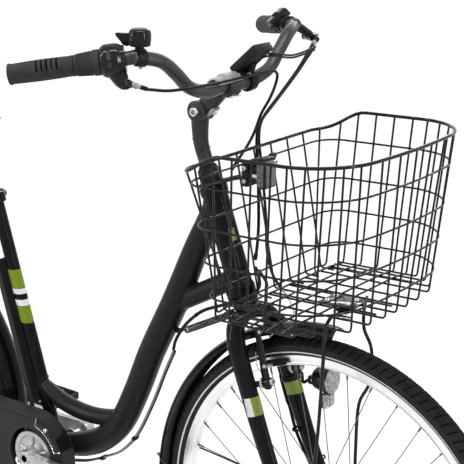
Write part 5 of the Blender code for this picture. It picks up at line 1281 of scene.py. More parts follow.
def make_chain():
    """Links of chain round both sprockets, inside the case."""
    shape = Shape()
    line = belt_outline(0.0768, 0.0384, 60)
    points = [Vector((x, -0.047, z)) for x, z in line]
    points.append(points[0])
    lengths = [(b - a).length for a, b in zip(points, points[1:])]
    links = 2 * round(sum(lengths) / 0.0127 / 2)
    step = sum(lengths) / links
    spots, run, index = [], 0.0, 0
    for k in range(links):
        while run + lengths[index] < k * step:
            run += lengths[index]
            index += 1
        share = (k * step - run) / lengths[index]
        spots.append(points[index].lerp(points[index + 1], share))
    for k, spot in enumerate(spots):
        ahead = spots[(k + 1) % links]
        along = (ahead - spot).normalized()
        turn = turn_matrix(along, ALONG_Y)
        width = 0.0030 if k % 2 else 0.0021
        for side in (1, -1):
            shape.box((spot + ahead) / 2 + ALONG_Y * side * width, (step + 0.0062, 0.0008, 0.0070),
                      turn, 0.0003, 1)
        shape.rod(spot - ALONG_Y * 0.0036, spot + ALONG_Y * 0.0036, 0.0020, 0, 8, 0.0002)
    shape.place("chain_links", "frame", M["steel"], slot="steel", replaces=["chain"])


def make_frame():
    top = seat_axis((0.672 - CRANK_Z) / sin(radians(SEAT_ANGLE))).z
    bands = [(0.568, 0.6010, GREEN), (0.6015, 0.6135, WHITE), (0.6250, 0.6355, WHITE), (0.6360, top, GREEN)]
    M["seat_bands"] = banded_paint("seat_tube_bands", bands, 0.50, 0.72)
    make_down_tube()
    make_head_tube()
    make_seat_tube()
    make_crank_shell()
    make_chain_stays()
    make_seat_stays()
    make_steering_spring()
    make_chain_case()
    make_chain()


# Fork and what it carries

FORK_HALF = [
    (0.000, 0.047, 0.0600, 0.0110, 0.0088), (0.045, 0.0285, 0.0598, 0.0115, 0.0092),
    (0.105, 0.0125, 0.0595, 0.0135, 0.0106), (0.200, 0.0065, BLADE_Y, 0.0160, 0.0120),
    (0.320, 0.0058, BLADE_Y, 0.0175, 0.0130), (0.363, 0.0056, 0.0560, 0.0175, 0.0135),
    (0.390, 0.0045, 0.0400, 0.0172, 0.0140)]
BAND_LOW, BAND_HIGH = 0.2335, 0.2658
BRAKE_PIVOT = (0.283, 0.036, 0.0430)
PAD_Y = 0.0170
LIGHT_CENTRE = (-0.066, 0.088, 0.583)
LIGHT_AXIS = Vector((1, 0, 0.05)).normalized()


def make_fork():
    knots = [(*steer(s, d, y), a, b) for s, d, y, a, b in FORK_HALF]
    knots.append((*steer(CROWN_S, 0.002, 0), 0.0170, 0.0145))
    knots += [(*steer(s, d, -y), a, b) for s, d, y, a, b in reversed(FORK_HALF)]
    shape = Shape()
    shape.swept(knots, 6, 36, STEER_FORWARD, dome=0.9)
    profile = [(0.0172, CROWN_S), (0.0205, CROWN_S + 0.0070), (0.0215, CROWN_S + 0.0140), (0.0160, 0.4185),
               (0.0145, LOWER_CUP_S), (0.0127, LOWER_CUP_S + 0.01), (0.0127, LOCKNUT_TOP_S - 0.001)]
    shape.turned(rounded_profile(profile, 0.0020, 3), steer(0), STEER_AXIS, 48, 0)
    shape.box(steer(CROWN_S + 0.0015, -0.020), (0.012, 0.005, 0.010),
              turn_matrix(STEER_FORWARD, ALONG_Y), 0.0012)
    s, d, y = BRAKE_PIVOT
    for side in (1, -1):
        shape.rod(steer(s, 0.012, side * (y + 0.009)), steer(s, d - 0.0120, side * y), 0.0055, 0, 24)
        shape.rod(at(0, side * 0.0515, WHEEL_RADIUS), at(0, side * 0.0690, WHEEL_RADIUS), 0.0125, 0, 36)
        for height in (0.035, 0.110):
            shape.ring(steer(height, 0.020, side * 0.0700), ALONG_Y, 0.0024, 0.0044, 0.0016, 0, 20, 0.0004)
    shape.place("fork_blades", "fork", M["gloss"], slot="black_paint", replaces=["fork"], sharp=44)
    make_fork_bands()


def blade_station(s):
    """Centre and half sizes of a fork blade at a height."""
    for one, two in zip(FORK_HALF, FORK_HALF[1:]):
        if one[0] <= s <= two[0]:
            t = (s - one[0]) / (two[0] - one[0])
            return [p + (q - p) * t for p, q in zip(one, two)]
    return list(FORK_HALF[-1])


def make_fork_bands():
    """Painted bands on the blades: all green on the left one, white behind and green ahead on the right."""
    shape = Shape()
    count, proud = 40, 0.00025
    for side in (1, -1):
        rings = []
        for level in range(5):
            s, d, y, a, b = blade_station(BAND_LOW + (BAND_HIGH - BAND_LOW) * level / 4)
            ring = []
            for k in range(count):
                angle = 2 * pi * k / count
                ring.append(shape.vert(steer(s, d + (a + proud) * cos(angle),
                                                     side * y + (b + proud) * sin(angle))))
            rings.append(ring)
        faces = shape.skin(rings, 0, caps=False)
        if side < 0:
            for i, face in enumerate(faces):
                angle = 2 * pi * ((i % count) + 0.5) / count
                if radians(140) < angle < radians(295):
                    face.material_index = 1
    shape.place("fork_bands", "fork", M["green"], M["white"], slot="black_paint")


def make_headset():
    shape = Shape()
    profile = [(0.0131, HEAD_TOP_S + GAP), (0.0222, HEAD_TOP_S + GAP), (0.0224, HEAD_TOP_S + 0.006),
               (0.0206, HEAD_TOP_S + 0.0075), (0.0206, LOCKNUT_BOTTOM_S)]
    shape.turned(rounded_profile(profile, 0.0008, 2), steer(0), STEER_AXIS, 48, 0)
    shape.turned([(0.0131, LOCKNUT_BOTTOM_S), (0.0194, LOCKNUT_BOTTOM_S), (0.0194, LOCKNUT_TOP_S - 0.004),
                  (0.0165, LOCKNUT_TOP_S), (0.0131, LOCKNUT_TOP_S)], steer(0), STEER_AXIS, 8, 0)
    shape.turned(rounded_profile([(0.0120, LOCKNUT_TOP_S - 0.002), (0.0168, LOCKNUT_TOP_S - 0.002),
                                  (0.0150, LOCKNUT_TOP_S + 0.004),
                                  (0.0110, LOCKNUT_TOP_S + 0.005)], 0.001, 2),
                 steer(0), STEER_AXIS, 40, 1)
    shape.place("headset_nuts", "fork", M["plastic"], M["rubber"], slot="black_plastic",
                replaces=["headset_upper"])


def make_basket_stay():
    knots = [(0.0, -0.0765, 0.3628), (0.008, -0.0765, 0.430), (0.022, -0.0760, 0.560),
             (0.030, -0.0755, 0.700), (0.031, -0.0740, 0.745), (0.031, -0.062, 0.7615),
             (0.031, -0.045, 0.764), (0.031, 0.0, 0.764),
             (0.029, 0.045, 0.764), (0.020, 0.066, 0.760), (0.010, 0.0755, 0.735), (0.010, 0.0765, 0.700),
             (0.026, 0.0765, 0.665), (0.024, 0.0765, 0.605), (0.004, 0.0765, 0.560), (0.0, 0.0765, 0.480),
             (0.0, 0.0765, 0.3628)]
    shape = Shape()
    shape.tube(smooth_path([at(*k) for k in knots], 5), 0.0030, 16, (1, 0, 0), dome=0.6)
    for side in (1, -1):
        shape.ring(at(0, side * 0.0765, 0.3555), ALONG_Y, 0.0060, 0.0098, 0.0016, 0, 32)
    shape.box(at(0.031, 0.0, 0.7655), (0.022, 0.060, 0.0024), None, 0.0008, 2, 0)
    for y in (-0.018, 0.018):
        shape.screw(at(0.031, y, 0.7640), -UP, 0.0036, 1)
    shape.place("basket_stay_rod", "fork", M["wire"], M["steel"], slot="coated_wire",
                replaces=["basket_stay"])


def make_brake_arm(side, label):
    """Brake arm with its boss, bolt, spring, pad and cable anchor."""
    s, d, y = BRAKE_PIVOT
    shape = Shape()
    knots = [(s - 0.009, 0.0, y, 0.0076, 0.0042), (s + 0.010, 0.0010, y - 0.0005, 0.0080, 0.0042),
             (s + 0.030, 0.0020, y - 0.0016, 0.0074, 0.0042), (s + 0.060, 0.0040, 0.0385, 0.0066, 0.0040),
             (s + 0.080, 0.0042, 0.0376, 0.0060, 0.0038), (s + 0.092, 0.0040, 0.0372, 0.0058, 0.0038)]
    shape.swept([(*steer(h, d + e, side * w), a, b) for h, e, w, a, b in knots], 4, 20,
                STEER_FORWARD, dome=0.9)
    shape.rod(steer(s, d - 0.0108, side * y), steer(s, d + 0.0110, side * y), 0.0078, 0, 32, 0.0012)
    shape.screw(steer(s, d + 0.0108, side * y), STEER_FORWARD, 0.0060, 1)
    turn = turn_matrix(STEER_FORWARD, ALONG_Y)
    pad = steer(0.3090, d + 0.005, side * PAD_Y)
    shape.box(pad, (0.052, 0.0080, 0.0110), turn, 0.0020, 3, 2)
    for share in (-0.016, -0.005, 0.006, 0.017):
        shape.box(pad + STEER_FORWARD * share - ALONG_Y * side * 0.0036, (0.0072, 0.0014, 0.0094), turn,
                  0.0004, 1, 2)
    shape.rod(pad + ALONG_Y * side * 0.003, steer(0.3110, d + 0.004, side * 0.0445), 0.0032, 1, 20)
    shape.nut(steer(0.3110, d + 0.004, side * 0.0405), ALONG_Y * side, 0.0050, 0.0034, 1)
    coil = []
    for k in range(41):
        a = 2 * pi * k / 10
        coil.append(steer(s, d - 0.0100 + 0.0052 * k / 40,
                          side * y) + (STEER_AXIS * sin(a) + ALONG_Y * cos(a))
                    * 0.0090)
    shape.tube(coil, 0.0006, 6, mat=1, dome=0.6)
    wire = [coil[-1], steer(s + 0.030, d - 0.0065, side * (y + 0.0045)), steer(s + 0.054, d - 0.0050,
                                                                             side * (y + 0.0010))]
    shape.tube(smooth_path(wire, 5), 0.0007, 6, mat=1, dome=0.6)
    shape.screw(steer(s + 0.086, d + 0.0098, side * 0.0374), STEER_FORWARD, 0.0040, 1)
    shape.place(f"brake_arm_{label}_set", f"brake_arm_{label}", M["shiny"], M["steel"], M["rubber"],
                slot="black_plastic", replaces=[f"brake_arm_{label}"])


def make_brake_noodle():
    """Bent guide tube that carries the brake cable across to the arms, with its rubber boot."""
    shape = Shape()
    knots = [(-0.130, 0.034, 0.750), (-0.118, 0.037, 0.738), (-0.110, 0.040, 0.720), (-0.104, 0.036, 0.706),
             (-0.101, 0.0260, 0.700), (-0.100, 0.0120, 0.700)]
    path = smooth_path([at(*k) for k in knots], 6)
    shape.tube(path, 0.0019, 14, dome=0.5)
    boot = [at(-0.100, 0.0125 - 0.0045 * k, 0.700 - 0.0001 * k) for k in range(7)]
    shape.tube(boot, [0.0038 if k % 2 else 0.0030 for k in range(7)], 16, mat=1)
    shape.tube([at(-0.100, -0.0140, 0.6995), at(-0.100, -0.0372, 0.6965)], 0.0008, 8, mat=0, dome=0.5)
    shape.place("brake_noodle", "fork", M["chrome"], M["rubber"], slot="steel")


def make_headlight():
    """Round lamp with a mirror, a chip and a ribbed lens, and a clear reflector hung beneath it."""
    centre = at(*LIGHT_CENTRE)
    shape = Shape()
    profile = [(0, -0.0318), (0.0085, -0.0312), (0.0150, -0.0280), (0.0196, -0.0215), (0.0222, -0.0120),
               (0.0234, -0.0040), (0.0240, 0.0010), (0.0245, 0.0060), (0.0238, 0.0066), (0.0228, 0.0062)]
    shape.turned(rounded_profile(profile, 0.0010, 2), centre, LIGHT_AXIS, 64, 0)
    for k in range(4):
        shape.ring(centre - LIGHT_AXIS * (0.0225 - 0.0035 * k), LIGHT_AXIS, 0.0150, 0.0196 + 0.0009 * k,
                   0.0006, 0, 56, 0.0003)
    x, y, z = LIGHT_CENTRE
    shape.box(at(x - 0.029, y - 0.0085, z - 0.004), (0.013, 0.0115, 0.0155), None, 0.0022, 3, 0)
    shape.screw(at(x - 0.024, y - 0.0145, z - 0.002), -ALONG_Y, 0.0036, 1)
    shape.box(at(x - 0.0045, y, z - 0.0365), (0.0026, 0.0300, 0.0270), None, 0.0010, 2, 0)
    shape.box(at(x - 0.001, y, z - 0.0245), (0.012, 0.012, 0.006), None, 0.0012, 2, 0)
    shape.place("headlight_shell", "headlight", M["shiny"], M["steel"], slot="black_plastic",
                replaces=["headlight"])
    shape = Shape()
    bowl = []
    for k in range(13):
        share = k / 12
        bowl.append((0.0030 + 0.0190 * share, -0.0150 + 0.0185 * share * share))
    bowl.append((0.0226, 0.0050))
    shape.turned(bowl, centre, LIGHT_AXIS, 48, 0)
    for r, h in ((0.0075, -0.0118), (0.0125, -0.0080), (0.0175, -0.0022)):
        shape.ring(centre + LIGHT_AXIS * h, LIGHT_AXIS, r - 0.0011, r + 0.0011, 0.0010, 0, 56, 0.0004)
    facet_count = 16
    for k in range(facet_count):
        a = 2 * pi * k / facet_count
        out = across(LIGHT_AXIS) * cos(a) + LIGHT_AXIS.cross(across(LIGHT_AXIS)) * sin(a)
        shape.tube([centre + out * 0.0060 - LIGHT_AXIS * 0.0132, centre + out * 0.0140 - LIGHT_AXIS * 0.0070,
                    centre + out * 0.0212 + LIGHT_AXIS * 0.0022], 0.0007, 8, mat=0, dome=0.5)
    shape.turned([(0, -0.0102), (0.0026, -0.0106), (0.0034, -0.0150), (0, -0.0150)], centre,
                 LIGHT_AXIS, 20, 1)
    shape.place("headlight_mirror", "headlight", M["mirror"], M["amber"], flip=False)
    shape = Shape()
    lens = [(0.0222, 0.0050), (0.0234, 0.0064), (0.0236, 0.0086), (0.0200, 0.0104), (0.0150, 0.0117),
            (0.0080, 0.0125), (0, 0.0128)]
    shape.turned(lens, centre, LIGHT_AXIS, 64, 0)
    for r, h in ((0.0060, 0.0128), (0.0105, 0.0123), (0.0150, 0.0116), (0.0195, 0.0104)):
        shape.ring(centre + LIGHT_AXIS * (h - 0.0004), LIGHT_AXIS, r - 0.0009, r + 0.0009, 0.0007, 1,
                   56, 0.0003)
    back = [(r * 0.94, h - 0.0016) for r, h in lens]
    shape.turned(back, centre, LIGHT_AXIS, 64, 0)
    shape.place("headlight_lens_glass", "headlight", M["clear"], M["prism"], slot="clear_lens",
                replaces=["headlight_lens"])
    shape = Shape()
    for row in range(3):
        for column in range(3):
            spot = at(x + 0.0005, y - 0.0092 + 0.0092 * column, z - 0.0466 + 0.0085 * row)
            shape.box(spot, (0.0072, 0.0088, 0.0081), None, 0.0009, 2, 0)
    shape.place("front_reflector", "headlight", M["prism"])


def make_light_bracket():
    """Wire arm that carries the lamp from the fork's left blade."""
    shape = Shape()
    x, y, z = LIGHT_CENTRE
    knots = [steer(0.262, 0.004, 0.0735), steer(0.264, 0.018, 0.0755), at(x - 0.046, y - 0.0120, z - 0.012),
             at(x - 0.036, y - 0.0085, z - 0.005)]
    shape.tube(smooth_path(knots, 6), 0.0028, 14, dome=0.6)
    shape.ring(steer(0.262, 0.0062, 0.059), STEER_AXIS, 0.0150, 0.0178, 0.0045, 0, 40, 0.0012)
    shape.screw(steer(0.262, 0.0220, 0.0640), STEER_FORWARD, 0.0032, 1)
    shape.place("headlight_bracket", "fork", M["plastic"], M["steel"])


def make_fork_parts():
    make_fork()
    make_headset()
    make_basket_stay()
    make_brake_arm(1, "left")
    make_brake_arm(-1, "right")
    make_brake_noodle()
    make_headlight()
    make_light_bracket()


# Basket

BASKET_TILT = 0.0326
BASKET_HOOPS = (0.8066, 0.863, 0.9203, 0.9875)
BASKET_FLOOR_Z = 0.774
BASKET_RIM_Z = 1.0395
REAR_DROP = 0.033
REAR_CORNER = 0.042
FRONT_CORNER = 0.0885
BULGE = 0.0203
WIRE = 0.0018
RIM_WIRE = 0.0029
FRONT_STEP, CORNER_STEP, SIDE_STEP, REAR_STEP = 0.046, 0.0283, 0.036, 0.047
FLOOR_BEND = 0.006
FRONT_RODS, CORNER_ROD = 7, 13


def basket_plan(z):
    """Rear and front positions and half width of the basket at a height."""
    t = 0.95 - z
    return -0.1518 + 0.1653 * t, 0.1139 - 0.096 * t, 0.1987 - 0.0467 * t


def half_loop(z):
    """Points from the middle of the front round one side to the middle of the rear."""
    rear, front, half = basket_plan(z)
    points = [(front, y * (half - FRONT_CORNER) / 10) for y in range(10)]
    points += arc_points(front - FRONT_CORNER, half - FRONT_CORNER, FRONT_CORNER, 0, pi / 2, 16)
    first, last = front - FRONT_CORNER, rear + REAR_CORNER
    points += [(first + (last - first) * k / 12, half) for k in range(1, 12)]
    points += arc_points(rear + REAR_CORNER, half - REAR_CORNER, REAR_CORNER, pi / 2, pi / 2, 10)
    points += [(rear, (half - REAR_CORNER) * (1 - k / 10)) for k in range(1, 11)]
    middle = (rear + front) / 2
    return [(x + (BULGE * (1 - (y / half) ** 2) if x > middle else 0.0), y) for x, y in points]


def basket_height(x, z, rim=False):
    """Height of a hoop at x: the whole basket leans a little, and the rim dips behind."""
    if rim:
        rear = basket_plan(BASKET_RIM_Z)[0]
        dip = min(1.0, max(0.0, (rear + 0.088 - x) / 0.085))
        z -= REAR_DROP * dip * dip * (3 - 2 * dip)
    return z + BASKET_TILT * x


def along_loop(points, distance):
    """Point a distance along a line of (x, y) points."""
    for (x0, y0), (x1, y1) in zip(points, points[1:]):
        step = hypot(x1 - x0, y1 - y0)
        if distance <= step:
            share = distance / step
            return x0 + (x1 - x0) * share, y0 + (y1 - y0) * share
        distance -= step
    return points[-1]


def loop_length(points):
    return sum(hypot(b[0] - a[0], b[1] - a[1]) for a, b in zip(points, points[1:]))


def rod_distances():
    """Distances of the upright wires along the rim, from the middle of its front."""
    total = loop_length(half_loop(BASKET_RIM_Z))
    distances = [0.0]
    for step, count in ((FRONT_STEP, 3), (CORNER_STEP, 5), (SIDE_STEP, 4), (0.038, 1)):
        distances += [distances[-1] + step * (k + 1) for k in range(count)]
    distances += [total - REAR_STEP * k for k in (3, 2, 1, 0)]
    return distances


def upright(distance, side):
    """Points of one upright wire, from the rim down to the bend into the floor."""
    rim, low = half_loop(BASKET_RIM_Z), half_loop(BASKET_FLOOR_Z)
    share = min(1.0, distance / 0.22)
    if distance > loop_length(rim) - 3.5 * REAR_STEP:
        below = loop_length(low) - (loop_length(rim) - distance) * 0.98
    else:
        below = distance * (0.70 + 0.235 * share * share * (3 - 2 * share))
    top_x, top_y = along_loop(rim, distance)
    low_x, low_y = along_loop(low, below)
    top_z = basket_height(top_x, BASKET_RIM_Z, True)
    low_z = basket_height(low_x, BASKET_FLOOR_Z)
    points = []
    for k in range(9):
        s = k / 8
        x, y = top_x + (low_x - top_x) * s, top_y + (low_y - top_y) * s
        points.append((x, side * y, top_z + (low_z + FLOOR_BEND - top_z) * s))
    return points


def bend_under(point, target):
    """Quarter turn from an upright's foot towards a point of the floor."""
    x, y, z = point
    floor_z = basket_height(x, BASKET_FLOOR_Z) - 2 * WIRE
    dx, dy = target[0] - x, target[1] - y
    reach = hypot(dx, dy)
    dx, dy = dx / reach, dy / reach
    points = []
    for k in range(1, 6):
        a = pi / 2 * k / 5
        run = FLOOR_BEND * (1 - cos(a))
        points.append((x + dx * run, y + dy * run, z - (z - floor_z) * sin(a)))
    return points


def make_basket():
    shape = Shape()
    for z in (*BASKET_HOOPS, BASKET_RIM_Z):
        rim = z == BASKET_RIM_Z
        half = half_loop(z)
        ring = half + [(x, -y) for x, y in reversed(half[1:-1])]
        points = [at(x, y, basket_height(x, z, rim)) for x, y in ring]
        shape.tube(points, RIM_WIRE if rim else WIRE, 14 if rim else 10, UP, 0, closed=True, fixed=True)
    distances = rod_distances()
    low_rear = basket_plan(BASKET_FLOOR_Z)[0]
    for index, distance in enumerate(distances):
        sides = (1,) if index in (0, len(distances) - 1) else (1, -1)
        for side in sides:
            points = upright(distance, side)
            x, y, z = points[-1]
            if index == CORNER_ROD:
                target = (x * 0.72 - 0.006, y * 0.72)
            elif index < FRONT_RODS:
                target = (low_rear, y)
            elif index > CORNER_ROD:
                target = (0.0, y)
            else:
                target = (x, 0.0)
            points += bend_under(points[-1], target)
            x, y, z = points[-1]
            if index < FRONT_RODS:
                rear_z = basket_height(low_rear, BASKET_FLOOR_Z) - 2 * WIRE
                ends = [(x + (low_rear + 0.012 - x) * k / 6, y,
                         z + (rear_z - z) * k / 6) for k in range(1, 7)]
            elif index == CORNER_ROD:
                run = hypot(target[0] - x, target[1] - y)
                ends = [(x + (target[0] - x) * 0.030 / run * k / 3,
                         y + (target[1] - y) * 0.030 / run * k / 3, z)
                        for k in range(1, 4)]
            elif index > CORNER_ROD:
                ends = [(x + 0.022 * k / 2, y, z) for k in range(1, 3)]
            else:
                ends = [(x, y * (1 - k / 5), z + 2 * WIRE) for k in range(1, 6)]
            shape.tube([at(*p) for p in points + ends], WIRE, 10, (0.3, 0.2, 1), dome=0.8)
    make_floor_wires(shape)
    shape.place("basket_wires", "fork", M["wire"], slot="coated_wire", replaces=["basket"], sharp=50)
    make_floor_plates()


def make_floor_wires(shape):
    """Closer grid of wires in the middle of the floor."""
    rear, front, half = basket_plan(BASKET_FLOOR_Z)
    for x in (-0.092, -0.064, 0.0020, 0.0355, 0.0600):
        z = basket_height(x, BASKET_FLOOR_Z)
        shape.tube([at(x, -half + 0.004, z), at(x, 0, z), at(x, half - 0.004, z)], WIRE, 8, dome=0.8)
    for y in (-0.150, -0.024, 0.024, 0.150):
        reach = front - (0.004 if abs(y) < 0.1 else 0.030)
        points = [at(x, y, basket_height(x, BASKET_FLOOR_Z) - 2 * WIRE) for x in (rear + 0.012, 0, reach)]
        shape.tube(points, WIRE, 8, UP, dome=0.8)


def make_floor_plates():
    """Pressed plates over and under the floor wires, with their screws."""
    shape = Shape()
    low = basket_height(0.024, BASKET_FLOOR_Z) + WIRE + 0.0008
    centre = at(0.024, -0.0155, low)
    tilt = turn_matrix((1, 0, BASKET_TILT), ALONG_Y)
    shape.box(centre, (0.066, 0.050, 0.0016), tilt, 0.0006, 2, 0)
    for dx in (-0.020, 0.020):
        shape.box(centre + tilt @ Vector((dx, 0, 0.0012)), (0.010, 0.046, 0.0014), tilt, 0.0005, 2, 0)
    for dx, dy in ((-0.020, -0.013), (-0.020, 0.013), (0.020, -0.013), (0.020, 0.013)):
        shape.screw(centre + tilt @ Vector((dx, dy, 0.0018)), UP, 0.0040, 1)
    near = at(0.050, -0.0600, basket_height(0.050, BASKET_FLOOR_Z) - 3 * WIRE - 0.0010)
    shape.box(near, (0.036, 0.020, 0.0016), tilt, 0.0006, 2, 0)
    for dx in (-0.011, 0.011):
        shape.screw(near + Vector((dx, 0, 0.0006)), -UP, 0.0034, 1)
        shape.screw(near + Vector((dx, 0, 0.0080)), UP, 0.0030, 1, socket=False)
    shape.place("basket_floor_plates", "fork", M["wire"], M["steel"])


def make_basket_bracket():
    shape = Shape()
    shape.ring(steer(0.6287), STEER_AXIS, 0.0229, 0.0268, 0.0035, 0, 56, 0.0006)
    shape.box(at(-0.1695, -0.004, 0.959), (0.0126, 0.036, 0.042), None, 0.0022, 3, 1)
    shape.box(at(-0.1372, -0.004, 0.964), (0.0160, 0.034, 0.052), None, 0.0030, 3, 1)
    shape.box(at(-0.1380, -0.0208, 0.964), (0.0130, 0.0016, 0.044), None, 0.0006, 2, 3)
    shape.box(at(-0.1380, -0.0214, 0.9585), (0.0090, 0.0012, 0.0016), None, 0.0004, 2, 1)
    shape.box(at(-0.1380, -0.0214, 0.9500), (0.0110, 0.0010, 0.0014), None, 0.0004, 2, 1)
    shape.box(at(-0.1280, -0.004, 0.964), (0.0034, 0.027, 0.044), None, 0.0014, 2, 3)
    shape.box(at(-0.1520, -0.004, 0.968), (0.024, 0.022, 0.008), None, 0.0015, 2, 1)
    shape.rod(at(-0.172, -0.0115, 0.957), at(-0.142, -0.0115, 0.957), 0.0044, 2, 24)
    shape.nut(at(-0.1758, -0.0115, 0.957), (-1, 0, 0), 0.0062, 0.0042, 2)
    shape.screw(at(-0.1264, 0.0050, 0.982), (1, 0, 0), 0.0040, 2)
    for side in (1, -1):
        knots = [steer(0.6287, -0.012, side * 0.0232), steer(0.6287, 0.008, side * 0.0250),
                 at(-0.215, side * 0.024 - 0.002, 0.940), at(-0.190, side * 0.0165 - 0.003, 0.9485),
                 at(-0.173, side * 0.0125 - 0.004, 0.952)]
        shape.tube(smooth_path(knots, 5), 0.0029, 14, dome=0.6)
    for side in (1, -1):
        shape.ring(at(-0.1420, -0.004 + side * 0.0235, 0.9875), ALONG_Y, 0.0020, 0.0048, 0.0060, 1, 24)
    shape.screw(at(-0.1690, -0.0222, 0.9700), (0, -1, 0), 0.0042, 2)
    shape.screw(at(-0.1690, -0.0222, 0.9480), (0, -1, 0), 0.0036, 2)
    shape.place("basket_bracket_set", "fork", M["wire"], M["plastic"], M["steel"], M["plate"],
                slot="coated_wire", replaces=["basket_bracket"])


# Handlebar and its controls

BAR_HALF = [
    (-0.221, 0.0, 1.100, 0.0127), (-0.221, 0.026, 1.100, 0.0127), (-0.219, 0.060, 1.0985, 0.0120),
    (-0.215, 0.108, 1.113, 0.0111), (-0.2165, 0.138, 1.139, 0.0111), (-0.221, 0.170, 1.163, 0.0111)]
STEM_PIVOT = (-0.277, 0.0, 1.050)
BAR_CENTRE = (-0.221, 0.0, 1.100)
GRIP_RIGHT, GRIP_LEFT = 0.1040, 0.1240
TWIST_START, TWIST_END = 0.1045, 0.1455
HOUSING_START, HOUSING_END = 0.1460, 0.1840
SHIFT_EXIT = (-0.232, -0.213, 1.129)
DISPLAY_CENTRE = (-0.2100, 0.0510, 1.1385)
DISPLAY_TILT = 41.0
DISPLAY_SIZE = (0.066, 0.046, 0.015)
LEVER_PIVOT = (-0.2180, 0.2480, 1.1480)
LEVER_CLAMP = 0.1670
BELL_SEGMENT = 11


def bar_half_path(steps):
    """Left half of the bar with its radii, from the clamp to the tip."""
    knots = [(*at(*p[:3]), p[3]) for p in BAR_HALF]
    knots.append((*at(*BAR_KNEE), BAR_RADIUS))
    knots += [(*bar_point(0.186), BAR_RADIUS), (*bar_point(0.0045), BAR_RADIUS)]
    return smooth_path(knots, steps)


def make_handlebar():
    left = bar_half_path(8)
    right = [Vector((p[0], -p[1], p[2], p[3])) for p in reversed(left[1:])]
    path = right + left
    shape = Shape()
    shape.tube(path, [p[3] for p in path], 36, (1, 0, 0))
    shape.place("handlebar_tube", "bars", M["bar"], slot="bar_coating", replaces=["handlebar"], sharp=50)


GRIP_FLANGE = [(0.0, 0.0095), (0.0006, 0.0136), (0.0016, 0.0160), (0.0030, 0.0166), (0.0052, 0.0166),
               (0.0066, 0.0160), (0.0080, 0.0155)]
SLOT_COUNT, SLOT_FIRST, SLOT_STEP, SLOT_HALF = 5, 0.047, 0.0079, 0.0011


def grip_radius(h, length):
    """Radius of a grip at a distance from its tip: an end flange, a gentle swell and a rolled inner edge."""
    for (h0, r0), (h1, r1) in zip(GRIP_FLANGE, GRIP_FLANGE[1:]):
        if h <= h1:
            return r0 + (r1 - r0) * (h - h0) / (h1 - h0)
    swell = sin(pi * (h - 0.008) / (length - 0.008))
    edge = 0.0006 if h > length - 0.0045 else 0.0
    return 0.0157 + 0.0010 * swell + edge


def make_grip(side, length, label, key):
    """Smooth grip with a flange at its tip and short slots across its upper front."""
    shape = Shape()
    base, along = bar_point(0.0009, side), bar_direction(side)
    up = (UP - UP.dot(along) * along).normalized()
    ahead = along.cross(up)
    ahead = ahead if ahead.x > 0 else -ahead
    count, steps = 64, 176
    rings = []
    for n in range(steps + 1):
        h = (length - 0.0012) * n / steps
        slot = any(abs(h - SLOT_FIRST - SLOT_STEP * s) < SLOT_HALF for s in range(SLOT_COUNT))
        ring = []
        for k in range(count):
            a = 2 * pi * k / count
            cut = 0.0014 if slot and radians(8) < a < radians(88) else 0.0
            reach = grip_radius(h, length) - cut
            ring.append(shape.vert(base + along * h + (up * cos(a) + ahead * sin(a)) * reach))
        rings.append(ring)
    faces = shape.skin(rings)
    # Faces in the slots take the near-black groove material: painted shade in the slots.
    for face in faces[:steps * count]:
        spot = face.calc_center_median() - base
        depth = grip_radius(spot.dot(along), length) - (spot - spot.dot(along) * along).length
        if depth > 0.0007:
            face.material_index = 1
    shape.ring(base - along * 0.0003, along, 0.0020, 0.0078, 0.0004, 1, 40, 0.0002)
    shape.place(f"grip_{label}_rubber", "bars", M[key], M["groove"], slot="rubber",
                replaces=[f"grip_{label}"])


def make_shifter():
    """Ribbed cone that twists, with a plain collar at its wide end."""
    base, along = bar_point(0, -1), bar_direction(-1)
    shape = Shape()
    length = TWIST_END - TWIST_START
    profile = [(0.0116, 0.0), (0.0158, 0.0), (0.0164, 0.0012), (0.0170, 0.0100), (0.0186, length - 0.0125),
               (0.0186, length - 0.0118), (0.0202, length - 0.0108), (0.0203, length - 0.0006),
               (0.0116, length)]
    shape.turned(rounded_profile(profile, 0.0008, 3), base + along * TWIST_START, along, 64, 0)
    turn = turn_matrix(along, along.cross(UP))
    ribs = 40
    for k in range(ribs):
        a = 2 * pi * k / ribs
        out = turn @ Vector((0, sin(a), cos(a)))
        low = base + along * (TWIST_START + 0.0050) + out * 0.0166
        high = base + along * (TWIST_END - 0.0140) + out * 0.0184
        shape.tube([low, (low + high) / 2, high], 0.0007, 8, out.cross(along), dome=0.8)
    shape.place("shifter_twist_sleeve", "shifter_twist", M["grip"], slot="rubber", replaces=["shifter_twist"])
    make_shifter_housing(base, along)


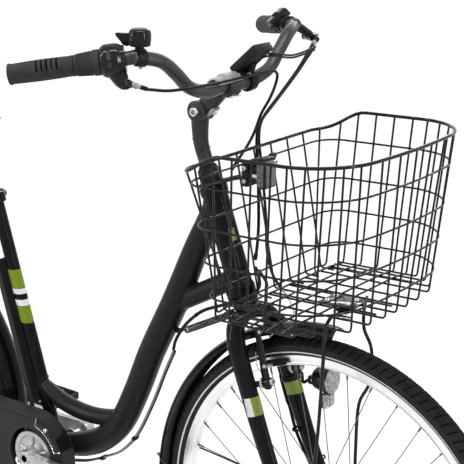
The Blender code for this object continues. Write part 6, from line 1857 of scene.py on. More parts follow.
def make_shifter_housing(base, along):
    """Drum of the shifter with its neck, a plain window strip, and the cable's adjuster."""
    shape = Shape()
    profile = [(0.0116, HOUSING_START), (0.0212, HOUSING_START), (0.0230, HOUSING_START + 0.0016),
               (0.0260, HOUSING_START + 0.0066), (0.0262, HOUSING_START + 0.0095),
               (0.0262, HOUSING_START + 0.0230),
               (0.0254, HOUSING_START + 0.0275), (0.0222, HOUSING_END - 0.0050), (0.0206, HOUSING_END),
               (0.0116, HOUSING_END)]
    shape.turned(rounded_profile(profile, 0.0012, 3), base, along, 64, 1)
    exit_point = at(*SHIFT_EXIT)
    back = (exit_point - at(*SHIFT_CABLE[0])).normalized()
    spout = [(*bar_point(0.1660, -1, 0.0, -0.0040), 0.0200), (*bar_point(0.1690, -1, 0.0, -0.0160), 0.0160),
             (*(exit_point + back * 0.0230 - UP * 0.0010), 0.0112), (*(exit_point + back * 0.0120), 0.0072)]
    shape.swept(spout, 6, 32, mat=1, dome=0.4)
    adjuster = [(0.0030, 0.0), (0.0052, 0.0), (0.0056, 0.0010), (0.0056, 0.0050), (0.0042, 0.0060),
                (0.0042, 0.0072),
                (0.0050, 0.0080), (0.0050, 0.0120), (0.0036, 0.0130), (0.0030, 0.0170), (0.0026, 0.0172)]
    start = exit_point + back * 0.0112
    shape.turned(adjuster, start, -back, 28, 3)
    shape.turned([(0.0036, 0.0), (0.0036, 0.0110), (0.0026, 0.0130), (0.0020, 0.0132)],
                 start - back * 0.0165, -back, 20, 2)
    face = Vector((0.584, -0.758, 0.291))
    face = (face - face.dot(along) * along).normalized()
    down = along.cross(face)
    down = down if down.z < 0 else -down
    for tilt, wide in ((-0.20, 0.0150), (0.42, 0.0080)):
        out = (face * cos(tilt) + down * sin(tilt)).normalized()
        spot = base + along * (HOUSING_START + 0.0150) + out * 0.0257
        shape.box(spot, (0.0060, wide, 0.0014), turn_matrix(along, out.cross(along)), 0.0006, 2, 0)
    shape.screw(base + along * (HOUSING_START + 0.029) - UP * 0.0218, -UP, 0.0030, 3)
    shape.place("shifter_body", "bars", M["far_grip"], M["shiny"], M["rubber"], M["dull"],
                slot="black_plastic", replaces=["shifter_housing"])


def make_bell():
    half = bar_half_path(2)
    one, two = half[BELL_SEGMENT], half[BELL_SEGMENT + 1]
    base = (Vector(one[:3]) + Vector(two[:3])) / 2
    along = (Vector(two[:3]) - Vector(one[:3])).normalized()
    base.y, along.y = -base.y, -along.y
    drum = base + UP * 0.0150
    shape = Shape()
    shape.ring(base, along, 0.0109, 0.0137, 0.0078, 0, 44, 0.0008)
    shape.box(base + UP * 0.0130, (0.013, 0.013, 0.0052), turn_matrix(along, UP.cross(along)), 0.0010, 2, 0)
    shape.screw(base - UP * 0.0148, -UP, 0.0028, 2)
    seat = [(0, -0.0015), (0.0058, -0.0015), (0.0058, 0.0030), (0.0150, 0.0034), (0.0163, 0.0044),
            (0.0166, 0.0105), (0.0160, 0.0112)]
    shape.turned(rounded_profile(seat, 0.0008, 2), drum, UP, 56, 0)
    dome = [(0.0158, 0.0108), (0.0172, 0.0108), (0.0175, 0.0116), (0.0175, 0.0212), (0.0171, 0.0250),
            (0.0160, 0.0278), (0.0140, 0.0297), (0.0110, 0.0306), (0.0060, 0.0310), (0, 0.0310)]
    shape.turned(rounded_profile(dome, 0.0006, 2), drum, UP, 64, 1)
    shape.ring(drum + UP * 0.0305, UP, 0.0052, 0.0076, 0.0005, 1, 40, 0.0003)
    shape.place("bell_drum", "bars", M["plastic"], M["shiny"], M["steel"], slot="black_plastic",
                replaces=["bell"])
    pivot = drum + Vector((-0.0215, -0.0030, 0.0120))
    out = Vector((-0.82, -0.50, 0.0)).normalized()
    shape = Shape()
    wedge = [(-0.0030, -0.0085), (0.0020, -0.0105), (0.0080, -0.0085), (0.0150, 0.0010), (0.0195, 0.0060),
             (0.0200, 0.0090), (0.0170, 0.0104), (0.0060, 0.0098), (-0.0030, 0.0094)]
    turn = Matrix((out, UP.cross(out), UP)).transposed()
    shape.plate(wedge, -0.0030, 0.0030, 0, 0.0012, turn, pivot, 3)
    shape.rod(pivot - UP * 0.0092, pivot + UP * 0.0100, 0.0034, 0, 20)
    shape.place("bell_striker", "bell_lever", M["shiny"], slot="black_plastic", replaces=["bell_lever"])


def make_stem():
    pivot, clamp = at(*STEM_PIVOT), at(*BAR_CENTRE)
    shape = Shape()
    knots = [(*steer(0.6450), 0.0110), (*steer(0.6620), 0.0112), (*steer(0.6660), 0.0124),
             (*steer(0.700), 0.0132), (*steer(0.733, 0.0096), 0.0150), (*steer(0.7487, 0.0160), 0.0162)]
    shape.swept(knots, 5, 36, STEER_FORWARD)
    for side in (1, -1):
        ear = [(0.0048, 0.0), (0.0172, 0.0), (0.0184, 0.0010), (0.0184, 0.0052), (0.0168, 0.0064),
               (0.0048, 0.0064)]
        shape.turned(ear, pivot + ALONG_Y * side * 0.0104, ALONG_Y * side, 56, 0, closed=True)
        shape.ring(pivot + ALONG_Y * side * 0.0168, ALONG_Y, 0.0120, 0.0134, 0.0003, 0, 48, 0.0001)
    shape.rod(pivot - ALONG_Y * 0.0190, pivot + ALONG_Y * 0.0190, 0.0044, 1, 24)
    shape.screw(pivot - ALONG_Y * 0.0172, -ALONG_Y, 0.0082, 1)
    shape.nut(pivot + ALONG_Y * 0.0162, ALONG_Y, 0.0072, 0.0040, 1)
    for height in (0.690, 0.7105):
        shape.ring(steer(height, 0.0004), STEER_AXIS, 0.0120, 0.0138, 0.0010, 0, 48, 0.0005)
    shape.place("stem_quill_forging", "fork", M["case_dark"], M["steel"], slot="alloy",
                replaces=["stem_quill"], sharp=40)
    shape = Shape()
    along = (clamp - pivot).normalized()
    side_axis = along.cross(ALONG_Y)
    shape.rod(pivot - ALONG_Y * 0.0100, pivot + ALONG_Y * 0.0100, 0.0176, 0, 48)
    knots = [(*(pivot + along * 0.006), 0.0158, 0.0098), (*(pivot + along * 0.022), 0.0162, 0.0128),
             (*(pivot + along * 0.040), 0.0150, 0.0138), (*(pivot + along * 0.060), 0.0132, 0.0158),
             (*(pivot + along * 0.075), 0.0132, 0.0172)]
    shape.swept(knots, 4, 36, side_axis)
    barrel = [(0.0128, -0.0120), (0.0172, -0.0120), (0.0184, -0.0105), (0.0186, 0.0), (0.0184, 0.0180),
              (0.0172, 0.0195), (0.0128, 0.0195)]
    shape.turned(barrel, clamp, ALONG_Y, 56, 0, closed=True)
    cap = []
    for y, inner, outer in ((-0.0375, 0.0134, 0.0146), (-0.0365, 0.0134, 0.0162), (-0.0200, 0.0134, 0.0168),
                            (-0.0130, 0.0134, 0.0172), (-0.0112, 0.0190, 0.0204), (0.0150, 0.0190, 0.0206),
                            (0.0178, 0.0190, 0.0200)):
        angles = [radians(24 + 140 * k / 28) for k in range(29)]
        around = [(angle, outer) for angle in angles] + [(angle, inner) for angle in reversed(angles)]
        cap.append([shape.vert(clamp + ALONG_Y * y + (UP * sin(a) + Vector((1, 0, 0)) * cos(a)) * r)
                    for a, r in around])
    shape.skin(cap, 1)
    low = clamp - UP * 0.0130 + Vector((0.0085, 0.004, 0))
    shape.box(low, (0.0150, 0.0280, 0.0090), turn_matrix(along, ALONG_Y), 0.0022, 3, 0)
    for side in (1, -1):
        shape.screw(low + Vector((0.0040, side * 0.0090, -0.0042)), (0.30, 0, -1), 0.0036, 3)
    under = pivot + along * 0.0200 - side_axis * 0.0160
    shape.box(under, (0.0190, 0.0190, 0.0050), turn_matrix(along, ALONG_Y), 0.0016, 3, 1)
    shape.screw(under - side_axis * 0.0024 + along * 0.0020, -side_axis, 0.0050, 3)
    shape.place("stem_head_forging", "bars", M["case_dark"], M["dull"], M["plastic"], M["steel"],
                slot="alloy", replaces=["stem_head"], sharp=40)


def make_display():
    centre = at(*DISPLAY_CENTRE)
    a = radians(DISPLAY_TILT)
    ahead = radial(a)
    turn = turn_matrix(ahead, ALONG_Y)
    face = turn @ Vector((0, 0, 1))
    long_, wide, thick = DISPLAY_SIZE
    shape = Shape()
    shape.box(centre, (long_, wide, thick), turn, 0.0014, 3, 0)
    shape.box(centre + face * (thick / 2 - 0.0004), (long_ * 0.84, wide * 0.84, 0.0016), turn, 0.0008, 2, 1)
    # Thin pale rods along the long edges of the top face: painted highlight lines on the display's edges.
    for y in (-1, 1):
        rail = centre + face * (thick / 2 - 0.0007) + ALONG_Y * y * (wide / 2 - 0.0009)
        shape.rod(rail - ahead * (long_ / 2 - 0.003), rail + ahead * (long_ / 2 - 0.003), 0.0007, 3, 8)
    for k in range(4):
        spot = centre - ahead * (long_ / 2 - 0.0002) + ALONG_Y * (0.0090 * k - 0.0135) + face * 0.0010
        shape.box(spot, (0.0008, 0.0052, 0.0046), turn, 0.0003, 1, 2)
    shape.box(centre - ahead * (long_ / 2 - 0.0002) - face * 0.0045, (0.0008, 0.0360, 0.0012), turn,
              0.0003, 1, 3)
    shape.box(centre + face * (thick / 2 + 0.0003) + ahead * 0.004, (long_ * 0.60, wide * 0.68, 0.0008), turn,
              0.0003, 1, 2)
    for k in (-1, 0, 1):
        spot = centre + face * (thick / 2 + 0.0004) - ahead * 0.0225 + ALONG_Y * 0.0115 * k
        shape.box(spot, (0.0060, 0.0088, 0.0012), turn, 0.0005, 2, 0)
    shape.box(centre - face * (thick / 2 - 0.0010), (long_ * 0.80, wide * 0.78, 0.0030), turn, 0.0012, 2, 0)
    shape.place("display_case", "display", M["plastic"], M["shiny"], M["screen"], M["plate"],
                slot="black_plastic", replaces=["display"])
    shape = Shape()
    shape.tube(smooth_path([at(-0.2160, 0.0550, 1.1135), at(-0.2125, 0.0545, 1.1235),
                            at(-0.2095, 0.0540, 1.1305)], 4),
               [0.0073] * 9, 24, dome=0.3)
    shape.ring(at(-0.2195, 0.0550, 1.0988), (0.03, 1, 0.06), 0.0125, 0.0176, 0.0078, 0, 48, 0.0012)
    shape.screw(at(-0.2120, 0.0480, 1.1120), -ALONG_Y, 0.0032, 1)
    shape.place("display_mount", "bars", M["plastic"], M["steel"])


SWITCH_SIZE = (0.033, 0.040, 0.0150)
SWITCH_REACH, SWITCH_HEIGHT, SWITCH_TILT = 0.1415, 0.0178, 43.0


def make_switch():
    """Remote switch on top of the bar next to the left grip, with its button in the upper face."""
    along = bar_direction(1)
    ahead = (-along).cross(UP).normalized()
    a = radians(SWITCH_TILT)
    turn = turn_matrix(along, ahead * cos(a) + UP * sin(a))
    normal = turn @ Vector((0, 0, 1))
    centre = bar_point(SWITCH_REACH, 1) + normal * SWITCH_HEIGHT
    long_, wide, thick = SWITCH_SIZE
    shape = Shape()
    shape.ring(bar_point(0.1350, 1), along, 0.0112, 0.0149, 0.0062, 0, 44, 0.0010)
    shape.box(centre - normal * 0.0015, (long_ - 0.0004, wide - 0.0004, thick), turn, 0.0026, 4, 0)
    shape.box(centre + normal * (thick / 2 - 0.0004), (long_ * 0.86, wide * 0.88, 0.0010), turn, 0.0005, 2, 1)
    shape.box(centre - normal * 0.0070 + turn @ Vector((0, -0.0030, 0)), (0.0220, 0.0240, 0.0080), turn,
              0.0024, 4, 0)
    edge = [turn @ Vector((-long_ / 2 + 0.0026, wide / 2 - 0.0030 - (wide - 0.0060) * k / 8,
                           0)) for k in range(9)]
    shape.tube([centre + normal * (thick / 2 - 0.0020) + e for e in edge], 0.0010, 8, mat=2, dome=0.6)
    low = centre - turn @ Vector((0, wide / 2 - 0.0040, 0.0040))
    shape.tube([low, low - ahead * 0.0050 - UP * 0.0060], [(0.0090, 0.0040), (0.0060, 0.0028)], 20,
               along, dome=0.5)
    exit_point = centre + turn @ Vector((long_ / 2 - 0.0020, 0.0060, -0.0010))
    shape.tube([exit_point, exit_point + along * 0.0070], [0.0040, 0.0028], 20, dome=0.4)
    shape.place("switch_body", "bars", M["plastic"], M["shiny"], M["far_grip"], slot="black_plastic",
                replaces=["control_switch"])
    shape = Shape()
    face = centre + normal * (thick / 2)
    shape.box(face + normal * 0.0012, (0.0174, 0.0094, 0.0028), turn, 0.0011, 3, 0)
    shape.box(face + normal * 0.0026, (0.0076, 0.0022, 0.0005), turn, 0.0002, 1, 1)
    shape.place("switch_button", "assist_button", M["rubber"], M["far_grip"], slot="rubber",
                replaces=["assist_button"])


def make_brake_lever():
    along = bar_direction(1)
    pivot = at(*LEVER_PIVOT)
    shape = Shape()
    shape.ring(bar_point(LEVER_CLAMP, 1), along, 0.0112, 0.0158, 0.0088, 0, 48, 0.0014)
    start = bar_point(LEVER_CLAMP, 1, forward=0.0120)
    knots = [(*start, 0.0088, 0.0068), (*(start + (pivot - start) * 0.55), 0.0074, 0.0056),
             (*(pivot - (pivot - start).normalized() * 0.004), 0.0064, 0.0050)]
    shape.swept(knots, 6, 28, UP, dome=0.5)
    for side in (1, -1):
        shape.ring(pivot + UP * side * 0.0046, UP, 0.0028, 0.0078, 0.0012, 0, 36, 0.0006)
    shape.screw(pivot + UP * 0.0056, UP, 0.0044, 1)
    shape.nut(pivot - UP * 0.0050, -UP, 0.0040, 0.0022, 1, washer=False)
    exit_point = at(*BRAKE_CABLE[0])
    towards = (exit_point - at(*BRAKE_CABLE[1])).normalized()
    knots = [exit_point + towards * 0.0230, exit_point + towards * 0.0120]
    shape.tube(knots, [0.0056, 0.0050], 24, dome=0.4)
    for k in range(5):
        shape.ring(exit_point + towards * (0.0030 + 0.0022 * k), towards, 0.0022, 0.0044, 0.0008, 1,
                   24, 0.0003)
    shape.tube([exit_point + towards * 0.0120, exit_point], [0.0034, 0.0030], 16, mat=1, dome=0.4)
    shape.screw(bar_point(LEVER_CLAMP, 1, forward=0.0030) - UP * 0.0158, -UP, 0.0032, 1)
    shape.place("lever_bracket_body", "bars", M["plastic"], M["steel"], slot="black_plastic",
                replaces=["lever_bracket"])
    out = -along
    ahead = (-along).cross(UP).normalized()
    knots = [(*(pivot + out * 0.0130), 0.0042, 0.0036),
             (*(pivot + out * 0.022 + ahead * 0.002), 0.0050, 0.0032),
             (*(pivot + out * 0.035 + ahead * 0.004), 0.0060, 0.0034),
             (*(pivot + out * 0.055 + ahead * 0.0075), 0.0061, 0.0034),
             (*(pivot + out * 0.070 + ahead * 0.009), 0.0060, 0.0034),
             (*(pivot + out * 0.086 + ahead * 0.0092), 0.0058, 0.0038),
             (*(pivot + out * 0.092 + ahead * 0.009), 0.0062, 0.0046)]
    shape = Shape()
    shape.swept(knots, 5, 24, UP, dome=0.9)
    shape.tube([pivot - out * 0.001, pivot + out * 0.006 + ahead * 0.0006,
                pivot + out * 0.014 + ahead * 0.0012],
               [(0.0052, 0.0030), (0.0048, 0.0031), (0.0042, 0.0034)], 20, UP, dome=0.6)
    shape.place("brake_lever_blade", "brake_lever", M["shiny"], slot="black_plastic",
                replaces=["brake_lever"])


def make_cockpit():
    make_handlebar()
    make_grip(-1, GRIP_RIGHT, "right", "grip")
    make_grip(1, GRIP_LEFT, "left", "far_grip")
    make_shifter()
    make_bell()
    make_stem()
    make_display()
    make_switch()
    make_brake_lever()


# Cables

SHIFT_CABLE = [
    (-0.222, -0.198, 1.1225), (-0.200, -0.165, 1.1185), (-0.190, -0.074, 1.1165), (-0.188, 0.019, 1.1165),
    (-0.190, 0.078, 1.1155), (-0.194, 0.102, 1.107), (-0.199, 0.1065, 1.090), (-0.2035, 0.096, 1.065),
    (-0.2045, 0.072, 1.041), (-0.2045, 0.053, 1.013), (-0.2055, 0.034, 0.992), (-0.2080, 0.012, 0.972),
    (-0.2100, -0.004, 0.957)]
BRAKE_CABLE = [
    (-0.2045, 0.2235, 1.1395), (-0.199, 0.205, 1.1335), (-0.190, 0.160, 1.108), (-0.187, 0.100, 1.071),
    (-0.186, 0.052, 1.040), (-0.186, 0.041, 1.010), (-0.186, 0.047, 0.968), (-0.186, 0.055, 0.920),
    (-0.184, 0.060, 0.860), (-0.176, 0.052, 0.810), (-0.156, 0.040, 0.775), (-0.130, 0.034, 0.750)]
WIRE_LOOM = [
    (-0.2060, 0.2330, 1.1350), (-0.202, 0.205, 1.121), (-0.196, 0.160, 1.096), (-0.194, 0.100, 1.060),
    (-0.194, 0.055, 1.030), (-0.195, 0.047, 1.000), (-0.195, 0.050, 0.960), (-0.196, 0.054, 0.900),
    (-0.194, 0.052, 0.850), (-0.188, 0.040, 0.815), (-0.184, 0.029, 0.796)]
LOOM_LOWER = [
    (-0.1815, 0.0270, 0.7830), (-0.170, 0.021, 0.770), (-0.1575, 0.004, 0.757), (-0.159, -0.020, 0.746),
    (-0.178, -0.035, 0.737), (-0.212, -0.039, 0.724), (-0.252, -0.034, 0.704), (-0.295, -0.024, 0.668),
    (-0.328, -0.012, 0.628), (-0.3435, -0.002, 0.600)]
DOWN_TUBE_CABLES = [
    (-0.3437, 0.0, 0.5965), (-0.366, 0.0, 0.550), (-0.396, 0.0, 0.482), (-0.436, 0.0, 0.407),
    (-0.478, 0.0, 0.360), (-0.520, 0.0, 0.335), (-0.565, 0.0, 0.313), (-0.605, 0.0, 0.301),
    (-0.622, 0.0, 0.294)]
DISPLAY_WIRE = [
    (-0.186, 0.203, 1.135), (-0.184, 0.148, 1.131), (-0.183, 0.119, 1.133), (-0.184, 0.075, 1.142),
    (-0.192, 0.058, 1.141)]
SWITCH_WIRE = [
    (-0.2420, 0.1900, 1.1800), (-0.2330, 0.2080, 1.1720), (-0.2270, 0.2240, 1.1580),
    (-0.2180, 0.2320, 1.1450)]


def cable_points(knots, steps=6):
    return smooth_path([at(*k) for k in knots], steps)


def side_by_side(points, spread, side=(1, 0, 0)):
    """Copies of a line set beside it, as wires lie in a loom."""
    frames = frames_along(points, side)
    return [p + pair[0] * spread for p, pair in zip(points, frames)]


def bend_with(cable):
    """Bake the cable's placement into its mesh; it rides on no body."""
    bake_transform(cable)


def make_bar_cables():
    shape = Shape()
    path = cable_points(SHIFT_CABLE)
    shape.tube(path, 0.0025, 16, dome=0.2)
    cap = path[-1]
    shape.rod(cap + (path[-3] - cap).normalized() * 0.0100, cap, 0.0032, 1, 18)
    cable = shape.place("shift_cable_jacket", None, M["jacket"], M["plastic"], slot="cable",
                        replaces=["shift_cable"])
    bend_with(cable)
    shape = Shape()
    path = cable_points(BRAKE_CABLE)
    shape.tube(path, 0.0025, 16, dome=0.2)
    shape.rod(path[0], path[0] + (path[2] - path[0]).normalized() * 0.0090, 0.0030, 1, 18)
    cable = shape.place("brake_cable_jacket", None, M["jacket"], M["plastic"], slot="cable",
                        replaces=["brake_cable"])
    bend_with(cable)
    shape = Shape()
    path = cable_points(WIRE_LOOM)
    for spread, height in ((0.0016, 0.0), (-0.0016, 0.0004)):
        line = [p + UP * height for p in side_by_side(path, spread)]
        shape.tube(line, 0.0015, 12, dome=0.2)
    low = path[-4:]
    shape.tube(low, 0.0036, 18, mat=1, dome=0.4)
    loom = shape.place("wire_loom_pair", None, M["jacket"], M["rubber"], slot="cable", replaces=["wire_loom"])
    bend_with(loom)
    shape = Shape()
    path = cable_points(DISPLAY_WIRE)
    shape.tube(path, 0.0018, 14, dome=0.4)
    shape.tube([p + UP * 0.0042 for p in path[:-7]] + [path[-5] + UP * 0.0036], 0.0018, 14, dome=0.4)
    shape.tube(cable_points(SWITCH_WIRE), 0.0011, 12, dome=0.4)
    wires = shape.place("display_wire", None, M["jacket"])
    bend_with(wires)


def make_frame_cables():
    """Loom that runs from the fork to the down tube, then the cables and clips under the tube."""
    shape = Shape()
    path = cable_points(LOOM_LOWER)
    frames = frames_along(path, (0, 0, 1))
    for k in range(3):
        a = 2 * pi * k / 3 + 0.4
        line = [p + (u * cos(a) + v * sin(a)) * 0.0017 for p, (u, v) in zip(path, frames)]
        shape.tube(line, 0.0016, 12, dome=0.3)
    for share in (0.34, 0.72):
        i = int(share * (len(path) - 1))
        ahead = (path[i + 1] - path[i]).normalized()
        shape.ring(path[i], ahead, 0.0028, 0.0037, 0.0018, 1, 24, 0.0004)
    shape.place("lower_loom_wires", "frame", M["jacket"], M["plastic"], slot="cable", replaces=["loom_lower"])
    shape = Shape()
    path = cable_points(DOWN_TUBE_CABLES)
    shape.tube(side_by_side(path, 0.0027, (0, 1, 0)), 0.0024, 14, mat=0, dome=0.3)
    shape.tube([p + UP * 0.0004 for p in side_by_side(path, -0.0027, (0, 1, 0))], 0.0022, 14, mat=2, dome=0.3)
    for share in (0.40, 0.66):
        i = int(share * (len(path) - 1))
        ahead = (path[i + 1] - path[i]).normalized()
        turn = turn_matrix(ahead, ALONG_Y)
        shape.box(path[i], (0.0090, 0.0150, 0.0066), turn, 0.0014, 3, 1)
        shape.box(path[i] + turn @ Vector((0, 0, 0.0030)), (0.0060, 0.0090, 0.0040), turn, 0.0008, 2, 1)
    shape.place("down_tube_cable_run", "frame", M["jacket"], M["plastic"], M["grey_cable"], slot="cable",
                replaces=["down_tube_cables"])


def make_motor_cable():
    knots = [at(-0.180, 0.034, 0.776), at(-0.172, 0.046, 0.752), at(-0.184, 0.062, 0.722),
             at(-0.186, 0.066, 0.690)]
    knots += [steer(s, -0.0165, 0.0605) for s in (0.325, 0.270, 0.210, 0.160)]
    knots += [steer(0.100, -0.006, 0.0620), steer(0.060, 0.002, 0.0700), steer(0.032, 0.016, 0.0810),
              at(-0.007, 0.0925, 0.3560), at(0, 0.0915, 0.349), at(0, 0.0845, 0.349)]
    shape = Shape()
    path = smooth_path(knots, 6)
    shape.tube(path, 0.0029, 16, dome=0.4)
    joint = smooth_path([steer(s, -0.0165, 0.0605) for s in (0.268, 0.240, 0.214)], 4)
    shape.tube(joint, [0.0036] + [0.0044] * 7 + [0.0036], 20, mat=1, dome=0.5)
    for s in (0.300, 0.170):
        shape.ring(steer(s, 0.0020 if s > 0.2 else 0.0005, 0.0590), STEER_AXIS, 0.0168, 0.0188, 0.0022, 1,
                   44, 0.0006)
    shape.place("motor_cable_jacket", "fork", M["jacket"], M["rubber"], slot="cable",
                replaces=["motor_cable"])


def make_cables():
    make_bar_cables()
    make_frame_cables()
    make_motor_cable()


# Cranks, pedals, rack, seat and stand

PEDAL_RIGHT = (-0.482, -0.150, 0.326)
PEDAL_LEFT = (-0.822, 0.150, 0.326)
RACK_STATIONS = (-0.8175, -0.980, -1.120, -1.260, -1.430)
RACK_HALF_WIDTH = 0.062
RACK_Z = 0.802
RACK_FOOT_Y = 0.0825


def crank_arm_outline(sign, root, tip, length):
    """Outline of a crank arm: round at both ends, narrow between them."""
    shares = [k / 8 for k in range(1, 8)]
    edge = [(length * s, (root * (1 - s) + tip * s) * (1 - 0.18 * sin(pi * s))) for s in shares]
    points = arc_points(0, 0, root, pi / 2, pi, 16) + [(x, -z) for x, z in edge]
    points += arc_points(length, 0, tip, -pi / 2, pi, 16) + edge[::-1]
    centre = at(CRANK_X, 0, CRANK_Z)
    return [(centre.x + sign * x, centre.z + z) for x, z in points]


def make_cranks():
    centre = at(CRANK_X, 0, CRANK_Z)
    shape = Shape()
    disc = [(0.0300, -0.0442), (0.0705, -0.0442), (0.0710, -0.0450), (0.0710, -0.0500), (0.0702, -0.0509),
            (0.0600, -0.0512), (0.0590, -0.0520), (0.0500, -0.0522), (0.0482, -0.0530)]
    shape.turned(disc, centre, ALONG_Y, 72, 2)
    cup = [(0.0486, -0.0515), (0.0489, -0.0560), (0.0488, -0.0676), (0.0478, -0.0690), (0.0400, -0.0692),
           (0.0388, -0.0684), (0.0376, -0.0660), (0.0300, -0.0644), (0.0225, -0.0650), (0.0190, -0.0670),
           (0.0172, -0.0720), (0.0160, -0.0900), (0.0148, -0.0926), (0.0120, -0.0934), (0.0108, -0.0926),
           (0.0104, -0.0880), (0, -0.0880)]
    shape.turned(cup, centre, ALONG_Y, 72, 0)
    for k in range(5):
        a = radians(72 * k + 20)
        out = radial(a)
        across_out = Vector((-sin(a), 0, cos(a)))
        shape.tube([centre + out * 0.0190 - ALONG_Y * 0.0668, centre + out * 0.0270 - ALONG_Y * 0.0650,
                    centre + out * 0.0372 - ALONG_Y * 0.0658], [0.0030, 0.0028, 0.0024], 14, dome=0.5)
        spot = centre + (out * cos(0.62) + across_out * sin(0.62)) * 0.0525 - ALONG_Y * 0.0522
        shape.screw(spot, -ALONG_Y, 0.0026, 3)
    teeth = toothed_outline(CHAINRING_TEETH, 0.0790, 0.0742)
    inner = [(0.066 * x / hypot(x, z), 0.066 * z / hypot(x, z)) for x, z in teeth]
    rings = []
    for outline, y in ((inner, -0.0462), (teeth, -0.0462), (teeth, -0.0480), (inner, -0.0480)):
        rings.append([shape.vert(centre + Vector((x, y, z))) for x, z in outline])
    shape.skin(rings, 3, lengthways=True)
    arm = crank_arm_outline(1, 0.0140, 0.0120, CRANK_LENGTH)
    shape.plate(arm, -0.0918, -0.0802, 0, 0.0030, segments=3)
    end = centre + Vector((CRANK_LENGTH, 0, 0))
    shape.ring(end - ALONG_Y * 0.0919, ALONG_Y, 0.0068, 0.0094, 0.0008, 3, 32, 0.0003)
    shape.rod(end - ALONG_Y * 0.0792, end - ALONG_Y * 0.0760, 0.0060, 3, 6, 0.0004)
    bolt = [(0, -0.0895), (0.0072, -0.0895), (0.0080, -0.0905), (0.0080, -0.0918), (0, -0.0918)]
    shape.turned(bolt, centre, ALONG_Y, 6, 3)
    shape.place("crank_right_set", "cranks", M["crank"], M["plastic"], M["shiny"], M["steel"], slot="alloy",
                replaces=["crank_right"])
    shape = Shape()
    shape.rod(centre - ALONG_Y * 0.0700, centre + ALONG_Y * 0.0695, 0.0083, 1, 28)
    hub = [(0.0082, 0.0722), (0.0162, 0.0722), (0.0172, 0.0740), (0.0178, 0.0880), (0.0170, 0.0912),
           (0.0108, 0.0919), (0.0100, 0.0906), (0.0098, 0.0880), (0, 0.0880)]
    shape.turned(hub, centre, ALONG_Y, 44, 0)
    shape.turned([(0, 0.0890), (0.0070, 0.0890), (0.0078, 0.0900), (0.0078, 0.0912), (0, 0.0912)], centre,
                 ALONG_Y, 6, 1)
    shape.plate(crank_arm_outline(-1, 0.0160, 0.0120, CRANK_LENGTH), 0.0782, 0.0898, 0, 0.0030, segments=3)
    end = centre - Vector((CRANK_LENGTH, 0, 0))
    shape.ring(end + ALONG_Y * 0.0899, ALONG_Y, 0.0068, 0.0094, 0.0008, 1, 32, 0.0003)
    shape.rod(end + ALONG_Y * 0.0772, end + ALONG_Y * 0.0740, 0.0060, 1, 6, 0.0004)
    shape.place("crank_left_set", "cranks", M["crank"], M["steel"], slot="alloy", replaces=["crank_left"])


def make_pedal(label, place, side, spindle_end):
    """Platform pedal: ribbed tread on a cage, spindle, end cap and two reflectors."""
    centre = at(*place)
    shape = Shape()
    shape.rod(Vector((centre.x, spindle_end * side, centre.z)), centre + ALONG_Y * side * 0.045,
              0.0058, 1, 24)
    for dx in (-0.0395, 0.0395):
        shape.box(centre + Vector((dx, 0, 0)), (0.0068, 0.0930, 0.0150), None, 0.0020, 3, 0)
    for dy in (-0.0440, 0.0440):
        shape.box(centre + ALONG_Y * dy, (0.0840, 0.0058, 0.0170), None, 0.0022, 3, 0)
    for dx in (-0.0215, 0.0215):
        shape.box(centre + Vector((dx, 0, 0)), (0.0250, 0.0820, 0.0170), None, 0.0030, 3, 2)
        for k in range(9):
            y = -0.034 + 0.0085 * k
            for up in (1, -1):
                shape.box(centre + Vector((dx, y, up * 0.0098)), (0.0220, 0.0042, 0.0032), None, 0.0009, 2, 2)
    shape.tube([centre - ALONG_Y * 0.0400, centre + ALONG_Y * 0.0400], 0.0092, 28, dome=0.2)
    cap = centre + ALONG_Y * side * 0.0445
    shape.rod(cap - ALONG_Y * side * 0.002, cap + ALONG_Y * side * 0.0022, 0.0084, 3, 28)
    for dx in (-0.0424, 0.0424):
        shape.box(centre + Vector((dx, 0, 0)), (0.0010, 0.0520, 0.0096), None, 0.0003, 1, 4)
    shape.place(f"pedal_{label}_set", f"pedal_{label}", M["plastic"], M["steel"], M["rubber"],
                M["grey_cable"], M["orange"], slot="black_plastic", replaces=[f"pedal_{label}"])


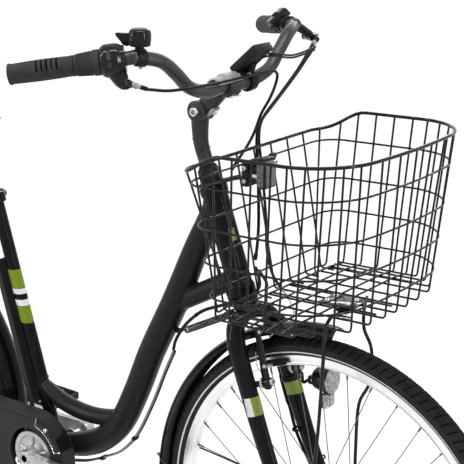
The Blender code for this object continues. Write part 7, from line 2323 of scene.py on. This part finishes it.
def make_rack():
    shape = Shape()
    first, last = RACK_STATIONS[0], RACK_STATIONS[-1]
    half = RACK_HALF_WIDTH
    corner = 0.030
    loop = arc_points(first - corner, half - corner, corner, 0, pi / 2, 8)
    loop += [(x, half) for x in (-0.98, -1.12, -1.26, -1.36)]
    loop += arc_points(last + corner, half - corner, corner, pi / 2, pi / 2, 8)
    whole = loop + [(x, -y) for x, y in reversed(loop)]
    shape.tube([at(x, y, RACK_Z) for x, y in whole], 0.0048, 18, UP, closed=True, fixed=True)
    for x in RACK_STATIONS[1:-1]:
        shape.tube([at(x, -half, RACK_Z), at(x, 0, RACK_Z), at(x, half, RACK_Z)], 0.0044, 16)
        for side in (1, -1):
            shape.ring(at(x, side * (half - 0.0052), RACK_Z), ALONG_Y, 0.0040, 0.0058, 0.0012, 0, 20, 0.0005)
    for y in (-0.021, 0.021):
        shape.tube([at(first + 0.001, y, RACK_Z), at(-1.12, y, RACK_Z), at(last, y, RACK_Z)], 0.0036, 14)
    for side in (1, -1):
        for top, foot in ((-0.980, -1.106), (-1.260, -1.128)):
            knots = [at(top, side * half, RACK_Z), at(top, side * (half + 0.010), RACK_Z - 0.018),
                     at(top + (foot - top) * 0.10, side * (half + 0.0150), 0.748),
                     at(top + (foot - top) * 0.55, side * (RACK_FOOT_Y - 0.0020), 0.558),
                     at(foot, side * RACK_FOOT_Y, 0.380)]
            shape.tube(smooth_path(knots, 6), 0.0046, 18, (1, 0, 0), dome=0.5)
            shape.box(at(foot, side * RACK_FOOT_Y, 0.3680), (0.0150, 0.0046, 0.0260), None, 0.0016, 3, 0)
            shape.screw(at(foot, side * (RACK_FOOT_Y + 0.0020), 0.3620), ALONG_Y * side, 0.0042, 1)
        brace = [at(-0.846, side * half, RACK_Z - 0.002), at(-0.838, side * 0.056, 0.775),
                 at(-0.842, side * 0.043, 0.722)]
        shape.tube(smooth_path(brace, 5), 0.0038, 14, dome=0.5)
    for dx, dy in ((-1.05, 0.040), (-1.05, -0.040), (-1.33, 0.040), (-1.33, -0.040)):
        shape.rod(at(dx, dy, 0.7360), at(dx, dy, RACK_Z), 0.0036, 0, 16)
    tray = at(-1.1298, 0, 0.7319)
    shape.box(tray, (0.5590, 0.1160, 0.0070), None, 0.0024, 3, 2)
    for side in (1, -1):
        shape.box(tray + Vector((0, side * 0.0560, 0.0030)), (0.5400, 0.0042, 0.0110), None, 0.0014, 2, 2)
    control = at(-0.8735, 0, 0.7655)
    shape.box(control, (0.0460, 0.1220, 0.0770), None, 0.0055, 5, 2)
    for side in (1, -1):
        for dz in (-0.024, 0.024):
            shape.screw(control + Vector((0, side * 0.0604, dz)), ALONG_Y * side, 0.0034, 1)
    shape.place("rack_set", "frame", M["gloss"], M["steel"], M["battery"], slot="black_paint",
                replaces=["rear_rack"])


def make_battery():
    """Sliding battery with a parting line, a charge socket, a lock and a grip at its end."""
    low, high = 0.7364, 0.7903
    front, rear = -0.9024, -1.4046
    centre = at((front + rear) / 2, 0, (low + high) / 2)
    length, height = front - rear, high - low
    shape = Shape()
    shape.box(centre, (length, 0.1086, height), None, 0.0078, 6, 0)
    shape.box(centre, (length + 0.0006, 0.1092, 0.0020), None, 0.0004, 1, 1)
    for side in (1, -1):
        for k in range(4):
            shape.box(centre + Vector((0.055 * (k - 1.5) - 0.06, side * 0.0543, -0.0130)),
                      (0.0400, 0.0012, 0.0030), None, 0.0005, 2, 0)
    grip = at(rear + 0.0012, 0, low + 0.030)
    shape.box(grip, (0.0060, 0.0620, 0.0180), None, 0.0018, 3, 1)
    shape.box(grip - Vector((0.0012, 0, 0)), (0.0060, 0.0500, 0.0100), None, 0.0014, 3, 2)
    lock = at(-0.960, -0.0540, low + 0.036)
    shape.ring(lock, ALONG_Y, 0.0038, 0.0072, 0.0008, 3, 32, 0.0003)
    shape.rod(lock + ALONG_Y * 0.0010, lock - ALONG_Y * 0.0004, 0.0038, 3, 24, 0.0002)
    shape.box(lock - ALONG_Y * 0.0006, (0.0012, 0.0006, 0.0050), None, 0.0001, 1, 1)
    socket = at(-1.010, 0.0540, low + 0.036)
    shape.ring(socket, ALONG_Y, 0.0036, 0.0080, 0.0008, 1, 32, 0.0003)
    shape.rod(socket - ALONG_Y * 0.0014, socket + ALONG_Y * 0.0002, 0.0060, 2, 24, 0.0002)
    for k in range(4):
        shape.box(at(-1.080 - 0.010 * k, -0.0545, low + 0.036), (0.0056, 0.0006, 0.0030), None, 0.0002, 1, 4)
    shape.place("battery_case", "battery", M["battery"], M["plastic"], M["rubber"], M["steel"], M["clear"],
                slot="black_plastic", replaces=["battery"])


def make_rear_light():
    angle = radians(150)
    out = radial(angle)
    axle = at(REAR_AXLE_X, 0, WHEEL_RADIUS)
    centre = axle + out * 0.3873
    turn = turn_matrix(out, ALONG_Y)
    shape = Shape()
    shape.box(centre - out * 0.0040, (0.0170, 0.0455, 0.0590), turn, 0.0040, 4, 0)
    shape.box(centre - out * 0.0118, (0.0030, 0.0300, 0.0400), turn, 0.0010, 2, 0)
    shape.place("rear_light_case", "frame", M["plastic"], slot="black_plastic", replaces=["rear_light"])
    shape = Shape()
    shape.box(centre + out * 0.0070, (0.0110, 0.0400, 0.0300), turn, 0.0036, 4, 0)
    for k in range(5):
        shape.box(centre + out * 0.0124 + turn @ Vector((0, 0.0072 * (k - 2), 0)), (0.0008, 0.0040, 0.0250),
                  turn, 0.0003, 1, 0)
    shape.place("rear_light_lens", "frame", M["red"], slot="red_lens")


SADDLE_SECTIONS = [
    (-0.7860, 0.012, 0.958, 0.975), (-0.7950, 0.022, 0.951, 0.980), (-0.8260, 0.031, 0.9465, 0.983),
    (-0.8640, 0.041, 0.9465, 0.983), (-0.9000, 0.062, 0.948, 0.984), (-0.9380, 0.088, 0.946, 0.989),
    (-0.9760, 0.104, 0.943, 0.996), (-1.0160, 0.106, 0.946, 1.000), (-1.0410, 0.094, 0.954, 0.998),
    (-1.0540, 0.066, 0.965, 0.990)]
SADDLE_TILT_POINT = (-0.8305, 0.9300)


def saddle_ring(section, inset, sides):
    """Points round one cross-section of the saddle."""
    x, half, low, high = section
    middle = low + 0.45 * (high - low)
    points = []
    for k in range(sides):
        a = 2 * pi * k / sides
        y = (half - inset) * abs(cos(a)) ** 0.8 * (1 if cos(a) >= 0 else -1)
        if sin(a) >= 0:
            groove = 0.0035 * max(0.0, 1 - abs(y) / 0.010) if -1.021 < x < -0.825 else 0.0
            z = middle + (high - middle - inset) * sin(a) - groove
        else:
            y *= 0.86
            z = middle + (middle - low - inset) * sin(a)
        points.append(at(x, y, z))
    return points


def make_saddle():
    sections = [tuple(p) for p in smooth_path(SADDLE_SECTIONS, 5)]
    shape = Shape()
    rings = [[shape.vert(p) for p in saddle_ring(s, 0.0005, 56)] for s in sections]
    faces = shape.skin(rings, 0)
    for face in faces:
        if face.normal.z < -0.55:
            face.material_index = 1
    cover = shape.place("saddle_cover", "saddle", M["saddle"], M["plastic"], slot="saddle_cover",
                        replaces=["saddle"], sharp=60)
    shape = Shape()
    for side in (1, -1):
        line = [at(x, side * (half - 0.0008), low + 0.45 * (high - low) + 0.0006)
                for x, half, low, high in sections[1:-1]]
        shape.tube(line, 0.0011, 10, dome=0.6)
    for side in (1, -1):
        stitches = [at(x, side * (half * 0.86), low + (high - low) * 0.80) for x, half, low,
                    high in sections[2:-3]]
        for a, b in zip(stitches, stitches[1:]):
            gap = (b - a) * 0.22
            shape.tube([a + gap, b - gap], 0.0005, 6, mat=1, dome=0.6)
    shape.place("saddle_piping", "saddle", M["rubber"], M["thread"])
    make_saddle_frame()


def make_saddle_frame():
    """Steel rails, coil springs and ears under the cover."""
    shape = Shape()
    for side in (1, -1):
        knots = [at(-0.812, side * 0.016, 0.952), at(-0.820, side * 0.021, 0.943),
                 at(-0.832, side * 0.022, 0.939),
                 at(-0.870, side * 0.022, 0.938), at(-0.940, side * 0.030, 0.938),
                 at(-0.981, side * 0.052, 0.938), at(-1.006, side * 0.056, 0.946)]
        shape.tube(smooth_path(knots, 6), 0.0034, 14, dome=0.5)
        coil = []
        for k in range(57):
            a = 2 * pi * k / 14
            radius = 0.0135 + 0.0015 * sin(pi * k / 56)
            coil.append(at(-0.996 + radius * cos(a), side * 0.062 + radius * sin(a),
                           0.9325 + 0.0180 * k / 56))
        shape.tube(coil, 0.0018, 10, UP, dome=0.6)
    x, z = SADDLE_TILT_POINT
    for side in (1, -1):
        shape.box(at(x, side * 0.0205, z + 0.0060), (0.0215, 0.0050, 0.0260), None, 0.0020, 3, 0)
        shape.rod(at(x, side * 0.0182, z), at(x, side * 0.0236, z), 0.0118, 0, 36)
        shape.nut(at(x, side * 0.0232, z), ALONG_Y * side, 0.0062, 0.0040, 0)
    shape.place("saddle_rails", "saddle", M["steel"])


def make_seat_post():
    shape = Shape()
    profile = [(0, 0.2610), (0.0105, 0.2610), (0.0110, 0.2622), (0.0110, 0.600), (0.0106, 0.6080),
               (0.0104, 0.6330)]
    shape.turned(rounded_profile(profile, 0.0008, 2), seat_axis(0), SEAT_DIRECTION, 44, 0)
    for k in range(5):
        shape.ring(seat_axis(0.530 + 0.010 * k), SEAT_DIRECTION, 0.0106, 0.01115, 0.0003, 1, 40, 0.0001)
    x, z = SADDLE_TILT_POINT
    centre = at(x, 0, z)
    shape.rod(centre - ALONG_Y * 0.0173, centre + ALONG_Y * 0.0173, 0.0143, 0, 44)
    for side in (1, -1):
        shape.ring(centre + ALONG_Y * side * 0.0120, ALONG_Y, 0.0130, 0.0145, 0.0020, 1, 40, 0.0005)
    shape.place("seat_post_tube", "seat_post", M["chrome"], M["steel"], slot="alloy", replaces=["seat_post"])


def make_stand():
    """Two-legged centre stand with its ribbed feet, pivot rod and nuts."""
    x, z = STAND_PIVOT
    half = [(x + 0.022, 0.146, 0.012), (x + 0.012, 0.080, 0.108), (x + 0.008, 0.059, 0.150),
            (x, 0.052, 0.213), (x, 0.044, z), (x, 0.030, z)]
    shape = Shape()
    for side in (1, -1):
        shape.tube(smooth_path([at(px, side * py, pz) for px, py, pz in half], 6), 0.0096, 24,
                   (1, 0, 0), dome=0.5)
        foot = at(x + 0.022, side * 0.149, 0.0075)
        shape.box(foot, (0.0450, 0.0270, 0.0140), None, 0.0036, 4, 1)
        for k in range(4):
            shape.box(foot + Vector((-0.0150 + 0.010 * k, 0, -0.0068)), (0.0050, 0.0240, 0.0012), None,
                      0.0004, 1, 1)
        shape.nut(at(x, side * 0.0300, z), ALONG_Y * side, 0.0086, 0.0050, 2)
    shape.rod(at(x, -0.0300, z), at(x, 0.0300, z), 0.0098, 2, 32)
    shape.place("stand_legs", "centre_stand", M["gloss"], M["rubber"], M["steel"], slot="black_paint",
                replaces=["centre_stand"])


def make_rear_parts():
    make_cranks()
    make_pedal("right", PEDAL_RIGHT, -1, 0.0930)
    make_pedal("left", PEDAL_LEFT, 1, 0.0910)
    make_rack()
    make_battery()
    make_rear_light()
    make_saddle()
    make_seat_post()
    make_stand()


# Whole scene

SLOT_MATERIALS = {
    "black_paint": "gloss", "black_plastic": "plastic", "matte_case": "case", "rubber": "rubber",
    "tyre_rubber": "tyre", "alloy": "alloy", "bar_coating": "bar", "steel": "steel", "cable": "jacket",
    "coated_wire": "wire", "clear_lens": "clear", "red_lens": "red", "saddle_cover": "saddle",
}


def finish_solids():
    """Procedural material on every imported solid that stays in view."""
    for name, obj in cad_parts.items():
        if obj.hide_render:
            continue
        key = "plastic"
        for material in obj.data.materials:
            for slot, value in SLOT_MATERIALS.items():
                if material and slot in material.name:
                    key = value
        obj.data.materials.clear()
        obj.data.materials.append(M[key])


make_wheels()
make_mudguards()
make_frame()
make_fork_parts()
make_basket()
make_basket_bracket()
make_cockpit()
make_cables()
make_rear_parts()
finish_solids()
